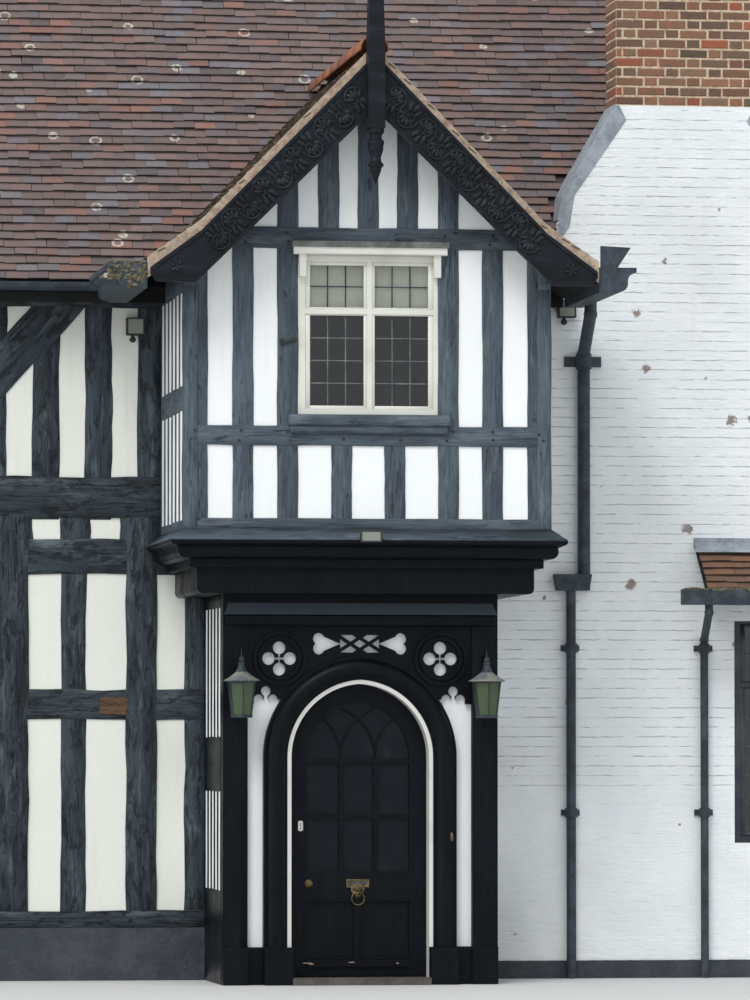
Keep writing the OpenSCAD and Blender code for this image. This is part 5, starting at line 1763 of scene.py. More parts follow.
@dataclass
class FramedWalls:
    """Timber frames of the main range and of the porch, over their plaster panels.

    Attributes:
        bay: Distance between the main posts.
        post: Position and width of the first main post, left of the porch.
        stud: Width of the studs.
        upper: Position, distance and width of the upper studs.
        sill: Lower and upper level of the ground sill.
        middle: Levels of the middle rail.
        storey: Levels of the storey rail.
        bressumer: Levels of the upper sill beam.
        plate: Levels of the wall plate.
        left: Left end of the front.
        low_window: Left, right, foot and head of the lower window.
        up_window: The same of the upper window.
    """

    bay: float = 0.985
    post: Pair = (1.515, 0.205)
    stud: float = 0.172
    upper: Triple = (1.455, 0.405, 0.19)
    sill: Pair = (0.40, 0.52)
    middle: Pair = (2.00, 2.21)
    storey: Pair = (3.11, 3.36)
    bressumer: Pair = (3.54, 3.84)
    plate: Pair = (5.16, 5.52)
    left: float = -5.5
    low_window: tuple[float, float, float, float] = (-3.3945, -2.5905, 1.15, 2.60)
    up_window: tuple[float, float, float, float] = (-4.207, -3.158, 3.96, 5.172)

    def front_lower(self) -> list[Beam]:
        """Beams of the lower front, left of the porch."""
        x0, x1, z0, z1 = self.low_window
        first, width = self.post
        beams = [rail(self.left, -1.03, *self.sill, 0.004), rail(self.left, -1.22, *self.storey, 0.001)]
        beams += [rail(self.left, x0 + 0.01, *self.middle), rail(x1 - 0.01, -1.04, *self.middle)]
        tall = self.bressumer[0] + 0.01
        foot = self.sill[1] - 0.02
        wider = 0.012
        posts = [
            (-(first + wider + i * self.bay), width + wider) for i in range(4)
        ] + [(self.left + 0.09, 0.2)]
        beams += [upright(u, thick, foot, tall, 0.004) for u, thick in posts]
        for i in range(4):
            u = -(first + 0.04 + (i + 0.5) * self.bay)
            spans = [(self.sill[1], self.storey[0])]
            if x0 < u < x1:
                spans = [(self.sill[1], z0 - 0.08), (z1 + 0.08, self.storey[0])]
            beams += [upright(u, self.stud, low - 0.02, high + 0.02, -0.006) for low, high in spans]
        beams.append(upright(-1.112, 0.145, foot, self.storey[0] + 0.02, -0.006))
        beams += [
            rail(x0 - 0.02, x1 + 0.02, z0 - 0.10, z0, -0.001),
            rail(x0 - 0.02, x1 + 0.02, z1, z1 + 0.10, -0.001)
        ]
        return beams

    def front_upper(self) -> list[Beam]:
        """Beams of the upper front: close studs, two braces and the window's rail."""
        x0, x1, z0, _ = self.up_window
        first, pitch, width = self.upper
        low, high = self.bressumer[0] - 0.02, self.plate[0] + 0.02
        beams = [rail(self.left, -1.30, *self.bressumer, 0.003), rail(self.left, -1.30, *self.plate, 0.003)]
        beams.append(upright(-1.53, 0.32, self.storey[1] - 0.02, low + 0.03, -0.002))
        beams += [
            upright(-(1.595 + 0.445 * k), 0.216, self.storey[1] - 0.02, low + 0.03, -0.004)
            for k in range(1, 9)
        ]
        for i in range(10):
            u = -(first + i * pitch)
            beams.append(upright(u, width, low, z0 - 0.08 if x0 < u < x1 else high, -0.005))
        beams.append(upright(self.left + 0.09, 0.19, low, high, -0.004))
        beams.append(rail(x0 - 0.02, x1 + 0.02, z0 - 0.10, z0, -0.001))
        beams += [
            Beam((-3.05, 4.185), (-1.993, 5.35), 0.294, 0.0), Beam((-4.316, 4.185), (-5.30, 5.27), 0.294, 0.0)
        ]
        beams += [upright(-(first + i * pitch), width, low, high, 0.002) for i in (4, 7)]
        return beams

    def panels(self, plaster: Finish) -> None:
        """Plaster between the timbers of the main front, as sheets round each window.

        Args:
            plaster: Finish of the sheets.
        """
        for name, (x0, x1, z0, z1), foot, head, end, node in (
            ("front_panels_lower", self.low_window, 0.42, 3.35, -1.04, "front_plaster_lower"),
            ("front_panels_upper", self.up_window, 3.35, 5.50, -1.30, "front_plaster_upper"),
        ):
            spans = [
                (self.left, foot, x0, head), (x1, foot, end, head), (x0, foot, x1, z0), (x0, z1, x1, head)
            ]
            sheets = [block("panel", (a, 1.214, low), (b, 1.36, high)) for a, low, b, high in spans]
            fitted(merged(name, sheets), plaster, "house", node)

    def gable(self) -> list[Beam]:
        """Beams of the left gable end, with u counted against Y."""
        front, back, ridge, top = 1.2, 7.2, 9.09, 5.52
        middle = (front + back) / 2
        rise = (ridge - top) / (middle - front)
        under = lambda y: top + (min(y, 2 * middle - y) - front) * rise
        collar = 1.55
        levels = (self.sill, self.middle, self.storey, self.bressumer, (5.16, 5.45))
        beams = [rail(-back, -front, *pair) for pair in levels]
        beams.append(rail(-(middle + collar), -(middle - collar), 7.20, 7.40))
        for i in range(7):
            y = min(max(front + i, front + 0.1), back - 0.1)
            beams.append(upright(-y, 0.205, 0.45, under(y) - 0.12))
            if i < 6:
                between = front + i + 0.5
                beams.append(
                    upright(-between, self.stud, self.storey[1] - 0.02, under(between) - 0.12, -0.006)
                )
        for sign in (-1, 1):
            end = front if sign < 0 else back
            beams.append(Beam((-end, top - 0.155), (-middle, ridge - 0.165), 0.2, 0.003))
        return beams

    def back(self) -> list[Beam]:
        """Beams of the back wall, with u counted against X."""
        low_x, pitch, width = -5.4, 0.96091, 0.205
        beams = [
            rail(-5.17, 5.5, *levels, 0.003)
            for levels in (self.sill, self.storey, self.bressumer, self.plate)
        ]
        windows = (2, 5, 8)
        for i in range(12):
            beams.append(upright(-(low_x + i * pitch), width, 0.5, 5.2))
        for i in range(11):
            u, lap = -(low_x + (i + 0.5) * pitch), 0.02
            left, right = -(low_x + (i + 1) * pitch) + width / 2 - lap, -(low_x + i * pitch) - width / 2 + lap
            if i in windows:
                beams += [
                    upright(u, self.stud, low, high, -0.006)
                    for low, high in ((0.5, 1.08), (2.66, 3.13), (3.82, 3.89))
                ]
                beams += [rail(left, right, level, level + 0.10, -0.001) for level in (1.05, 2.60, 3.86)]
            else:
                beams.append(upright(u, self.stud, 0.5, 5.2, -0.006))
                beams.append(rail(left, right, *self.middle, -0.001))
        return beams

    def jetty_front(self) -> list[Beam]:
        """Beams of the upper porch front and its gable."""
        levels = ((3.38, 3.47), (4.02, 4.16), (5.49, 5.64))
        posts = ((1.294, 0.172, 3.40, 5.52), (0.94, 0.148, 3.40, 5.52), (0.605, 0.148, 3.40, 6.12))
        posts += ((0.20, 0.148, 3.42, 4.05), (0.297, 0.148, 5.60, 6.44))
        beams = [rail(-1.37, 1.37, low, high, 0.003) for low, high in levels]
        beams.append(rail(-0.60, 0.60, 4.15, 4.235, 0.0))
        for side in (-1, 1):
            beams += [upright(side * x, width, low, high) for x, width, low, high in posts]
            beams.append(Beam((side * 1.36, 5.35), (0, 6.742), 0.12, 0.002))
        beams.append(upright(0, 0.148, 5.60, 6.70))
        return beams

    def jetty_side(self) -> list[Beam]:
        """Beams of one side of the upper porch, with u counted along Y."""
        beams = [
            rail(-0.4, 1.2, low, high, 0.002) for low, high in ((3.38, 3.46), (4.28, 4.46), (5.16, 5.44))
        ]
        beams.append(upright(-0.315, 0.17, 3.4, 5.2))
        beams += [upright(-0.3 + i * 0.25, 0.085, 3.4, 5.2, 0.0) for i in range(1, 7)]
        return beams

    def porch_side(self) -> list[Beam]:
        """Beams of one side of the lower porch, with u counted along Y."""
        levels = ((0.0, 0.35), (0.35, 0.70), (1.45, 1.65), (1.65, 1.85), (2.83, 2.92))
        beams = [rail(0.1, 1.2, low, high, 0.002) for low, high in levels]
        beams += [upright(0.16 + i * 0.208, 0.075, 0.6, 2.86, 0.0) for i in range(6)]
        return beams

    def build(
        self, carpenter: Carpenter, hewer: Carpenter, slate: Finish, rough: Finish, gloss: Finish
    ) -> None:
        """Lays and dresses every frame.

        Args:
            carpenter: Lays the beams.
            hewer: Lays the more uneven beams of the main front.
            slate: Finish of the porch's upper timbers and of the other sides.
            rough: Finish of the main front's timbers.
            gloss: Finish of the lower porch's timbers.
        """
        frames = (
            ("front_timbers_lower", FRONT, self.front_lower(), rough, "front_frame_lower"),
            ("front_timbers_upper", FRONT, self.front_upper(), rough, "front_frame_upper"),
            ("left_gable_timbers", LEFT, self.gable(), slate, "left_gable_frame"),
            ("back_timbers", BACK, self.back(), slate, "back_frame"),
            ("porch_timbers_upper", JETTY_FRONT, self.jetty_front(), slate, "porch_upper_frame"),
        )
        for name, side, beams, finish, node in frames:
            piece = (hewer if side is FRONT else carpenter).lay(name, side, beams)
            finish.dress(piece)
            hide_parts(node)
            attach(piece, "house")
            log.info("%s: %d beams", name, len(beams))
        flanks = [
            ("porch_flank_upper_left", JETTY_LEFT, mirrored(self.jetty_side()), slate),
            ("porch_flank_upper_right", JETTY_RIGHT, self.jetty_side(), slate),
            ("porch_flank_lower_left", PORCH_LEFT, mirrored(self.porch_side()), gloss),
            ("porch_flank_lower_right", PORCH_RIGHT, self.porch_side(), gloss),
        ]
        for name, side, beams, finish in flanks:
            piece = carpenter.lay(name, side, beams)
            finish.dress(piece)
            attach(piece, "house")
            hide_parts("porch_side_frames")


# Brickwork


@dataclass
class Mason:
    """Lays bricks in Flemish bond.

    Attributes:
        course: Height of a course with its joint.
        stretcher: Length of a stretcher with its joint.
        header: Length of a header with its joint.
        joint: Width of the joints.
        rim: Width of the rounded edges.
        ends: Share of the joints and edges that stays open at the ends of a brick.
        shift: Spread of the brick's edges.
        depth: How deep a brick reaches behind its face.
        least: Shortest cut brick that is laid.
        seed: Seed of its random values.
        random: Source of the random values.
        unit: Unit brick.
    """

    course: float = 0.075
    stretcher: float = 0.225
    header: float = 0.1125
    joint: float = 0.009
    rim: float = 0.005
    ends: float = 1.0
    shift: float = 0.0012
    depth: float = 0.03
    least: float = 0.03
    seed: int = 31
    random: np.random.Generator = field(init=False)
    unit: Stock = field(init=False)

    def __post_init__(self) -> None:
        """Models the unit brick, open at the back, with its face edges rounded."""
        self.random = np.random.default_rng(self.seed)
        brick = block("unit_brick", (0, 0, 0), (1, 1, 1))
        with editing(brick):
            select(brick, Part.EDGE, lambda middle, along: middle.z > 0.99)
            bpy.ops.mesh.bevel(offset=0.05, segments=1)
        self.unit = Stock.of(brick)

    def lay(
        self,
        name: str,
        side: Side,
        low: Pair,
        high: Pair,
        keep: Callable[[np.ndarray, np.ndarray], np.ndarray] | None = None,
        holes: Sequence[Box] = (),
        out: float = 0.0,
    ) -> bpy.types.Object:
        """Covers a rectangle of a side with bricks.

        Args:
            name: Name of the new object.
            side: Side that the bricks face.
            low: Lowest corner, along and up.
            high: Highest corner.
            keep: Takes brick middles, along and up, and says which stay.
            holes: Openings as left, right, foot and head.
            out: How far the bricks stand before the side.

        Returns:
            The bricks as one mesh.
        """
        spans = []
        for row in range(round((high[1] - low[1]) / self.course)):
            z0 = low[1] + row * self.course
            u = low[0] - (0 if row % 2 == 0 else (self.stretcher - self.header) / 2 + self.header)
            turn = 0
            while u < high[0]:
                length = self.stretcher if turn % 2 == 0 else self.header
                parts = [(u, u + length)]
                for left, right, foot, head in holes:
                    if z0 + self.course / 2 > foot and z0 + self.course / 2 < head:
                        cut = [piece for a, b in parts for piece in ((a, min(b, left)), (max(a, right), b))]
                        parts = [(a, b) for a, b in cut if b > a]
                for a, b in parts:
                    a, b = max(a, low[0]), min(b, high[0])
                    if b - a > self.least:
                        spans.append((a, b, z0, z0 + self.course))
                u += length
                turn += 1
        box = np.array(spans)
        if keep is not None:
            box = box[keep((box[:, 0] + box[:, 1]) / 2, (box[:, 2] + box[:, 3]) / 2)]
        count = len(box)
        jitter = self.random.normal(0, self.shift, (count, 4))
        box = box + jitter * (self.ends, self.ends, 1, 1)
        box = box + np.array([0.5 * self.ends, -0.5 * self.ends, 0.5, -0.5]) * self.joint
        unit = self.unit.points
        u = box[:, :1] + stretched(unit[:, 0], box[:, 1:2] - box[:, :1], self.rim * self.ends)
        v = box[:, 2:3] + stretched(unit[:, 1], box[:, 3:] - box[:, 2:3], self.rim)
        v = np.maximum(v + self.random.normal(0, 0.006, (count, 1)) * (u - box[:, :1]), low[1])
        w = stretched(unit[:, 2], self.depth, 0.8 * self.rim) - self.depth + out - self.random.uniform(
            0, 0.35 * self.rim * max(self.ends, 0.25), (count, 1)
        )
        points = side.place(np.stack([u, v, np.broadcast_to(w, u.shape)], axis=2))
        return flat(self.unit.laid(name, points, self.random.uniform(0, 1, count)))


@dataclass
class Brickwork:
    """White painted brick front, end wall and the bare brick stack.

    Attributes:
        left: Left edge of the white front, at the lower and the upper storey.
        right: Right edge of the front.
        window: Opening of the right window.
        shoulder: Foot, knee and head of the left sloping shoulder.
        stack: Left side, right side, lower and upper level of the stack.
        depth: Depth of the stack from the front.
        render: Lower and upper level of the smooth render at the foot of the wall.
    """

    left: Pair = (0.88, 1.22)
    right: float = 5.5
    window: Box = (3.10, 4.85, 1.04, 2.79)
    shoulder: tuple[Pair, ...] = ((1.72, 5.87), (1.76, 6.06), (2.17, 6.77))
    stack: Box = (2.17, 3.295, 6.77, 10.6)
    depth: float = 0.45
    render: Pair = (0.135, 1.485)

    @property
    def middle(self) -> float:
        """Distance along X of the middle of the stack."""
        return (self.stack[0] + self.stack[1]) / 2

    def on_front(self, u: np.ndarray, v: np.ndarray) -> np.ndarray:
        """Which bricks of the white front stay: below the eave, or on the shoulders."""
        reach = np.interp(v, [p[1] for p in self.shoulder], [self.middle - p[0] for p in self.shoulder])
        return (v < 5.50) | (np.abs(u - self.middle) < reach + 0.10)

    def build(
        self, mason: Mason, painter: Mason, white: Finish, brick: Finish, mortar: Finish, clay: Finish
    ) -> None:
        """Lays the bricks of the front and of the stack.

        Args:
            mason: Lays the bare bricks.
            painter: Lays the painted bricks, whose joints are filled with paint.
            white: Finish of the painted bricks.
            brick: Finish of the bare bricks.
            mortar: Finish of the stack's joints.
            clay: Finish of the pots.
        """
        foot = self.render[1]
        edge, level = self.shoulder[0]
        holes = [self.window, (0.0, 1.30, 2.93, 5.53), (0.0, edge, 5.50, level)]
        holes.append((2 * self.middle - edge, self.right + 0.1, 5.50, level))
        front = painter.lay(
            "white_bricks", FRONT, (self.left[0], foot), (self.right, 6.75), self.on_front, holes, 0.003
        )
        self.trim_to_shoulders(front)
        under = lambda u, v: v < 5.42 + (np.minimum(u, 8.4 - u) - 1.2) * 1.19
        gable = painter.lay("white_bricks_gable", RIGHT, (1.2, 0.0), (7.2, 9.0), under, (), 0.003)
        for piece in (front, gable, self.plinth_render()):
            white.dress(piece)
            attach(piece, "house")
        log.info(
            "white bricks: %d",
            (len(front.data.vertices) + len(gable.data.vertices)) // len(mason.unit.points)
        )
        self.build_stack(mason, brick, mortar)
        self.pots(clay)

    def narrow_flashing(self, lead: Finish) -> None:
        """Narrows the front of the lead on both shoulders, which the paint of the wall covers in part.

        Args:
            lead: Finish of the lead.
        """
        sheet = copied("lead_flashing", "shoulder_lead", lambda middle, normal: False)
        inner = lambda at: at.y < 1.21 and self.reach(at.z) - abs(at.x - self.middle) > 0.035
        with editing(sheet):
            for sign in (-1, 1):
                select(sheet, Part.POINT, lambda at, normal: inner(at) and sign * (at.x - self.middle) > 0)
                bpy.ops.transform.translate(value=(sign * 0.03, 0, 0))
        fitted(sheet, lead, "house", "lead_flashing")

    def reach(self, level: float) -> float:
        """Distance of the sloping shoulders from the middle of the stack at a level."""
        return float(
            np.interp(level, [p[1] for p in self.shoulder], [self.middle - p[0] for p in self.shoulder])
        )

    def plinth_render(self) -> bpy.types.Object:
        """Smooth coat of render on the lower part of the front, round the window."""
        low, high = self.render
        x0, x1, z0, _ = self.window
        spans = (
            (1.04, low, x0 - 0.05, high), (x0 - 0.05, low, x1 + 0.05, z0 - 0.06),
            (x1 + 0.05, low, self.right, high)
        )
        pieces = [block("render", (a, 1.2 - 0.007, foot), (b, 1.25, head)) for a, foot, b, head in spans]
        coat = merged("white_render", pieces)
        with editing(coat):
            select(coat, Part.EDGE, lambda middle, along: middle.y < 1.2 and middle.z > high - 0.01)
            bpy.ops.mesh.bevel(offset=0.006, segments=2)
        return coat

    def trim_to_shoulders(self, bricks: bpy.types.Object) -> None:
        """Cuts the bricks off along both sloping shoulders."""
        for sign in (-1, 1):
            for (x0, z0), (x1, z1) in zip(self.shoulder, self.shoulder[1:]):
                edge = self.middle + sign * (self.middle - x0)
                with editing(bricks):
                    select(
                        bricks,
                        Part.FACE,
                        lambda at, normal: z0 - 0.06 < at.z < z1 + 0.05 and (at.x - self.middle) * sign > 0.2,
                    )
                    cut = (sign * (z1 - z0), 0, x1 - x0)
                    bpy.ops.mesh.bisect(plane_co=(edge, 1.2, z0), plane_no=cut, clear_outer=True)

    def build_stack(self, mason: Mason, brick: Finish, mortar: Finish) -> None:
        """Lays bricks on the four sides of the stack and on its projecting courses.

        Args:
            mason: Lays the bricks.
            brick: Finish of the bricks.
            mortar: Finish of the mortar.
        """
        left, right, low, high = self.stack
        front, back = 1.2, 1.2 + self.depth
        levels = [(low, high - 0.30, 0.0)]
        levels += [(high - 0.30 + k * 0.075, high - 0.225 + k * 0.075, 0.02 * (k + 1)) for k in range(3)]
        levels.append((high - 0.075, high, 0.0))
        pieces = []
        for foot, head, out in levels:
            sides = (
                (Side((0, front - out, 0), (1, 0, 0), (0, -1, 0)), left - out, right + out),
                (Side((0, back + out, 0), (-1, 0, 0), (0, 1, 0)), -right - out, -left + out),
                (Side((left - out, 0, 0), (0, -1, 0), (-1, 0, 0)), -back - out, -front + out),
                (Side((right + out, 0, 0), (0, 1, 0), (1, 0, 0)), front - out, back + out),
            )
            for index, (side, u0, u1) in enumerate(sides):
                pieces.append(mason.lay(f"stack_{index}_{out}", side, (u0, foot), (u1, head)))
        bricks = merged("stack_bricks", pieces)
        brick.dress(bricks)
        core = [
            block("core", (left + 0.006, front + 0.006, low), (right - 0.006, back - 0.006, high - 0.004))
        ]
        for foot, head, out in levels[1:4]:
            near = (left - out + 0.006, front - out + 0.006, foot + 0.003)
            core.append(block("core", near, (right + out - 0.006, back + out - 0.006, head - 0.003)))
        core.append(block("core", (1.95, 1.531, 0.05), (3.05, back, 5.5)))
        core.append(self.shoulder_back(1.531, back))
        body = merged("stack_mortar", core)
        mortar.dress(body)
        for piece in (bricks, body):
            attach(piece, "house")
        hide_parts("chimney_stack")

    def shoulder_back(self, near: float, far: float) -> bpy.types.Object:
        """Brickwork behind the white shoulders, cut to their slopes from a block.

        Args:
            near: Depth of its face.
            far: Depth of its back.

        Returns:
            The piece of brickwork.
        """
        (x0, z0), _, (_, z1) = self.shoulder
        piece = block("shoulder_back", (x0, near, z0 - 0.5), (2 * self.middle - x0, far, z1))
        self.trim_to_shoulders(piece)
        with editing(piece):
            bpy.ops.mesh.select_mode(type="EDGE")
            bpy.ops.mesh.select_non_manifold()
            bpy.ops.mesh.edge_face_add()
        return outward(piece)

    def pots(self, clay: Finish) -> None:
        """Turns the two chimney pots.

        Args:
            clay: Finish of the pots.
        """
        outline = (
            (0.168, 0), (0.168, 0.055), (0.138, 0.09), (0.125, 0.2), (0.118, 0.37), (0.148, 0.395),
            (0.150, 0.445), (0.120, 0.450), (0.1, 0.40), (0.1, 0.02),
        )
        pots = []
        for sign in (-1, 1):
            foot = (self.middle + sign * 0.28125, 1.2 + self.depth / 2, self.stack[3])
            pots.append(eased(turned("pot", foot, outline, 24), 0.004, 2))
        piece = merged("chimney_pots_clay", pots)
        smooth(piece)
        clay.dress(piece)
        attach(piece, "house")
        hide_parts("chimney_pots")


def turned(
    name: str, foot: Sequence[float], outline: Sequence[Pair], sides: int = 24, axis: Triple = (0, 0, 1)
) -> bpy.types.Object:
    """Spins an outline of radius and height into a round piece.

    Args:
        name: Name of the new object.
        foot: Point that the heights are counted from.
        outline: Radius and height of each point, from one end to the other.
        sides: Number of steps round the axis.
        axis: Direction of the axis.

    Returns:
        The new object, closed at its ends.
    """
    bpy.ops.object.select_all(action="DESELECT")
    radius, height = outline[0]
    at_radius, at_height = max(radius, 0.0005), height
    bpy.ops.mesh.primitive_circle_add(
        vertices=sides, radius=at_radius, fill_type="NGON", location=(0, 0, height)
    )
    obj = named(name)
    with editing(obj):
        bpy.ops.mesh.select_all(action="SELECT")
        for radius, height in outline[1:]:
            radius = max(radius, 0.0005)
            bpy.ops.mesh.extrude_region_move(TRANSFORM_OT_translate={"value": (0, 0, height - at_height)})
            scale = radius / at_radius
            bpy.ops.transform.resize(value=(scale, scale, 1), center_override=(0, 0, height))
            at_radius, at_height = radius, height
        bpy.ops.mesh.select_all(action="SELECT")
        bpy.ops.mesh.normals_make_consistent(inside=False)
    only(obj)
    obj.matrix_world = Matrix.Translation(foot) @ Vector(axis).to_track_quat("Z", "Y").to_matrix().to_4x4()
    bpy.ops.object.transform_apply(location=True, rotation=True, scale=True)
    return obj


# Joinery and glazing


def face_depth(node: str, x: float, z: float) -> float:
    """Depth along Y at which a level line into the house first meets a CAD node."""
    hit, place, _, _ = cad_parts[node].ray_cast((x, -3.0, z), (0, 1, 0))
    if not hit:
        raise ValueError(f"no face of {node} at {x}, {z}")
    return place.y


@dataclass(frozen=True)
class Window:
    """Window as its frame in the CAD model divides it.

    Attributes:
        side: Side of the house that it is in.
        area: Left, right, foot and head of its frame.
        bars: Middles of its upright bars.
        transom: Level of its transom.
        panes: Panes across a light, up a lower light and up an upper light.
    """

    side: Side
    area: Box
    bars: tuple[float, ...]
    transom: float
    panes: tuple[int, int, int] = (3, 4, 2)

    def lights(self, edge: float, bar: float) -> list[tuple[Box, bool]]:
        """Openings between the members of the frame, and whether each is above the transom.

        Args:
            edge: Width of the frame.
            bar: Width of a bar.

        Returns:
            Box of each light and whether it is an upper one.
        """
        left, right, foot, head = self.area
        marks = [left + edge - bar / 2, *self.bars, right - edge + bar / 2]
        found = []
        for a, b in zip(marks, marks[1:]):
            found.append(((a + bar / 2, b - bar / 2, foot + edge, self.transom - bar / 2), False))
            found.append(((a + bar / 2, b - bar / 2, self.transom + bar / 2, head - edge), True))
        return found


@dataclass
class Glazing:
    """Casements, leads and blinds of every window, and the hood, sill and stay of the porch window.

    Attributes:
        joiner: Lays straight strips.
        edge: Width of the outer members of a frame.
        bar: Width of its inner members.
        stile: Width of a casement's stile beside an outer and beside an inner member.
        ledge: Width of a casement's rail beside an outer and beside an inner member.
        lead: Width of a lead.
    """

    joiner: Carpenter
    edge: float = 0.05
    bar: float = 0.04
    stile: Pair = (0.038, 0.021)
    ledge: Pair = (0.026, 0.010)
    lead: float = 0.009

    def windows(self) -> dict[str, list[Window]]:
        """Every window, by the side that it is in."""
        low, high = (1.15, 2.60, 2.165), (3.96, 5.172, 4.748)
        back = []
        for bay in (2, 5, 8):
            middle = 5.4 - (bay + 0.5) * 0.96091
            for foot, head, transom in (low, high):
                back.append(
                    Window(BACK, (middle - 0.378, middle + 0.378, foot, head), (middle,), transom, (2, 4, 2))
                )
        return {
            "porch": [Window(JETTY_FRONT, (-0.523, 0.543, 4.24, 5.44), (0.01,), 5.02)],
            "front": [
                Window(FRONT, (-3.3945, -2.5905, 1.15, 2.60), (-2.9925,), 2.165, (2, 4, 2)),
                Window(FRONT, (-4.207, -3.158, 3.96, 5.172), (-3.6825,), 4.748),
                Window(FRONT, (3.10, 4.85, 1.04, 2.79), (3.69, 4.26), 2.265, (3, 5, 2)),
            ],
            "back": back,
        }

    def members(self, window: Window) -> tuple[list[Beam], list[Beam], list[Beam]]:
        """Casement members, leads of the lower lights and leads of the upper lights of one window.

        Args:
            window: Window that is fitted.

        Returns:
            Casements, lower leads and upper leads.
        """
        casements, lower, upper = [], [], []
        across, low_rows, high_rows = window.panes
        for (a, b, foot, head), above in window.lights(self.edge, self.bar):
            left = self.stile[a > window.area[0] + self.edge + 0.001]
            right = self.stile[b < window.area[1] - self.edge - 0.001]
            under, over = self.ledge[above], self.ledge[not above]
            casements += [
                Beam((u, foot), (u, head), w, -0.022, 0.026)
                for u, w in ((a + left / 2, left), (b - right / 2, right))
            ]
            a, b = a + left, b - right
            for v, w in ((foot + under / 2, under), (head - over / 2, over)):
                casements.append(Beam((a - 0.002, v), (b + 0.002, v), w, -0.023, 0.025))
            foot, head = foot + under, head - over
            rows = high_rows if above else low_rows
            leads = upper if above else lower
            for k in range(1, across):
                u = a + (b - a) * k / across
                leads.append(Beam((u, foot), (u, head), self.lead, -0.044, 0.007))
            for k in range(1, rows):
                v = foot + (head - foot) * k / rows
                leads.append(Beam((a, v), (b, v), self.lead, -0.0435, 0.007))
        return casements, lower, upper

    def build(self, palette: "Palette") -> None:
        """Fits the casements and leads of every side, then the parts of the porch window.

        Args:
            palette: Finishes of the house.
        """
        for name, windows in self.windows().items():
            casements, lower, upper = [], [], []
            for window in windows:
                for total, more in zip((casements, lower, upper), self.members(window)):
                    total.extend(more)
            side = windows[0].side
            fitted(self.joiner.lay(f"casements_{name}", side, casements), palette.cream)
            if name == "porch":
                fitted(self.joiner.lay("leads_porch_upper", side, upper), palette.iron)
                upper = []
            fitted(self.joiner.lay(f"leads_{name}", side, lower + upper), palette.cames)
        blinds = [
            block("blind", (a, -0.335, 5.03), (b, -0.330, 5.40))
            for a, b in ((-0.475, -0.008), (0.028, 0.495))
        ]
        fitted(merged("porch_blinds", blinds), palette.blind)
        self.hood_and_sill(palette)
        self.stay(palette.wrought)

    def hood_and_sill(self, palette: "Palette") -> None:
        """Lead on the hood, a small moulding under it and the two moulded boards of the sill.

        Args:
            palette: Finishes of the house.
        """
        lead = block("hood_lead", (-0.582, -0.474, 5.494), (0.602, -0.39, 5.540))
        with editing(lead):
            select(
                lead, Part.EDGE, lambda middle,
                along: abs(along.x) > 0.5 and middle.y < -0.4 and middle.z > 5.53
            )
            bpy.ops.mesh.bevel(offset=0.012, segments=3)
        fitted(eased(lead, 0.002), palette.hood_lead)
        bead = block("hood_bead", (-0.570, -0.466, 5.442), (0.590, -0.40, 5.456))
        fitted(eased(bead, 0.005, 3), palette.white)
        sills = Carpenter(cuts=5, rim=0.014, wave=0.003, seed=71)
        boards = [
            Beam((-0.604, 4.2055), (0.607, 4.2055), 0.080, 0.076, 0.11),
            Beam((-0.592, 4.140), (0.595, 4.140), 0.064, 0.052, 0.08),
        ]
        fitted(sills.lay("porch_window_sill", JETTY_FRONT, boards), palette.weathered)

    def stay(self, iron: Finish) -> None:
        """Iron stay on the stud left of the porch window.

        Args:
            iron: Finish of the iron.
        """
        pieces = [
            rod("stay", (-0.662, -0.409, 4.768), (-0.548, -0.409, 4.806), 0.007, 10),
            ring("stay", (-0.650, -0.414, 4.790), 0.016, 0.005, (math.pi / 2, 0, 0), 20),
            ball("stay", (-0.548, -0.412, 4.806), (0.012, 0.008, 0.012), 12),
        ]
        fitted(smooth(merged("window_stay", pieces)), iron)


# Front door and its arch


def copied(node: str, name: str, drop: Test) -> bpy.types.Object:
    """Copies a CAD node without some of its faces.

    Args:
        node: CAD node that is copied.
        name: Name of the copy.
        drop: Picks the faces that are left out.

    Returns:
        The copy, with the CAD mesh left as it is.
    """
    copy = duplicate(node, name)
    with editing(copy):
        if select(copy, Part.FACE, drop):
            bpy.ops.mesh.delete(type="FACE")
    return copy


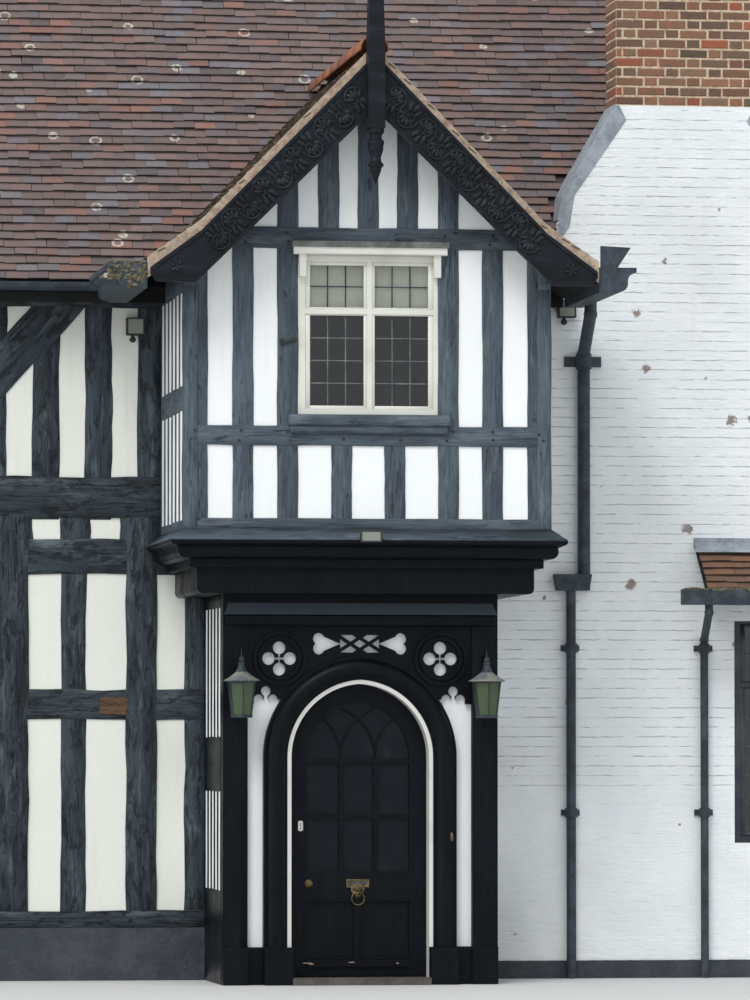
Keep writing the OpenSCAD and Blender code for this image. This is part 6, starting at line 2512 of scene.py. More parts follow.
@dataclass
class FrontDoor:
    """Tracery in the head of the door, its fittings and its wear.

    Attributes:
        face: Depth of the front face of the leaf.
        glass: Depth of the bars before the glass.
        spring: Level at which the arched head starts.
        half: Half of the width of the glazed field.
        bar: Distance of the two upright bars from the middle.
        mask: Middle of the mask of the knocker.
    """

    face: float = 0.166
    glass: float = 0.187
    spring: float = 1.70
    half: float = 0.39
    bar: float = 0.13
    mask: Triple = (0, 0.156, 0.710)

    def arc(self, middle: float, limit: float, outer: bool) -> bpy.types.Object:
        """Part of a ring from the spring line up to a limit along X."""
        piece = ring("arc", (middle, self.glass, self.spring), self.half, 0.009, (math.pi / 2, 0, 0), 72)
        with editing(piece):
            bpy.ops.mesh.select_all(action="SELECT")
            bpy.ops.mesh.bisect(
                plane_co=(0, 0, self.spring), plane_no=(0, 0, 1), use_fill=True, clear_inner=True
            )
            bpy.ops.mesh.select_all(action="SELECT")
            bpy.ops.mesh.bisect(
                plane_co=(limit, 0, 0), plane_no=(1, 0, 0), use_fill=True, clear_outer=outer,
                clear_inner=not outer
            )
        return piece

    def build(self, palette: "Palette") -> None:
        """Builds and dresses every fitting of the door.

        Args:
            palette: Finishes of the house.
        """
        reach = self.half
        arcs = [
            self.arc(reach - self.bar, self.bar, True),
            self.arc(-reach - self.bar, -2 * self.bar, False),
            self.arc(self.bar - reach, -self.bar, False),
            self.arc(reach + self.bar, 2 * self.bar, True),
        ]
        fitted(smooth(merged("door_head_bars", arcs)), palette.gloss, "door")
        kept = copied(
            "door_furniture", "furniture", lambda at, normal: at.z > 1.0 or (abs(at.x) < 0.1 and at.z > 0.718)
        )
        plate = block("plate", (-0.087, self.face - 0.006, 0.7215), (0.087, self.face + 0.002, 0.7845))
        with editing(plate):
            select(plate, Part.FACE, lambda middle, normal: normal.y < -0.9)
            bpy.ops.mesh.inset(thickness=0.010, depth=0)
            bpy.ops.mesh.inset(thickness=0.003, depth=-0.004)
        fitted(
            smooth(merged("door_brass", [kept, eased(plate, 0.0015), *self.animal()]), 50), palette.brass,
            "door", "door_furniture"
        )
        # Painted shade: a black block in the plate's recess stands for the shadowed letter slot.
        flap = eased(
            block("letter_slot_shade", (-0.066, self.face - 0.004, 0.739), (0.066, self.face, 0.767)), 0.002
        )
        fitted(flap, palette.iron, "door")
        self.lock(palette)
        chips = [
            ball("chip", (x, self.face - 0.0245, z), (half, 0.0022, 0.0035), 8)
            for x, z, half in (
                (-0.385, 0.157, 0.040), (-0.355, 0.149, 0.022), (-0.05, 0.162, 0.026), (0.30, 0.154, 0.012)
            )
        ]
        fitted(merged("worn_rail", chips), palette.verge, "door")

    def lock(self, palette: "Palette") -> None:
        """Silver lock plate with a round cylinder, and black blocks as painted shade of its keyholes.

        Args:
            palette: Finishes of the house.
        """
        x, z = -0.434, 1.185
        plate = block(
            "plate", (x - 0.019, self.face - 0.005, z - 0.0385), (x + 0.019, self.face + 0.001, z + 0.0385)
        )
        with editing(plate):
            select(plate, Part.EDGE, lambda middle, along: abs(along.y) > 0.004)
            bpy.ops.mesh.bevel(offset=0.012, segments=4)
        barrel = rod("barrel", (x, self.face - 0.010, z + 0.014), (x, self.face, z + 0.014), 0.010, 20)
        fitted(merged("lock_plate", [eased(plate, 0.001), eased(barrel, 0.001)]), palette.silver, "door")
        # Painted shade: thin black blocks on the cylinder and below it stand for the dark keyholes.
        slot = block(
            "keyhole_shade", (x - 0.0018, self.face - 0.0108, z + 0.006), (x + 0.0018, self.face - 0.009, z + 0.021)
        )
        slot_low = block(
            "keyhole_shade", (x - 0.003, self.face - 0.0058, z - 0.024), (x + 0.003, self.face - 0.004, z - 0.008)
        )
        fitted(merged("keyhole_shades", [slot, slot_low]), palette.iron, "door")

    def animal(self) -> list[bpy.types.Object]:
        """Balls that make the mask's mane, brow, nose, cheeks and ears."""
        x, y, z = self.mask
        parts = [((0, 0.002, 0.002), (0.030, 0.018, 0.024))]
        for lobe in range(17):
            angle = math.radians(-40 + lobe * 260 / 16)
            parts.append(((0.043 * math.cos(angle), 0.004, 0.040 * math.sin(angle)), (0.012, 0.006, 0.012)))
        for lobe in range(9):
            angle = math.radians(14 + lobe * 152 / 8)
            parts.append(((0.031 * math.cos(angle), -0.003, 0.028 * math.sin(angle)), (0.010, 0.009, 0.010)))
        for sign in (-1, 1):
            parts += [
                ((sign * 0.011, -0.016, 0.011), (0.010, 0.006, 0.0045)),
                ((sign * 0.011, -0.015, 0.004), (0.0035, 0.003, 0.0035)),
                ((sign * 0.009, -0.017, -0.006), (0.0095, 0.007, 0.006)),
                ((sign * 0.025, -0.002, 0.027), (0.008, 0.008, 0.010)),
            ]
        parts.append(((0, -0.018, 0.001), (0.0055, 0.008, 0.011)))
        return [ball("mask", (x + a, y + b, z + c), radii, 10) for (a, b, c), radii in parts]


@dataclass
class Doorway:
    """Bell push on the moulded arch round the door."""

    bell: Pair = (0.684, 1.103)

    def build(self, palette: "Palette") -> None:
        """Fits the bell push to the right jamb.

        Args:
            palette: Finishes of the house.
        """
        x, z = self.bell
        y = face_depth("door_arch", x, z)
        pieces = [
            ball("bell", (x, y, z), (0.0155, 0.007, 0.0345), 20),
            ball("bell", (x, y - 0.006, z), (0.006, 0.005, 0.006), 12),
        ]
        fitted(smooth(merged("bell_push", pieces)), palette.brass)


# Carving, lamps and ironwork


@dataclass
class Carving:
    """Vine scrolls on the bargeboards.

    Attributes:
        top: Upper end of the middle line of the right board, along X and Z.
        foot: Lower end of the same line.
        face: Depth of the board's field.
        pitch: Distance between the motifs.
        first: Distance of the first motif from the upper end.
    """

    top: Pair = (0, 6.705)
    foot: Pair = (1.31, 5.392)
    face: float = -0.77
    pitch: float = 0.162
    first: float = 0.20

    def motif(self) -> Stock:
        """One scroll: a curved stem, a leaf of five lobes and two berries, with Z out of the board."""
        stem = ring("stem", (0, 0, 0.004), self.pitch / 2, 0.0095, (0, 0, 0), 48)
        with editing(stem):
            bpy.ops.mesh.select_all(action="SELECT")
            bpy.ops.mesh.bisect(plane_co=(0, 0, 0), plane_no=(0, 1, 0), use_fill=True, clear_inner=True)
        pieces = [stem, ring("curl", (0.020, 0.010, 0.004), 0.026, 0.0075, (0, 0, 0), 24)]
        for degrees, reach in ((30, 0.050), (62, 0.047), (95, 0.045), (128, 0.047), (160, 0.050)):
            angle = math.radians(degrees)
            middle = (-0.004 + reach * math.cos(angle), reach * math.sin(angle), 0.004)
            pieces.append(ball("leaf", middle, (0.030, 0.0165, 0.011), 12, (0, 0, angle)))
        for degrees, reach in ((-50, 0.060), (-90, 0.066), (-130, 0.060)):
            angle = math.radians(degrees)
            middle = (reach * math.cos(angle), reach * math.sin(angle), 0.003)
            pieces.append(ball("leaf", middle, (0.036, 0.019, 0.011), 12, (0, 0, angle * 0.5 - 0.8)))
        for x, y in ((0.020, 0.010), (0.006, -0.016), (0.068, -0.030)):
            pieces.append(ball("berry", (x, y, 0.006), (0.011, 0.011, 0.009), 10))
        unit = merged("unit_scroll", pieces)
        return Stock.of(smooth(unit, 60))

    def rosette(self) -> Stock:
        """Flower of six petals for the foot of a board."""
        pieces = []
        for a in (math.radians(60 * k) for k in range(6)):
            middle = (0.030 * math.cos(a), 0.030 * math.sin(a), 0.004)
            pieces.append(ball("petal", middle, (0.024, 0.013, 0.009), 12, (0, 0, a)))
        pieces.append(ball("heart", (0, 0, 0.007), (0.013, 0.013, 0.008), 12))
        return Stock.of(smooth(merged("unit_rosette", pieces), 60))

    def build(self, palette: "Palette") -> None:
        """Lays the scrolls down both boards, turned over in turn.

        Args:
            palette: Finishes of the house.
        """
        line = Vector((self.foot[0] - self.top[0], 0, self.foot[1] - self.top[1]))
        count = int((line.length - self.first) / self.pitch)
        places, flowers = [], []
        for sign in (-1, 1):
            along = Vector((sign * line.x, 0, line.z)).normalized()
            across = Vector((-sign * line.z, 0, line.x)).normalized()
            if across.z < 0:
                across = -across
            out = Vector((0, -1, 0))
            start = Vector((sign * self.top[0], self.face, self.top[1]))
            for k in range(count):
                flip = 1 if k % 2 == 0 else -1
                middle = start + along * (self.first + k * self.pitch)
                basis = Matrix((along, flip * 1.22 * across, out)).transposed().to_4x4()
                places.append(Matrix.Translation(middle) @ basis)
            middle = Vector((sign * 1.475, self.face, 5.315))
            flowers.append(Matrix.Translation(middle) @ Matrix((along, across, out)).transposed().to_4x4())
        fitted(smooth(self.motif().at("bargeboard_scrolls", places, 3), 60), palette.raised)
        fitted(smooth(self.rosette().at("bargeboard_rosettes", flowers, 5), 60), palette.raised)


@dataclass
class Lanterns:
    """Six sided lanterns on both posts of the porch.

    Attributes:
        at: Distance from the middle, and depth.
        base: Level of the foot of the glass.
        glass: Radius at the foot and at the top of the glass, and its height.
        cap: Height of the cap.
    """

    at: Pair = (0.925, -0.20)
    base: float = 2.007
    glass: Triple = (0.080, 0.110, 0.261)
    cap: float = 0.068

    def build(self, palette: "Palette") -> None:
        """Builds both lanterns from metal, cap and glass.

        Args:
            palette: Finishes of the house.
        """
        metal, arms, caps, panes = [], [], [], []
        for sign in (-1, 1):
            x, y = sign * self.at[0], self.at[1]
            low_r, high_r, tall = self.glass
            head = self.base + tall
            panes.append(rod("pane", (x, y, self.base), (x, y, head), low_r - 0.004, 6, high_r - 0.004))
            for k in range(6):
                angle = math.radians(30 + 60 * k)
                foot = (x + low_r * math.cos(angle), y + low_r * math.sin(angle), self.base)
                top = (x + high_r * math.cos(angle), y + high_r * math.sin(angle), head)
                metal.append(rod("rib", foot, top, 0.0055, 8))
            metal.append(
                turned(
                    "rim", (x, y, self.base),
                    ((0.070, -0.014), (0.088, -0.012), (0.090, 0.004), (0.078, 0.008)), 6
                )
            )
            metal.append(
                turned(
                    "band", (x, y, head), ((0.108, -0.014), (0.118, -0.012), (0.120, 0.0), (0.108, 0.002)), 6
                )
            )
            outline = (
                (0.125, -0.004), (0.148, 0.0), (0.148, 0.005), (0.112, 0.022), (0.078, 0.044),
                (0.046, self.cap)
            )
            caps.append(eased(turned("cap", (x, y, head), outline, 6), 0.002))
            crown = (
                (0.045, 0), (
                    0.040, 0.012
                ), (0.026, 0.040), (0.022, 0.056), (0.027, 0.060), (0.027, 0.070), (0.014, 0.074),
                (0.022, 0.088), (0.022, 0.098), (0.012, 0.112), (0.005, 0.118), (0.003, 0.150), (
                    0.0005, 0.184
                ),
            )
            metal.append(turned("crown", (x, y, head + self.cap), crown, 16))
            arms.append(
                eased(block("arm", (x - 0.011, y + 0.01, 2.440), (x + 0.011, -0.004, 2.462)), 0.004, 2)
            )
            arms.append(eased(block("plate", (x - 0.030, -0.010, 2.356), (x + 0.030, 0.0, 2.546)), 0.006, 2))
            arms.append(ring("scroll", (x, -0.055, 2.404), 0.034, 0.006, (0, math.pi / 2, 0), 28))
        fitted(smooth(merged("lantern_metal", metal), 35), palette.lantern, "house", "lanterns")
        fitted(smooth(merged("lantern_arms", arms), 35), palette.gloss)
        fitted(smooth(merged("lantern_caps", caps), 25), palette.cap)
        fitted(merged("lantern_panes", panes), palette.pane)


@dataclass
class Floodlights:
    """Square lamps on the wall, each with a glass face and a sensor under it.

    Attributes:
        size: Width, depth and height of a lamp.
        places: Middle along X and lower level of each lamp on the main wall.
        small: Size of the lamp on the cornice.
    """

    size: Triple = (0.14, 0.08, 0.135)
    places: tuple[Pair, ...] = ((-1.583, 4.935), (1.775, 5.105))
    small: Triple = (0.16, 0.06, 0.09)

    def lamp(self, low: Triple, size: Triple) -> tuple[bpy.types.Object, bpy.types.Object]:
        """Housing with a sunk face, and the glass in it.

        Args:
            low: Lowest corner.
            size: Width, depth and height.

        Returns:
            The housing and its glass.
        """
        high = tuple(a + b for a, b in zip(low, size))
        housing = block("housing", low, high)
        with editing(housing):
            select(housing, Part.FACE, lambda middle, normal: normal.y < -0.9)
            bpy.ops.mesh.inset(thickness=0.009, depth=0)
            bpy.ops.mesh.inset(thickness=0.002, depth=-0.010)
        pane = block(
            "pane", (low[0] + 0.012, low[1] + 0.006, low[2] + 0.012),
            (high[0] - 0.012, low[1] + 0.02, high[2] - 0.012)
        )
        return eased(housing, 0.004, 2), pane

    def build(self, palette: "Palette") -> None:
        """Builds the three lamps and the sensors of two of them.

        Args:
            palette: Finishes of the house.
        """
        housings, panes = [], []
        width, depth, _ = self.size
        for x, z in self.places:
            housing, pane = self.lamp((x - width / 2, 1.2 - depth, z), self.size)
            housings += [
                housing,
                rod("neck", (x - 0.02, 1.165, z - 0.022), (x - 0.02, 1.165, z + 0.004), 0.014, 14),
                ball("sensor", (x - 0.02, 1.160, z - 0.034), (0.026, 0.024, 0.022), 16),
            ]
            panes.append(pane)
        housing, pane = self.lamp((-self.small[0] / 2, -0.569, 3.292), self.small)
        fitted(
            smooth(merged("floodlight_housings", [*housings, housing]), 35), palette.lamp, "house",
            "floodlights"
        )
        fitted(merged("floodlight_panes", [*panes, pane]), palette.flood)


@dataclass
class Canopy:
    """Tiled canopy over the right window, with its lead and end boards.

    Attributes:
        ends: Left and right end.
        eave: Depth and level of its eave.
        wall: Depth and level of its head.
    """

    ends: Pair = (2.80, 5.15)
    eave: Pair = (0.75, 3.01)
    wall: Pair = (1.2, 3.37)

    def build(self, tiler: Tiler, palette: "Palette") -> None:
        """Tiles the canopy and flashes its head.

        Args:
            tiler: Lays the tiles.
            palette: Finishes of the house.
        """
        run, rise = self.wall[0] - self.eave[0], self.wall[1] - self.eave[1]
        length = self.ends[1] - self.ends[0]
        slope = Slope((self.ends[0], *self.eave), (1, 0, 0), (0, 1, 0), ((0, 0), (run, rise)), length)
        fitted(lowered("canopy", "canopy_boards", 0.044), palette.roof_timber, "house", "canopy")
        short = lambda at: at[:, 2] < self.wall[1] - 0.03
        fitted(tiler.lay("canopy_tile_courses", slope, short), palette.canopy_tiles)
        lead = block("lead", (self.ends[0] - 0.02, 1.183, 3.33), (self.ends[1] + 0.02, 1.198, 3.405))
        apron = block("lead", (self.ends[0] - 0.02, 1.06, 3.372), (self.ends[1] + 0.02, 1.195, 3.378))
        with editing(apron):
            bpy.ops.mesh.select_all(action="SELECT")
            bpy.ops.transform.rotate(
                value=-math.atan2(rise, run), orient_axis="X", center_override=(0, 1.195, 3.378)
            )
        fitted(merged("canopy_lead", [eased(lead, 0.003, 2), eased(apron, 0.002)]), palette.lead)
        boards = [
            block(
                "board", (x, self.eave[0] + 0.01, 2.90), (x + 0.03, self.wall[0] - 0.01, 2.94)
            ) for x in (2.86, 5.06)
        ]
        fitted(eased(merged("canopy_boards_low", boards), 0.004), palette.gloss)


@dataclass
class Dressings:
    """Small things on the outside: flank panels, the cornice's weathered top, pegs and a bare patch."""

    def build(self, palette: "Palette") -> None:
        """Builds each of them.

        Args:
            palette: Finishes of the house.
        """
        self.flank_panels(palette.plaster)
        self.cornice_top(palette.weathered)
        # The lintel's chamfer takes the weathered finish as a painted highlight.
        self.lintel(palette.gloss, palette.weathered)
        self.pegs(palette.wrought)
        self.bare_patch(palette.bare)
        self.moss(palette.moss)

    def moss(self, green: Finish) -> None:
        """Crust of moss on the end of the left box gutter and on the canopy's gutter.

        Args:
            green: Finish of the moss.
        """
        unit = Stock.of(ball("unit_lump", (0, 0, 0), (1, 1, 1), 8))
        rng = np.random.default_rng(83)
        places = []
        for low, high, count in (
            ((-1.975, -0.722, 5.22), (-1.70, -0.70, 5.352), 190),
            ((-1.975, -0.70, 5.338), (-1.70, -0.20, 5.352), 150),
            ((-1.86, -0.722, 5.16), (-1.70, -0.71, 5.25), 60),
            ((2.60, 0.642, 2.985), (3.20, 0.665, 2.995), 70),
        ):
            for _ in range(count):
                spot = [rng.uniform(a, b) for a, b in zip(low, high)]
                size = rng.uniform(0.006, 0.017)
                places.append(
                    Matrix.Translation(spot) @ Matrix.Diagonal(
                        (size * rng.uniform(1, 1.6), size, size * 0.8, 1)
                    )
                )
        fitted(smooth(unit.at("gutter_moss", places, 6), 80), green)

    def flank_panels(self, plaster: Finish) -> None:
        """Plaster between the flank studs of the porch, near the face of the timbers.

        Args:
            plaster: Finish of the sheets.
        """
        panels = []
        for sign in (-1, 1):
            for face, low_y, foot, head in ((1.034, 0.05, 0.30, 2.90), (1.375, -0.36, 3.42, 5.30)):
                xs = sorted((sign * (face - 0.03), sign * face))
                panels.append(block("panel", (xs[0], low_y, foot), (xs[1], 1.195, head)))
        fitted(merged("porch_flank_panels", panels), plaster)

    def cornice_top(self, timber: Finish) -> None:
        """Sloping top of the cornice on three sides, laid as three mitred boards.

        Args:
            timber: Finish of the boards.
        """
        (low_r, low_z), (high_r, high_z) = (0.111, 3.316), (-0.004, 3.404)
        pieces = []
        for side, half_low, half_high in (
            (JETTY_FRONT, 1.38 + 0.109, 1.38), (JETTY_LEFT, 0, 0), (JETTY_RIGHT, 0, 0)
        ):
            unit = block("top", (0, 0, 0), (1, 1, 1))
            points = Stock.of(unit)
            u, v, w = points.points.T
            out = low_r + (high_r - low_r) * v
            level = low_z + (high_z - low_z) * v - 0.006 * (1 - w)
            if side is JETTY_FRONT:
                half = half_low + (half_high - half_low) * v
                along = (2 * u - 1) * half
            elif side is JETTY_LEFT:
                along = -1.2 + u * (1.6 + 0.109 * (1 - v))
            else:
                along = 1.2 - u * (1.6 + 0.109 * (1 - v))
            placed = side.place(np.stack([along, level, out], axis=1))[None]
            grain = np.stack([along + 7, level * 0 + v * 0.13, w * 0.006], axis=1)[None]
            pieces.append(points.laid("top", placed, np.array([0.5]), grain))
        fitted(outward(merged("cornice_top", pieces)), timber)

    def lintel(self, gloss: Finish, worn: Finish) -> None:
        """Broad chamfered moulding over the tracery, with a bead along its foot; the chamfer's pale finish is
        a painted highlight.

        Args:
            gloss: Finish of the sound timber.
            worn: Pale weathered finish of the chamfer, standing for a painted highlight of the sky in its
                gloss.
        """
        beam = block("lintel_moulding", (-1.032, -0.042, 2.768), (1.032, 0.004, 2.858))
        with editing(beam):
            select(beam, Part.FACE, lambda middle, normal: normal.z > 0.9)
            bpy.ops.transform.resize(value=(0.97, 0.05, 1), center_override=(0, 0.004, 2.858))
        bead = eased(block("lintel_bead", (-1.02, -0.036, 2.688), (1.02, 0.004, 2.7675)), 0.012, 3)
        # Painted highlight: the chamfer is dressed pale so that it reads as gloss catching the sky; the bead
        # stays black.
        fitted(smooth(beam, 30), worn)
        fitted(smooth(bead, 30), gloss)

    def pegs(self, dark: Finish) -> None:
        """Oak pegs at the joints of the porch front and of the main front.

        Args:
            dark: Finish of the pegs.
        """
        unit = Stock.of(eased(rod("unit_peg", (0, 0.004, 0), (0, -0.007, 0), 0.011, 8, 0.009), 0.001))
        rng = np.random.default_rng(41)
        spots = []
        for x in (-1.30, -0.94, -0.605, -0.20, 0.20, 0.605, 0.94, 1.30):
            for z in (4.06, 4.12, 5.53, 5.60):
                if abs(x) > 0.3 or z < 5:
                    spots.append((x + rng.normal(0, 0.022), -0.403, z + rng.normal(0, 0.006)))
        for i in range(4):
            x = -(1.515 + 0.985 * i)
            for z in (2.06, 2.15, 3.17, 3.29):
                spots.append((x + rng.normal(0, 0.03), 1.197, z))
        for i in range(9):
            spots.append((-(1.455 + 0.405 * i) + rng.normal(0, 0.03), 1.197, 3.69 + rng.normal(0, 0.02)))
        fitted(unit.at("frame_pegs", [Matrix.Translation(spot) for spot in spots], 9), dark)

    def bare_patch(self, bare: Finish) -> None:
        """Bare brown patch on the middle rail, left of the porch.

        Args:
            bare: Finish of the bare wood.
        """
        middle = (-1.738, 1.1985, 2.092)
        patch = block("bare_patch", (-1.845, 1.194, 2.03), (-1.632, 1.203, 2.155))
        with editing(patch):
            bpy.ops.mesh.select_all(action="SELECT")
            bpy.ops.mesh.subdivide(number_cuts=7)
            bpy.ops.transform.vertex_random(offset=0.009, seed=4)
            bpy.ops.transform.resize(value=(1, 0.35, 1), center_override=middle)
        fitted(smooth(patch, 60), bare)


# Studio


@dataclass
class Studio:
    """Camera at the photograph's angle, soft lamps and a pale floor.

    Attributes:
        camera_at: Place of the camera.
        towards: Direction that it looks in.
        lens: Focal length in millimetres.
    """

    camera_at: Triple = (-6.43, -45.4, 1.62)
    towards: Triple = (0.144, 1.0, 0.0443)
    lens: float = 220.0

    def build(self) -> None:
        """Sets up the camera, the lamps, the world and the floor."""
        scene = bpy.context.scene
        scene.view_settings.view_transform = "Standard"
        camera = bpy.data.cameras.new("camera")
        camera.lens = self.lens
        camera.sensor_width = 36.0
        camera.clip_end = 400
        holder = bpy.data.objects.new("camera", camera)
        holder.location = self.camera_at
        holder.rotation_euler = Vector(self.towards).to_track_quat("-Z", "Y").to_euler()
        scene.collection.objects.link(holder)
        scene.camera = holder
        self.lamp("soft_sun", (-12, -20, 26), 1.4, 25)
        self.lamp("soft_fill", (-30, -5, 9), 0.9, 60)
        self.world()
        bpy.ops.object.select_all(action="DESELECT")
        bpy.ops.mesh.primitive_circle_add(vertices=64, radius=80, fill_type="NGON", location=(0, 3, -0.002))
        floor = named("studio_floor")
        material = bpy.data.materials.new("studio_floor")
        material.use_nodes = True
        shader = material.node_tree.nodes["Principled BSDF"]
        shader.inputs["Base Color"].default_value = (0.62, 0.62, 0.61, 1)
        shader.inputs["Roughness"].default_value = 0.9
        floor.data.materials.append(material)

    def lamp(self, name: str, at: Triple, strength: float, spread: float) -> None:
        """Adds a broad sun that shines from a point towards the house.

        Args:
            name: Name of the lamp.
            at: Point it shines from.
            strength: Strength of its light.
            spread: Angle it seems to fill, in degrees.
        """
        light = bpy.data.lights.new(name, "SUN")
        light.energy = strength
        light.angle = math.radians(spread)
        holder = bpy.data.objects.new(name, light)
        holder.rotation_euler = (-Vector(at)).to_track_quat("-Z", "Y").to_euler()
        bpy.context.scene.collection.objects.link(holder)

    def world(self) -> None:
        """Even light from a pale sky."""
        world = bpy.data.worlds.new("studio")
        bpy.context.scene.world = world
        world.use_nodes = True
        back = world.node_tree.nodes["Background"]
        back.inputs["Color"].default_value = (0.93, 0.96, 1.0, 1)
        back.inputs["Strength"].default_value = 0.82


@dataclass
class Palette:
    """Every finish of the house."""

    effects: Effects = field(default_factory=Effects)

    def __post_init__(self) -> None:
        """Mixes the finishes."""
        e = self.effects
        slate = dict(dark=paint(58, 67, 75), base=paint(84, 96, 105), worn=paint(116, 126, 134), wear=0.66)
        rough = dict(
            dark=paint(34, 41, 47), base=paint(60, 70, 77), worn=paint(102, 112, 119), wear=0.95, film=0.7
        )
        black = dict(dark=paint(8, 11, 16), base=paint(13, 18, 25), worn=paint(28, 35, 43), wear=0.12)
        carved = dict(dark=paint(14, 17, 22), base=paint(24, 29, 37), worn=paint(46, 53, 63), wear=0.3)
        raised = dict(dark=paint(12, 15, 19), base=paint(27, 32, 38), worn=paint(60, 68, 76), wear=0.2)
        raw = dict(dark=paint(70, 54, 40), base=paint(112, 88, 66), worn=paint(146, 122, 94), wear=0.3)
        shaded = dict(dark=paint(20, 20, 21), base=paint(32, 32, 33), worn=paint(52, 51, 50), wear=0.3)
        gloss = dict(rough=0.42, specular=0.12, relief=0.002, cracks=0.4, film=0.3)
        self.weathered = Timber("weathered_timber", e, **slate)
        self.front_timber = Timber("front_timber", e, **rough, relief=0.011)
        self.gloss_beams = Timber("gloss_beams", e, **black, **gloss)
        self.gloss = Timber("gloss_timber", e, **black, **gloss, flow=Flow.UPRIGHT)
        self.carved = Timber(
            "carved_timber", e, **carved, rough=0.5, relief=0.003, cracks=0.3, specular=0.2, flow=Flow.LEVEL
        )
        self.raised = Timber(
            "raised_timber", e, **raised, rough=0.5, relief=0.002, specular=0.25, flow=Flow.LEVEL
        )
        self.bare = Timber("bare_timber", e, **raw, rough=0.8, relief=0.008, flow=Flow.LEVEL)
        self.roof_timber = Timber("roof_timber", e, **shaded, rough=0.85, flow=Flow.LEVEL)
        self.boards = Timber(
            "floor_boards", e, dark=paint(84, 58, 38), base=paint(128, 94, 64), worn=paint(
                150, 118, 86
            ), flow=Flow.LEVEL
        )
        self.plaster = Plaster(
            "plaster", e, base=paint(
                247, 250, 250
            ), stain=paint(228, 230, 222), streak=paint(200, 202, 194), amount=0.3, relief=0.0025
        )
        # Creamier and darker than the porch plaster: partly a cream limewash, partly painted shade on the
        # main front's panels.
        self.limewash_and_shade = Plaster(
            "limewash_and_shade_plaster", e, base=paint(
                238, 240, 230
            ), stain=paint(218, 218, 202), streak=paint(196, 196, 182),
            amount=0.35, relief=0.003,
        )
        self.white_brick = PaintedBrick(
            "painted_brick",
            e,
            base=paint(245, 249, 250),
            shade=paint(206, 213, 216),
            stain=paint(206, 202, 182),
            bare=paint(150, 108, 82),
        )
        self.white = Paint(
            "white_paint", e, base=paint(
                222, 222, 216
            ), grime=paint(160, 158, 148), chip=paint(140, 132, 116), rough=0.35
        )
        self.cream = Paint(
            "cream_paint",
            e,
            base=paint(226, 226, 216),
            grime=paint(168, 164, 148),
            chip=paint(120, 108, 92),
            other=paint(30, 37, 47),
        )
        clay = ((112, 95, 91), (120, 98, 91), (104, 94, 94), (136, 98, 86), (94, 85, 85), (118, 116, 122))
        clay += ((117, 95, 89), (108, 92, 87), (122, 103, 97), (104, 100, 105), (114, 97, 93), (106, 91, 85))
        self.tiles = Clay("roof_tiles", e, paints(*clay), lichen=0.1, moss=0.0, gauge=0.0875, rings=0.7)
        mossy = paints((122, 104, 80), (110, 96, 72), (134, 110, 84), (100, 88, 68), (126, 114, 88))
        smeared = (-0.69, paint(206, 184, 160))
        self.porch_tiles = Clay("porch_tiles", e, mossy, lichen=0.35, moss=0.4, gauge=0.0875, verge=smeared)
        orange = paints((124, 92, 72), (112, 84, 68), (134, 96, 70), (100, 80, 66))
        self.canopy_tiles = Clay("canopy_tiles", e, orange, lichen=0.2, moss=0.1, gauge=0.0875)
        self.ridge = Clay("ridge_clay", e, paints((156, 98, 70), (140, 86, 62), (124, 82, 64)), moss=0.2)
        burnt = (
            (124, 92, 72), (104, 80, 66), (140, 100, 76), (120, 100, 82), (158, 88, 64), (128, 94, 72),
            (98, 80, 68)
        )
        self.stack_brick = Clay(
            "chimney_brick", e, paints(*burnt), lichen=0.3, moss=0.0, relief=0.008, spread=0.2
        )
        self.pots = Clay("terracotta", e, paints((168, 104, 72), (156, 92, 64)), lichen=0.3, moss=0.1)
        self.mortar = Stone(
            "brick_mortar", e, base=paint(212, 192, 166), other=paint(172, 148, 124), scale=20, relief=0.006
        )
        self.verge = Stone(
            "verge_mortar", e, base=paint(196, 176, 156), other=paint(150, 128, 112), scale=14, growth=0.35
        )
        self.moss = Stone(
            "valley_moss", e, base=paint(70, 66, 48), other=paint(122, 116, 96), scale=30, relief=0.008,
            growth=0.4
        )
        self.plinth = Stone(
            "painted_plinth", e, base=paint(44, 50, 60), other=paint(66, 70, 76), scale=4, rough=0.6
        )
        self.floor_stone = Stone(
            "floor_stone", e, base=paint(138, 130, 118), other=paint(112, 106, 98), scale=3
        )
        self.threshold = Stone("threshold_stone", e, base=paint(94, 90, 84), other=paint(72, 69, 64), scale=7)
        self.lead = Metal(
            "lead", e, paint(166, 174, 182), paint(138, 146, 154), metallic=0.2, rough=0.55, relief=0.004
        )
        self.hood_lead = Metal(
            "hood_lead", e, paint(118, 122, 118), paint(86, 90, 86), metallic=0.1, rough=0.7
        )
        self.cames = Metal(
            "window_lead", e, paint(92, 96, 98), paint(140, 142, 138), metallic=0.3, rough=0.55
        )
        self.brass = Metal("brass", e, paint(130, 118, 88), paint(86, 76, 56), rough=0.4)
        self.silver = Metal(
            "silver_plate", e, paint(214, 214, 206), paint(176, 176, 168), metallic=0.4, rough=0.35
        )
        self.iron = Metal(
            "black_iron", e, paint(50, 58, 65), paint(74, 83, 90), metallic=0.0, rough=0.45, growth=0.12,
            specular=0.2
        )
        self.wrought = Metal("wrought_iron", e, paint(40, 42, 44), paint(70, 64, 58), metallic=0.3, rough=0.6)
        self.lantern = Metal(
            "lantern", e, paint(40, 48, 54), paint(66, 76, 84), metallic=0.0, rough=0.5, specular=0.25
        )
        self.cap = Metal(
            "lantern_cap", e, paint(92, 102, 110), paint(140, 140, 124), metallic=0.1, rough=0.6, growth=0.25
        )
        self.lamp = Metal("lamp_housing", e, paint(34, 36, 36), paint(58, 60, 58), metallic=0.1, rough=0.45)
        self.flood = Glass("flood_glass", e, tint=paint(150, 156, 146), clear=0.2, rough=0.12)
        self.pane = Glass("lantern_glass", e, tint=paint(72, 88, 60), clear=0.15, rough=0.1)
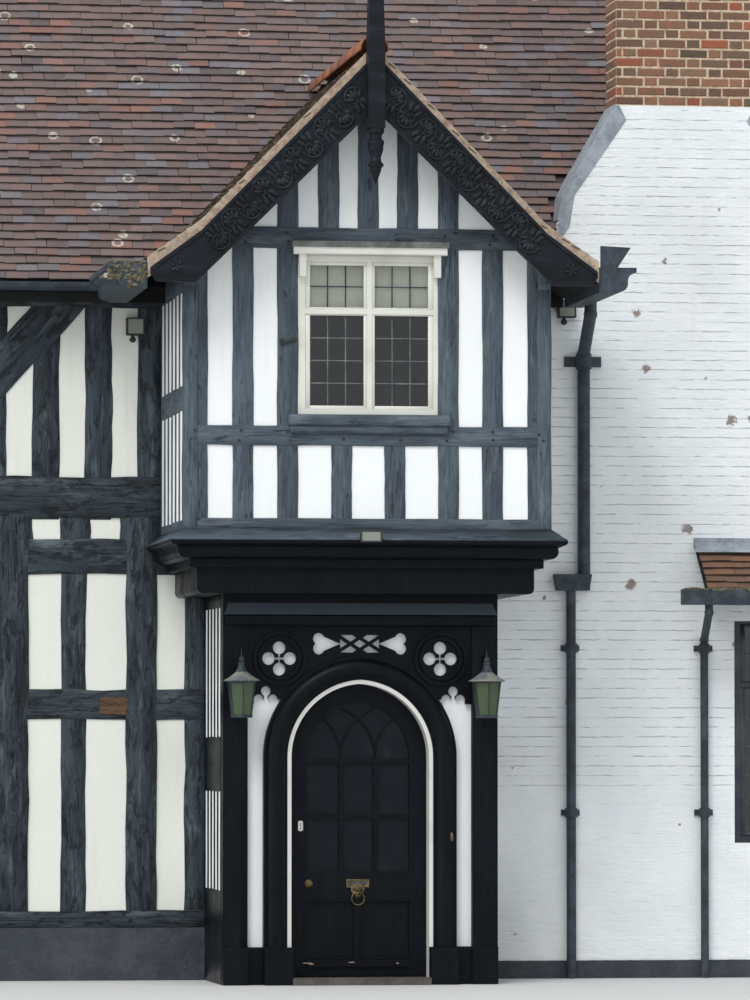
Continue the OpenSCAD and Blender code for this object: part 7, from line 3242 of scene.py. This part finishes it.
        self.glass = Glass("glass", e, tint=(0.88, 0.91, 0.9, 1))
        # Painted shade: the near-black tint stands for the unlit inside seen through the door glass.
        self.glass_with_painted_shade = Glass("glass_with_painted_shade", e, tint=(0.012, 0.016, 0.022, 1), clear=0.3, index=1.2)
        self.blind = Stone(
            "blind", e, base=paint(214, 214, 196), other=paint(190, 190, 174), scale=2, relief=0.001
        )


SOLIDS = {
    "plaster": (
        "left_gable_plaster", "back_plaster", "porch_front_plaster",
        "porch_side_plaster", "porch_upper_plaster", "porch_soffit",
    ),
    "plinth": ("plinth",),
    "floor_stone": ("ground_floor",),
    "boards": ("upper_floor",),
    "white_brick": ("front_wall_right", "right_gable_wall"),
    "gloss": ("porch_front_frame", "door_arch", "door_tracery", "front_door", "jetty"),
    "carved": ("bargeboards", "finial_post"),
    "white": ("door_lining",),
    "threshold": ("door_threshold",),
    "glass": ("window_glass",),
    # door_glass takes glass tinted near black as painted shade of the unlit inside.
    "glass_with_painted_shade": ("door_glass",),
    "brass": ("door_furniture", "knocker_ring"),
    "iron": ("door_pintles", "gutters_and_pipes"),
    "cream": ("window_frames",),
    "canopy_tiles": ("canopy",),
    "lantern": ("lanterns",),
    "lamp": ("floodlights",),
}


def dress_solids(palette: Palette) -> None:
    """Gives the CAD nodes that still show their finishes.

    Args:
        palette: Finishes of the house.
    """
    for finish, nodes in SOLIDS.items():
        for node in nodes:
            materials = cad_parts[node].data.materials
            materials.clear()
            materials.append(getattr(palette, finish).material)


def main() -> None:
    """Builds the sub-assemblies in order."""
    logging.basicConfig(level=logging.INFO, format="%(name)s: %(message)s")
    palette = Palette()
    Studio().build()
    tiler, carpenter, mason = Tiler(), Carpenter(), Mason(joint=0.015, rim=0.006)
    painter = Mason(joint=0.0008, rim=0.0014, ends=0.0, seed=37)
    Roofs().build(
        tiler, palette.tiles, palette.porch_tiles, palette.roof_timber, palette.verge, palette.ridge
    )
    walls = FramedWalls()
    walls.build(
        carpenter, Carpenter(wave=0.019, seed=17), palette.weathered, palette.front_timber,
        palette.gloss_beams
    )
    # The main front panels' darker tone is partly painted shade.
    walls.panels(palette.limewash_and_shade)
    brickwork = Brickwork()
    brickwork.narrow_flashing(palette.lead)
    brickwork.build(mason, painter, palette.white_brick, palette.stack_brick, palette.mortar, palette.pots)
    Glazing(Carpenter(cuts=1, rim=0.002, wave=0.0, seed=61)).build(palette)
    for assembly in (FrontDoor(), Doorway(), Carving(), Lanterns(), Floodlights(), Dressings()):
        assembly.build(palette)
    Canopy().build(tiler, palette)
    dress_solids(palette)


if __name__ == "__main__":
    main()
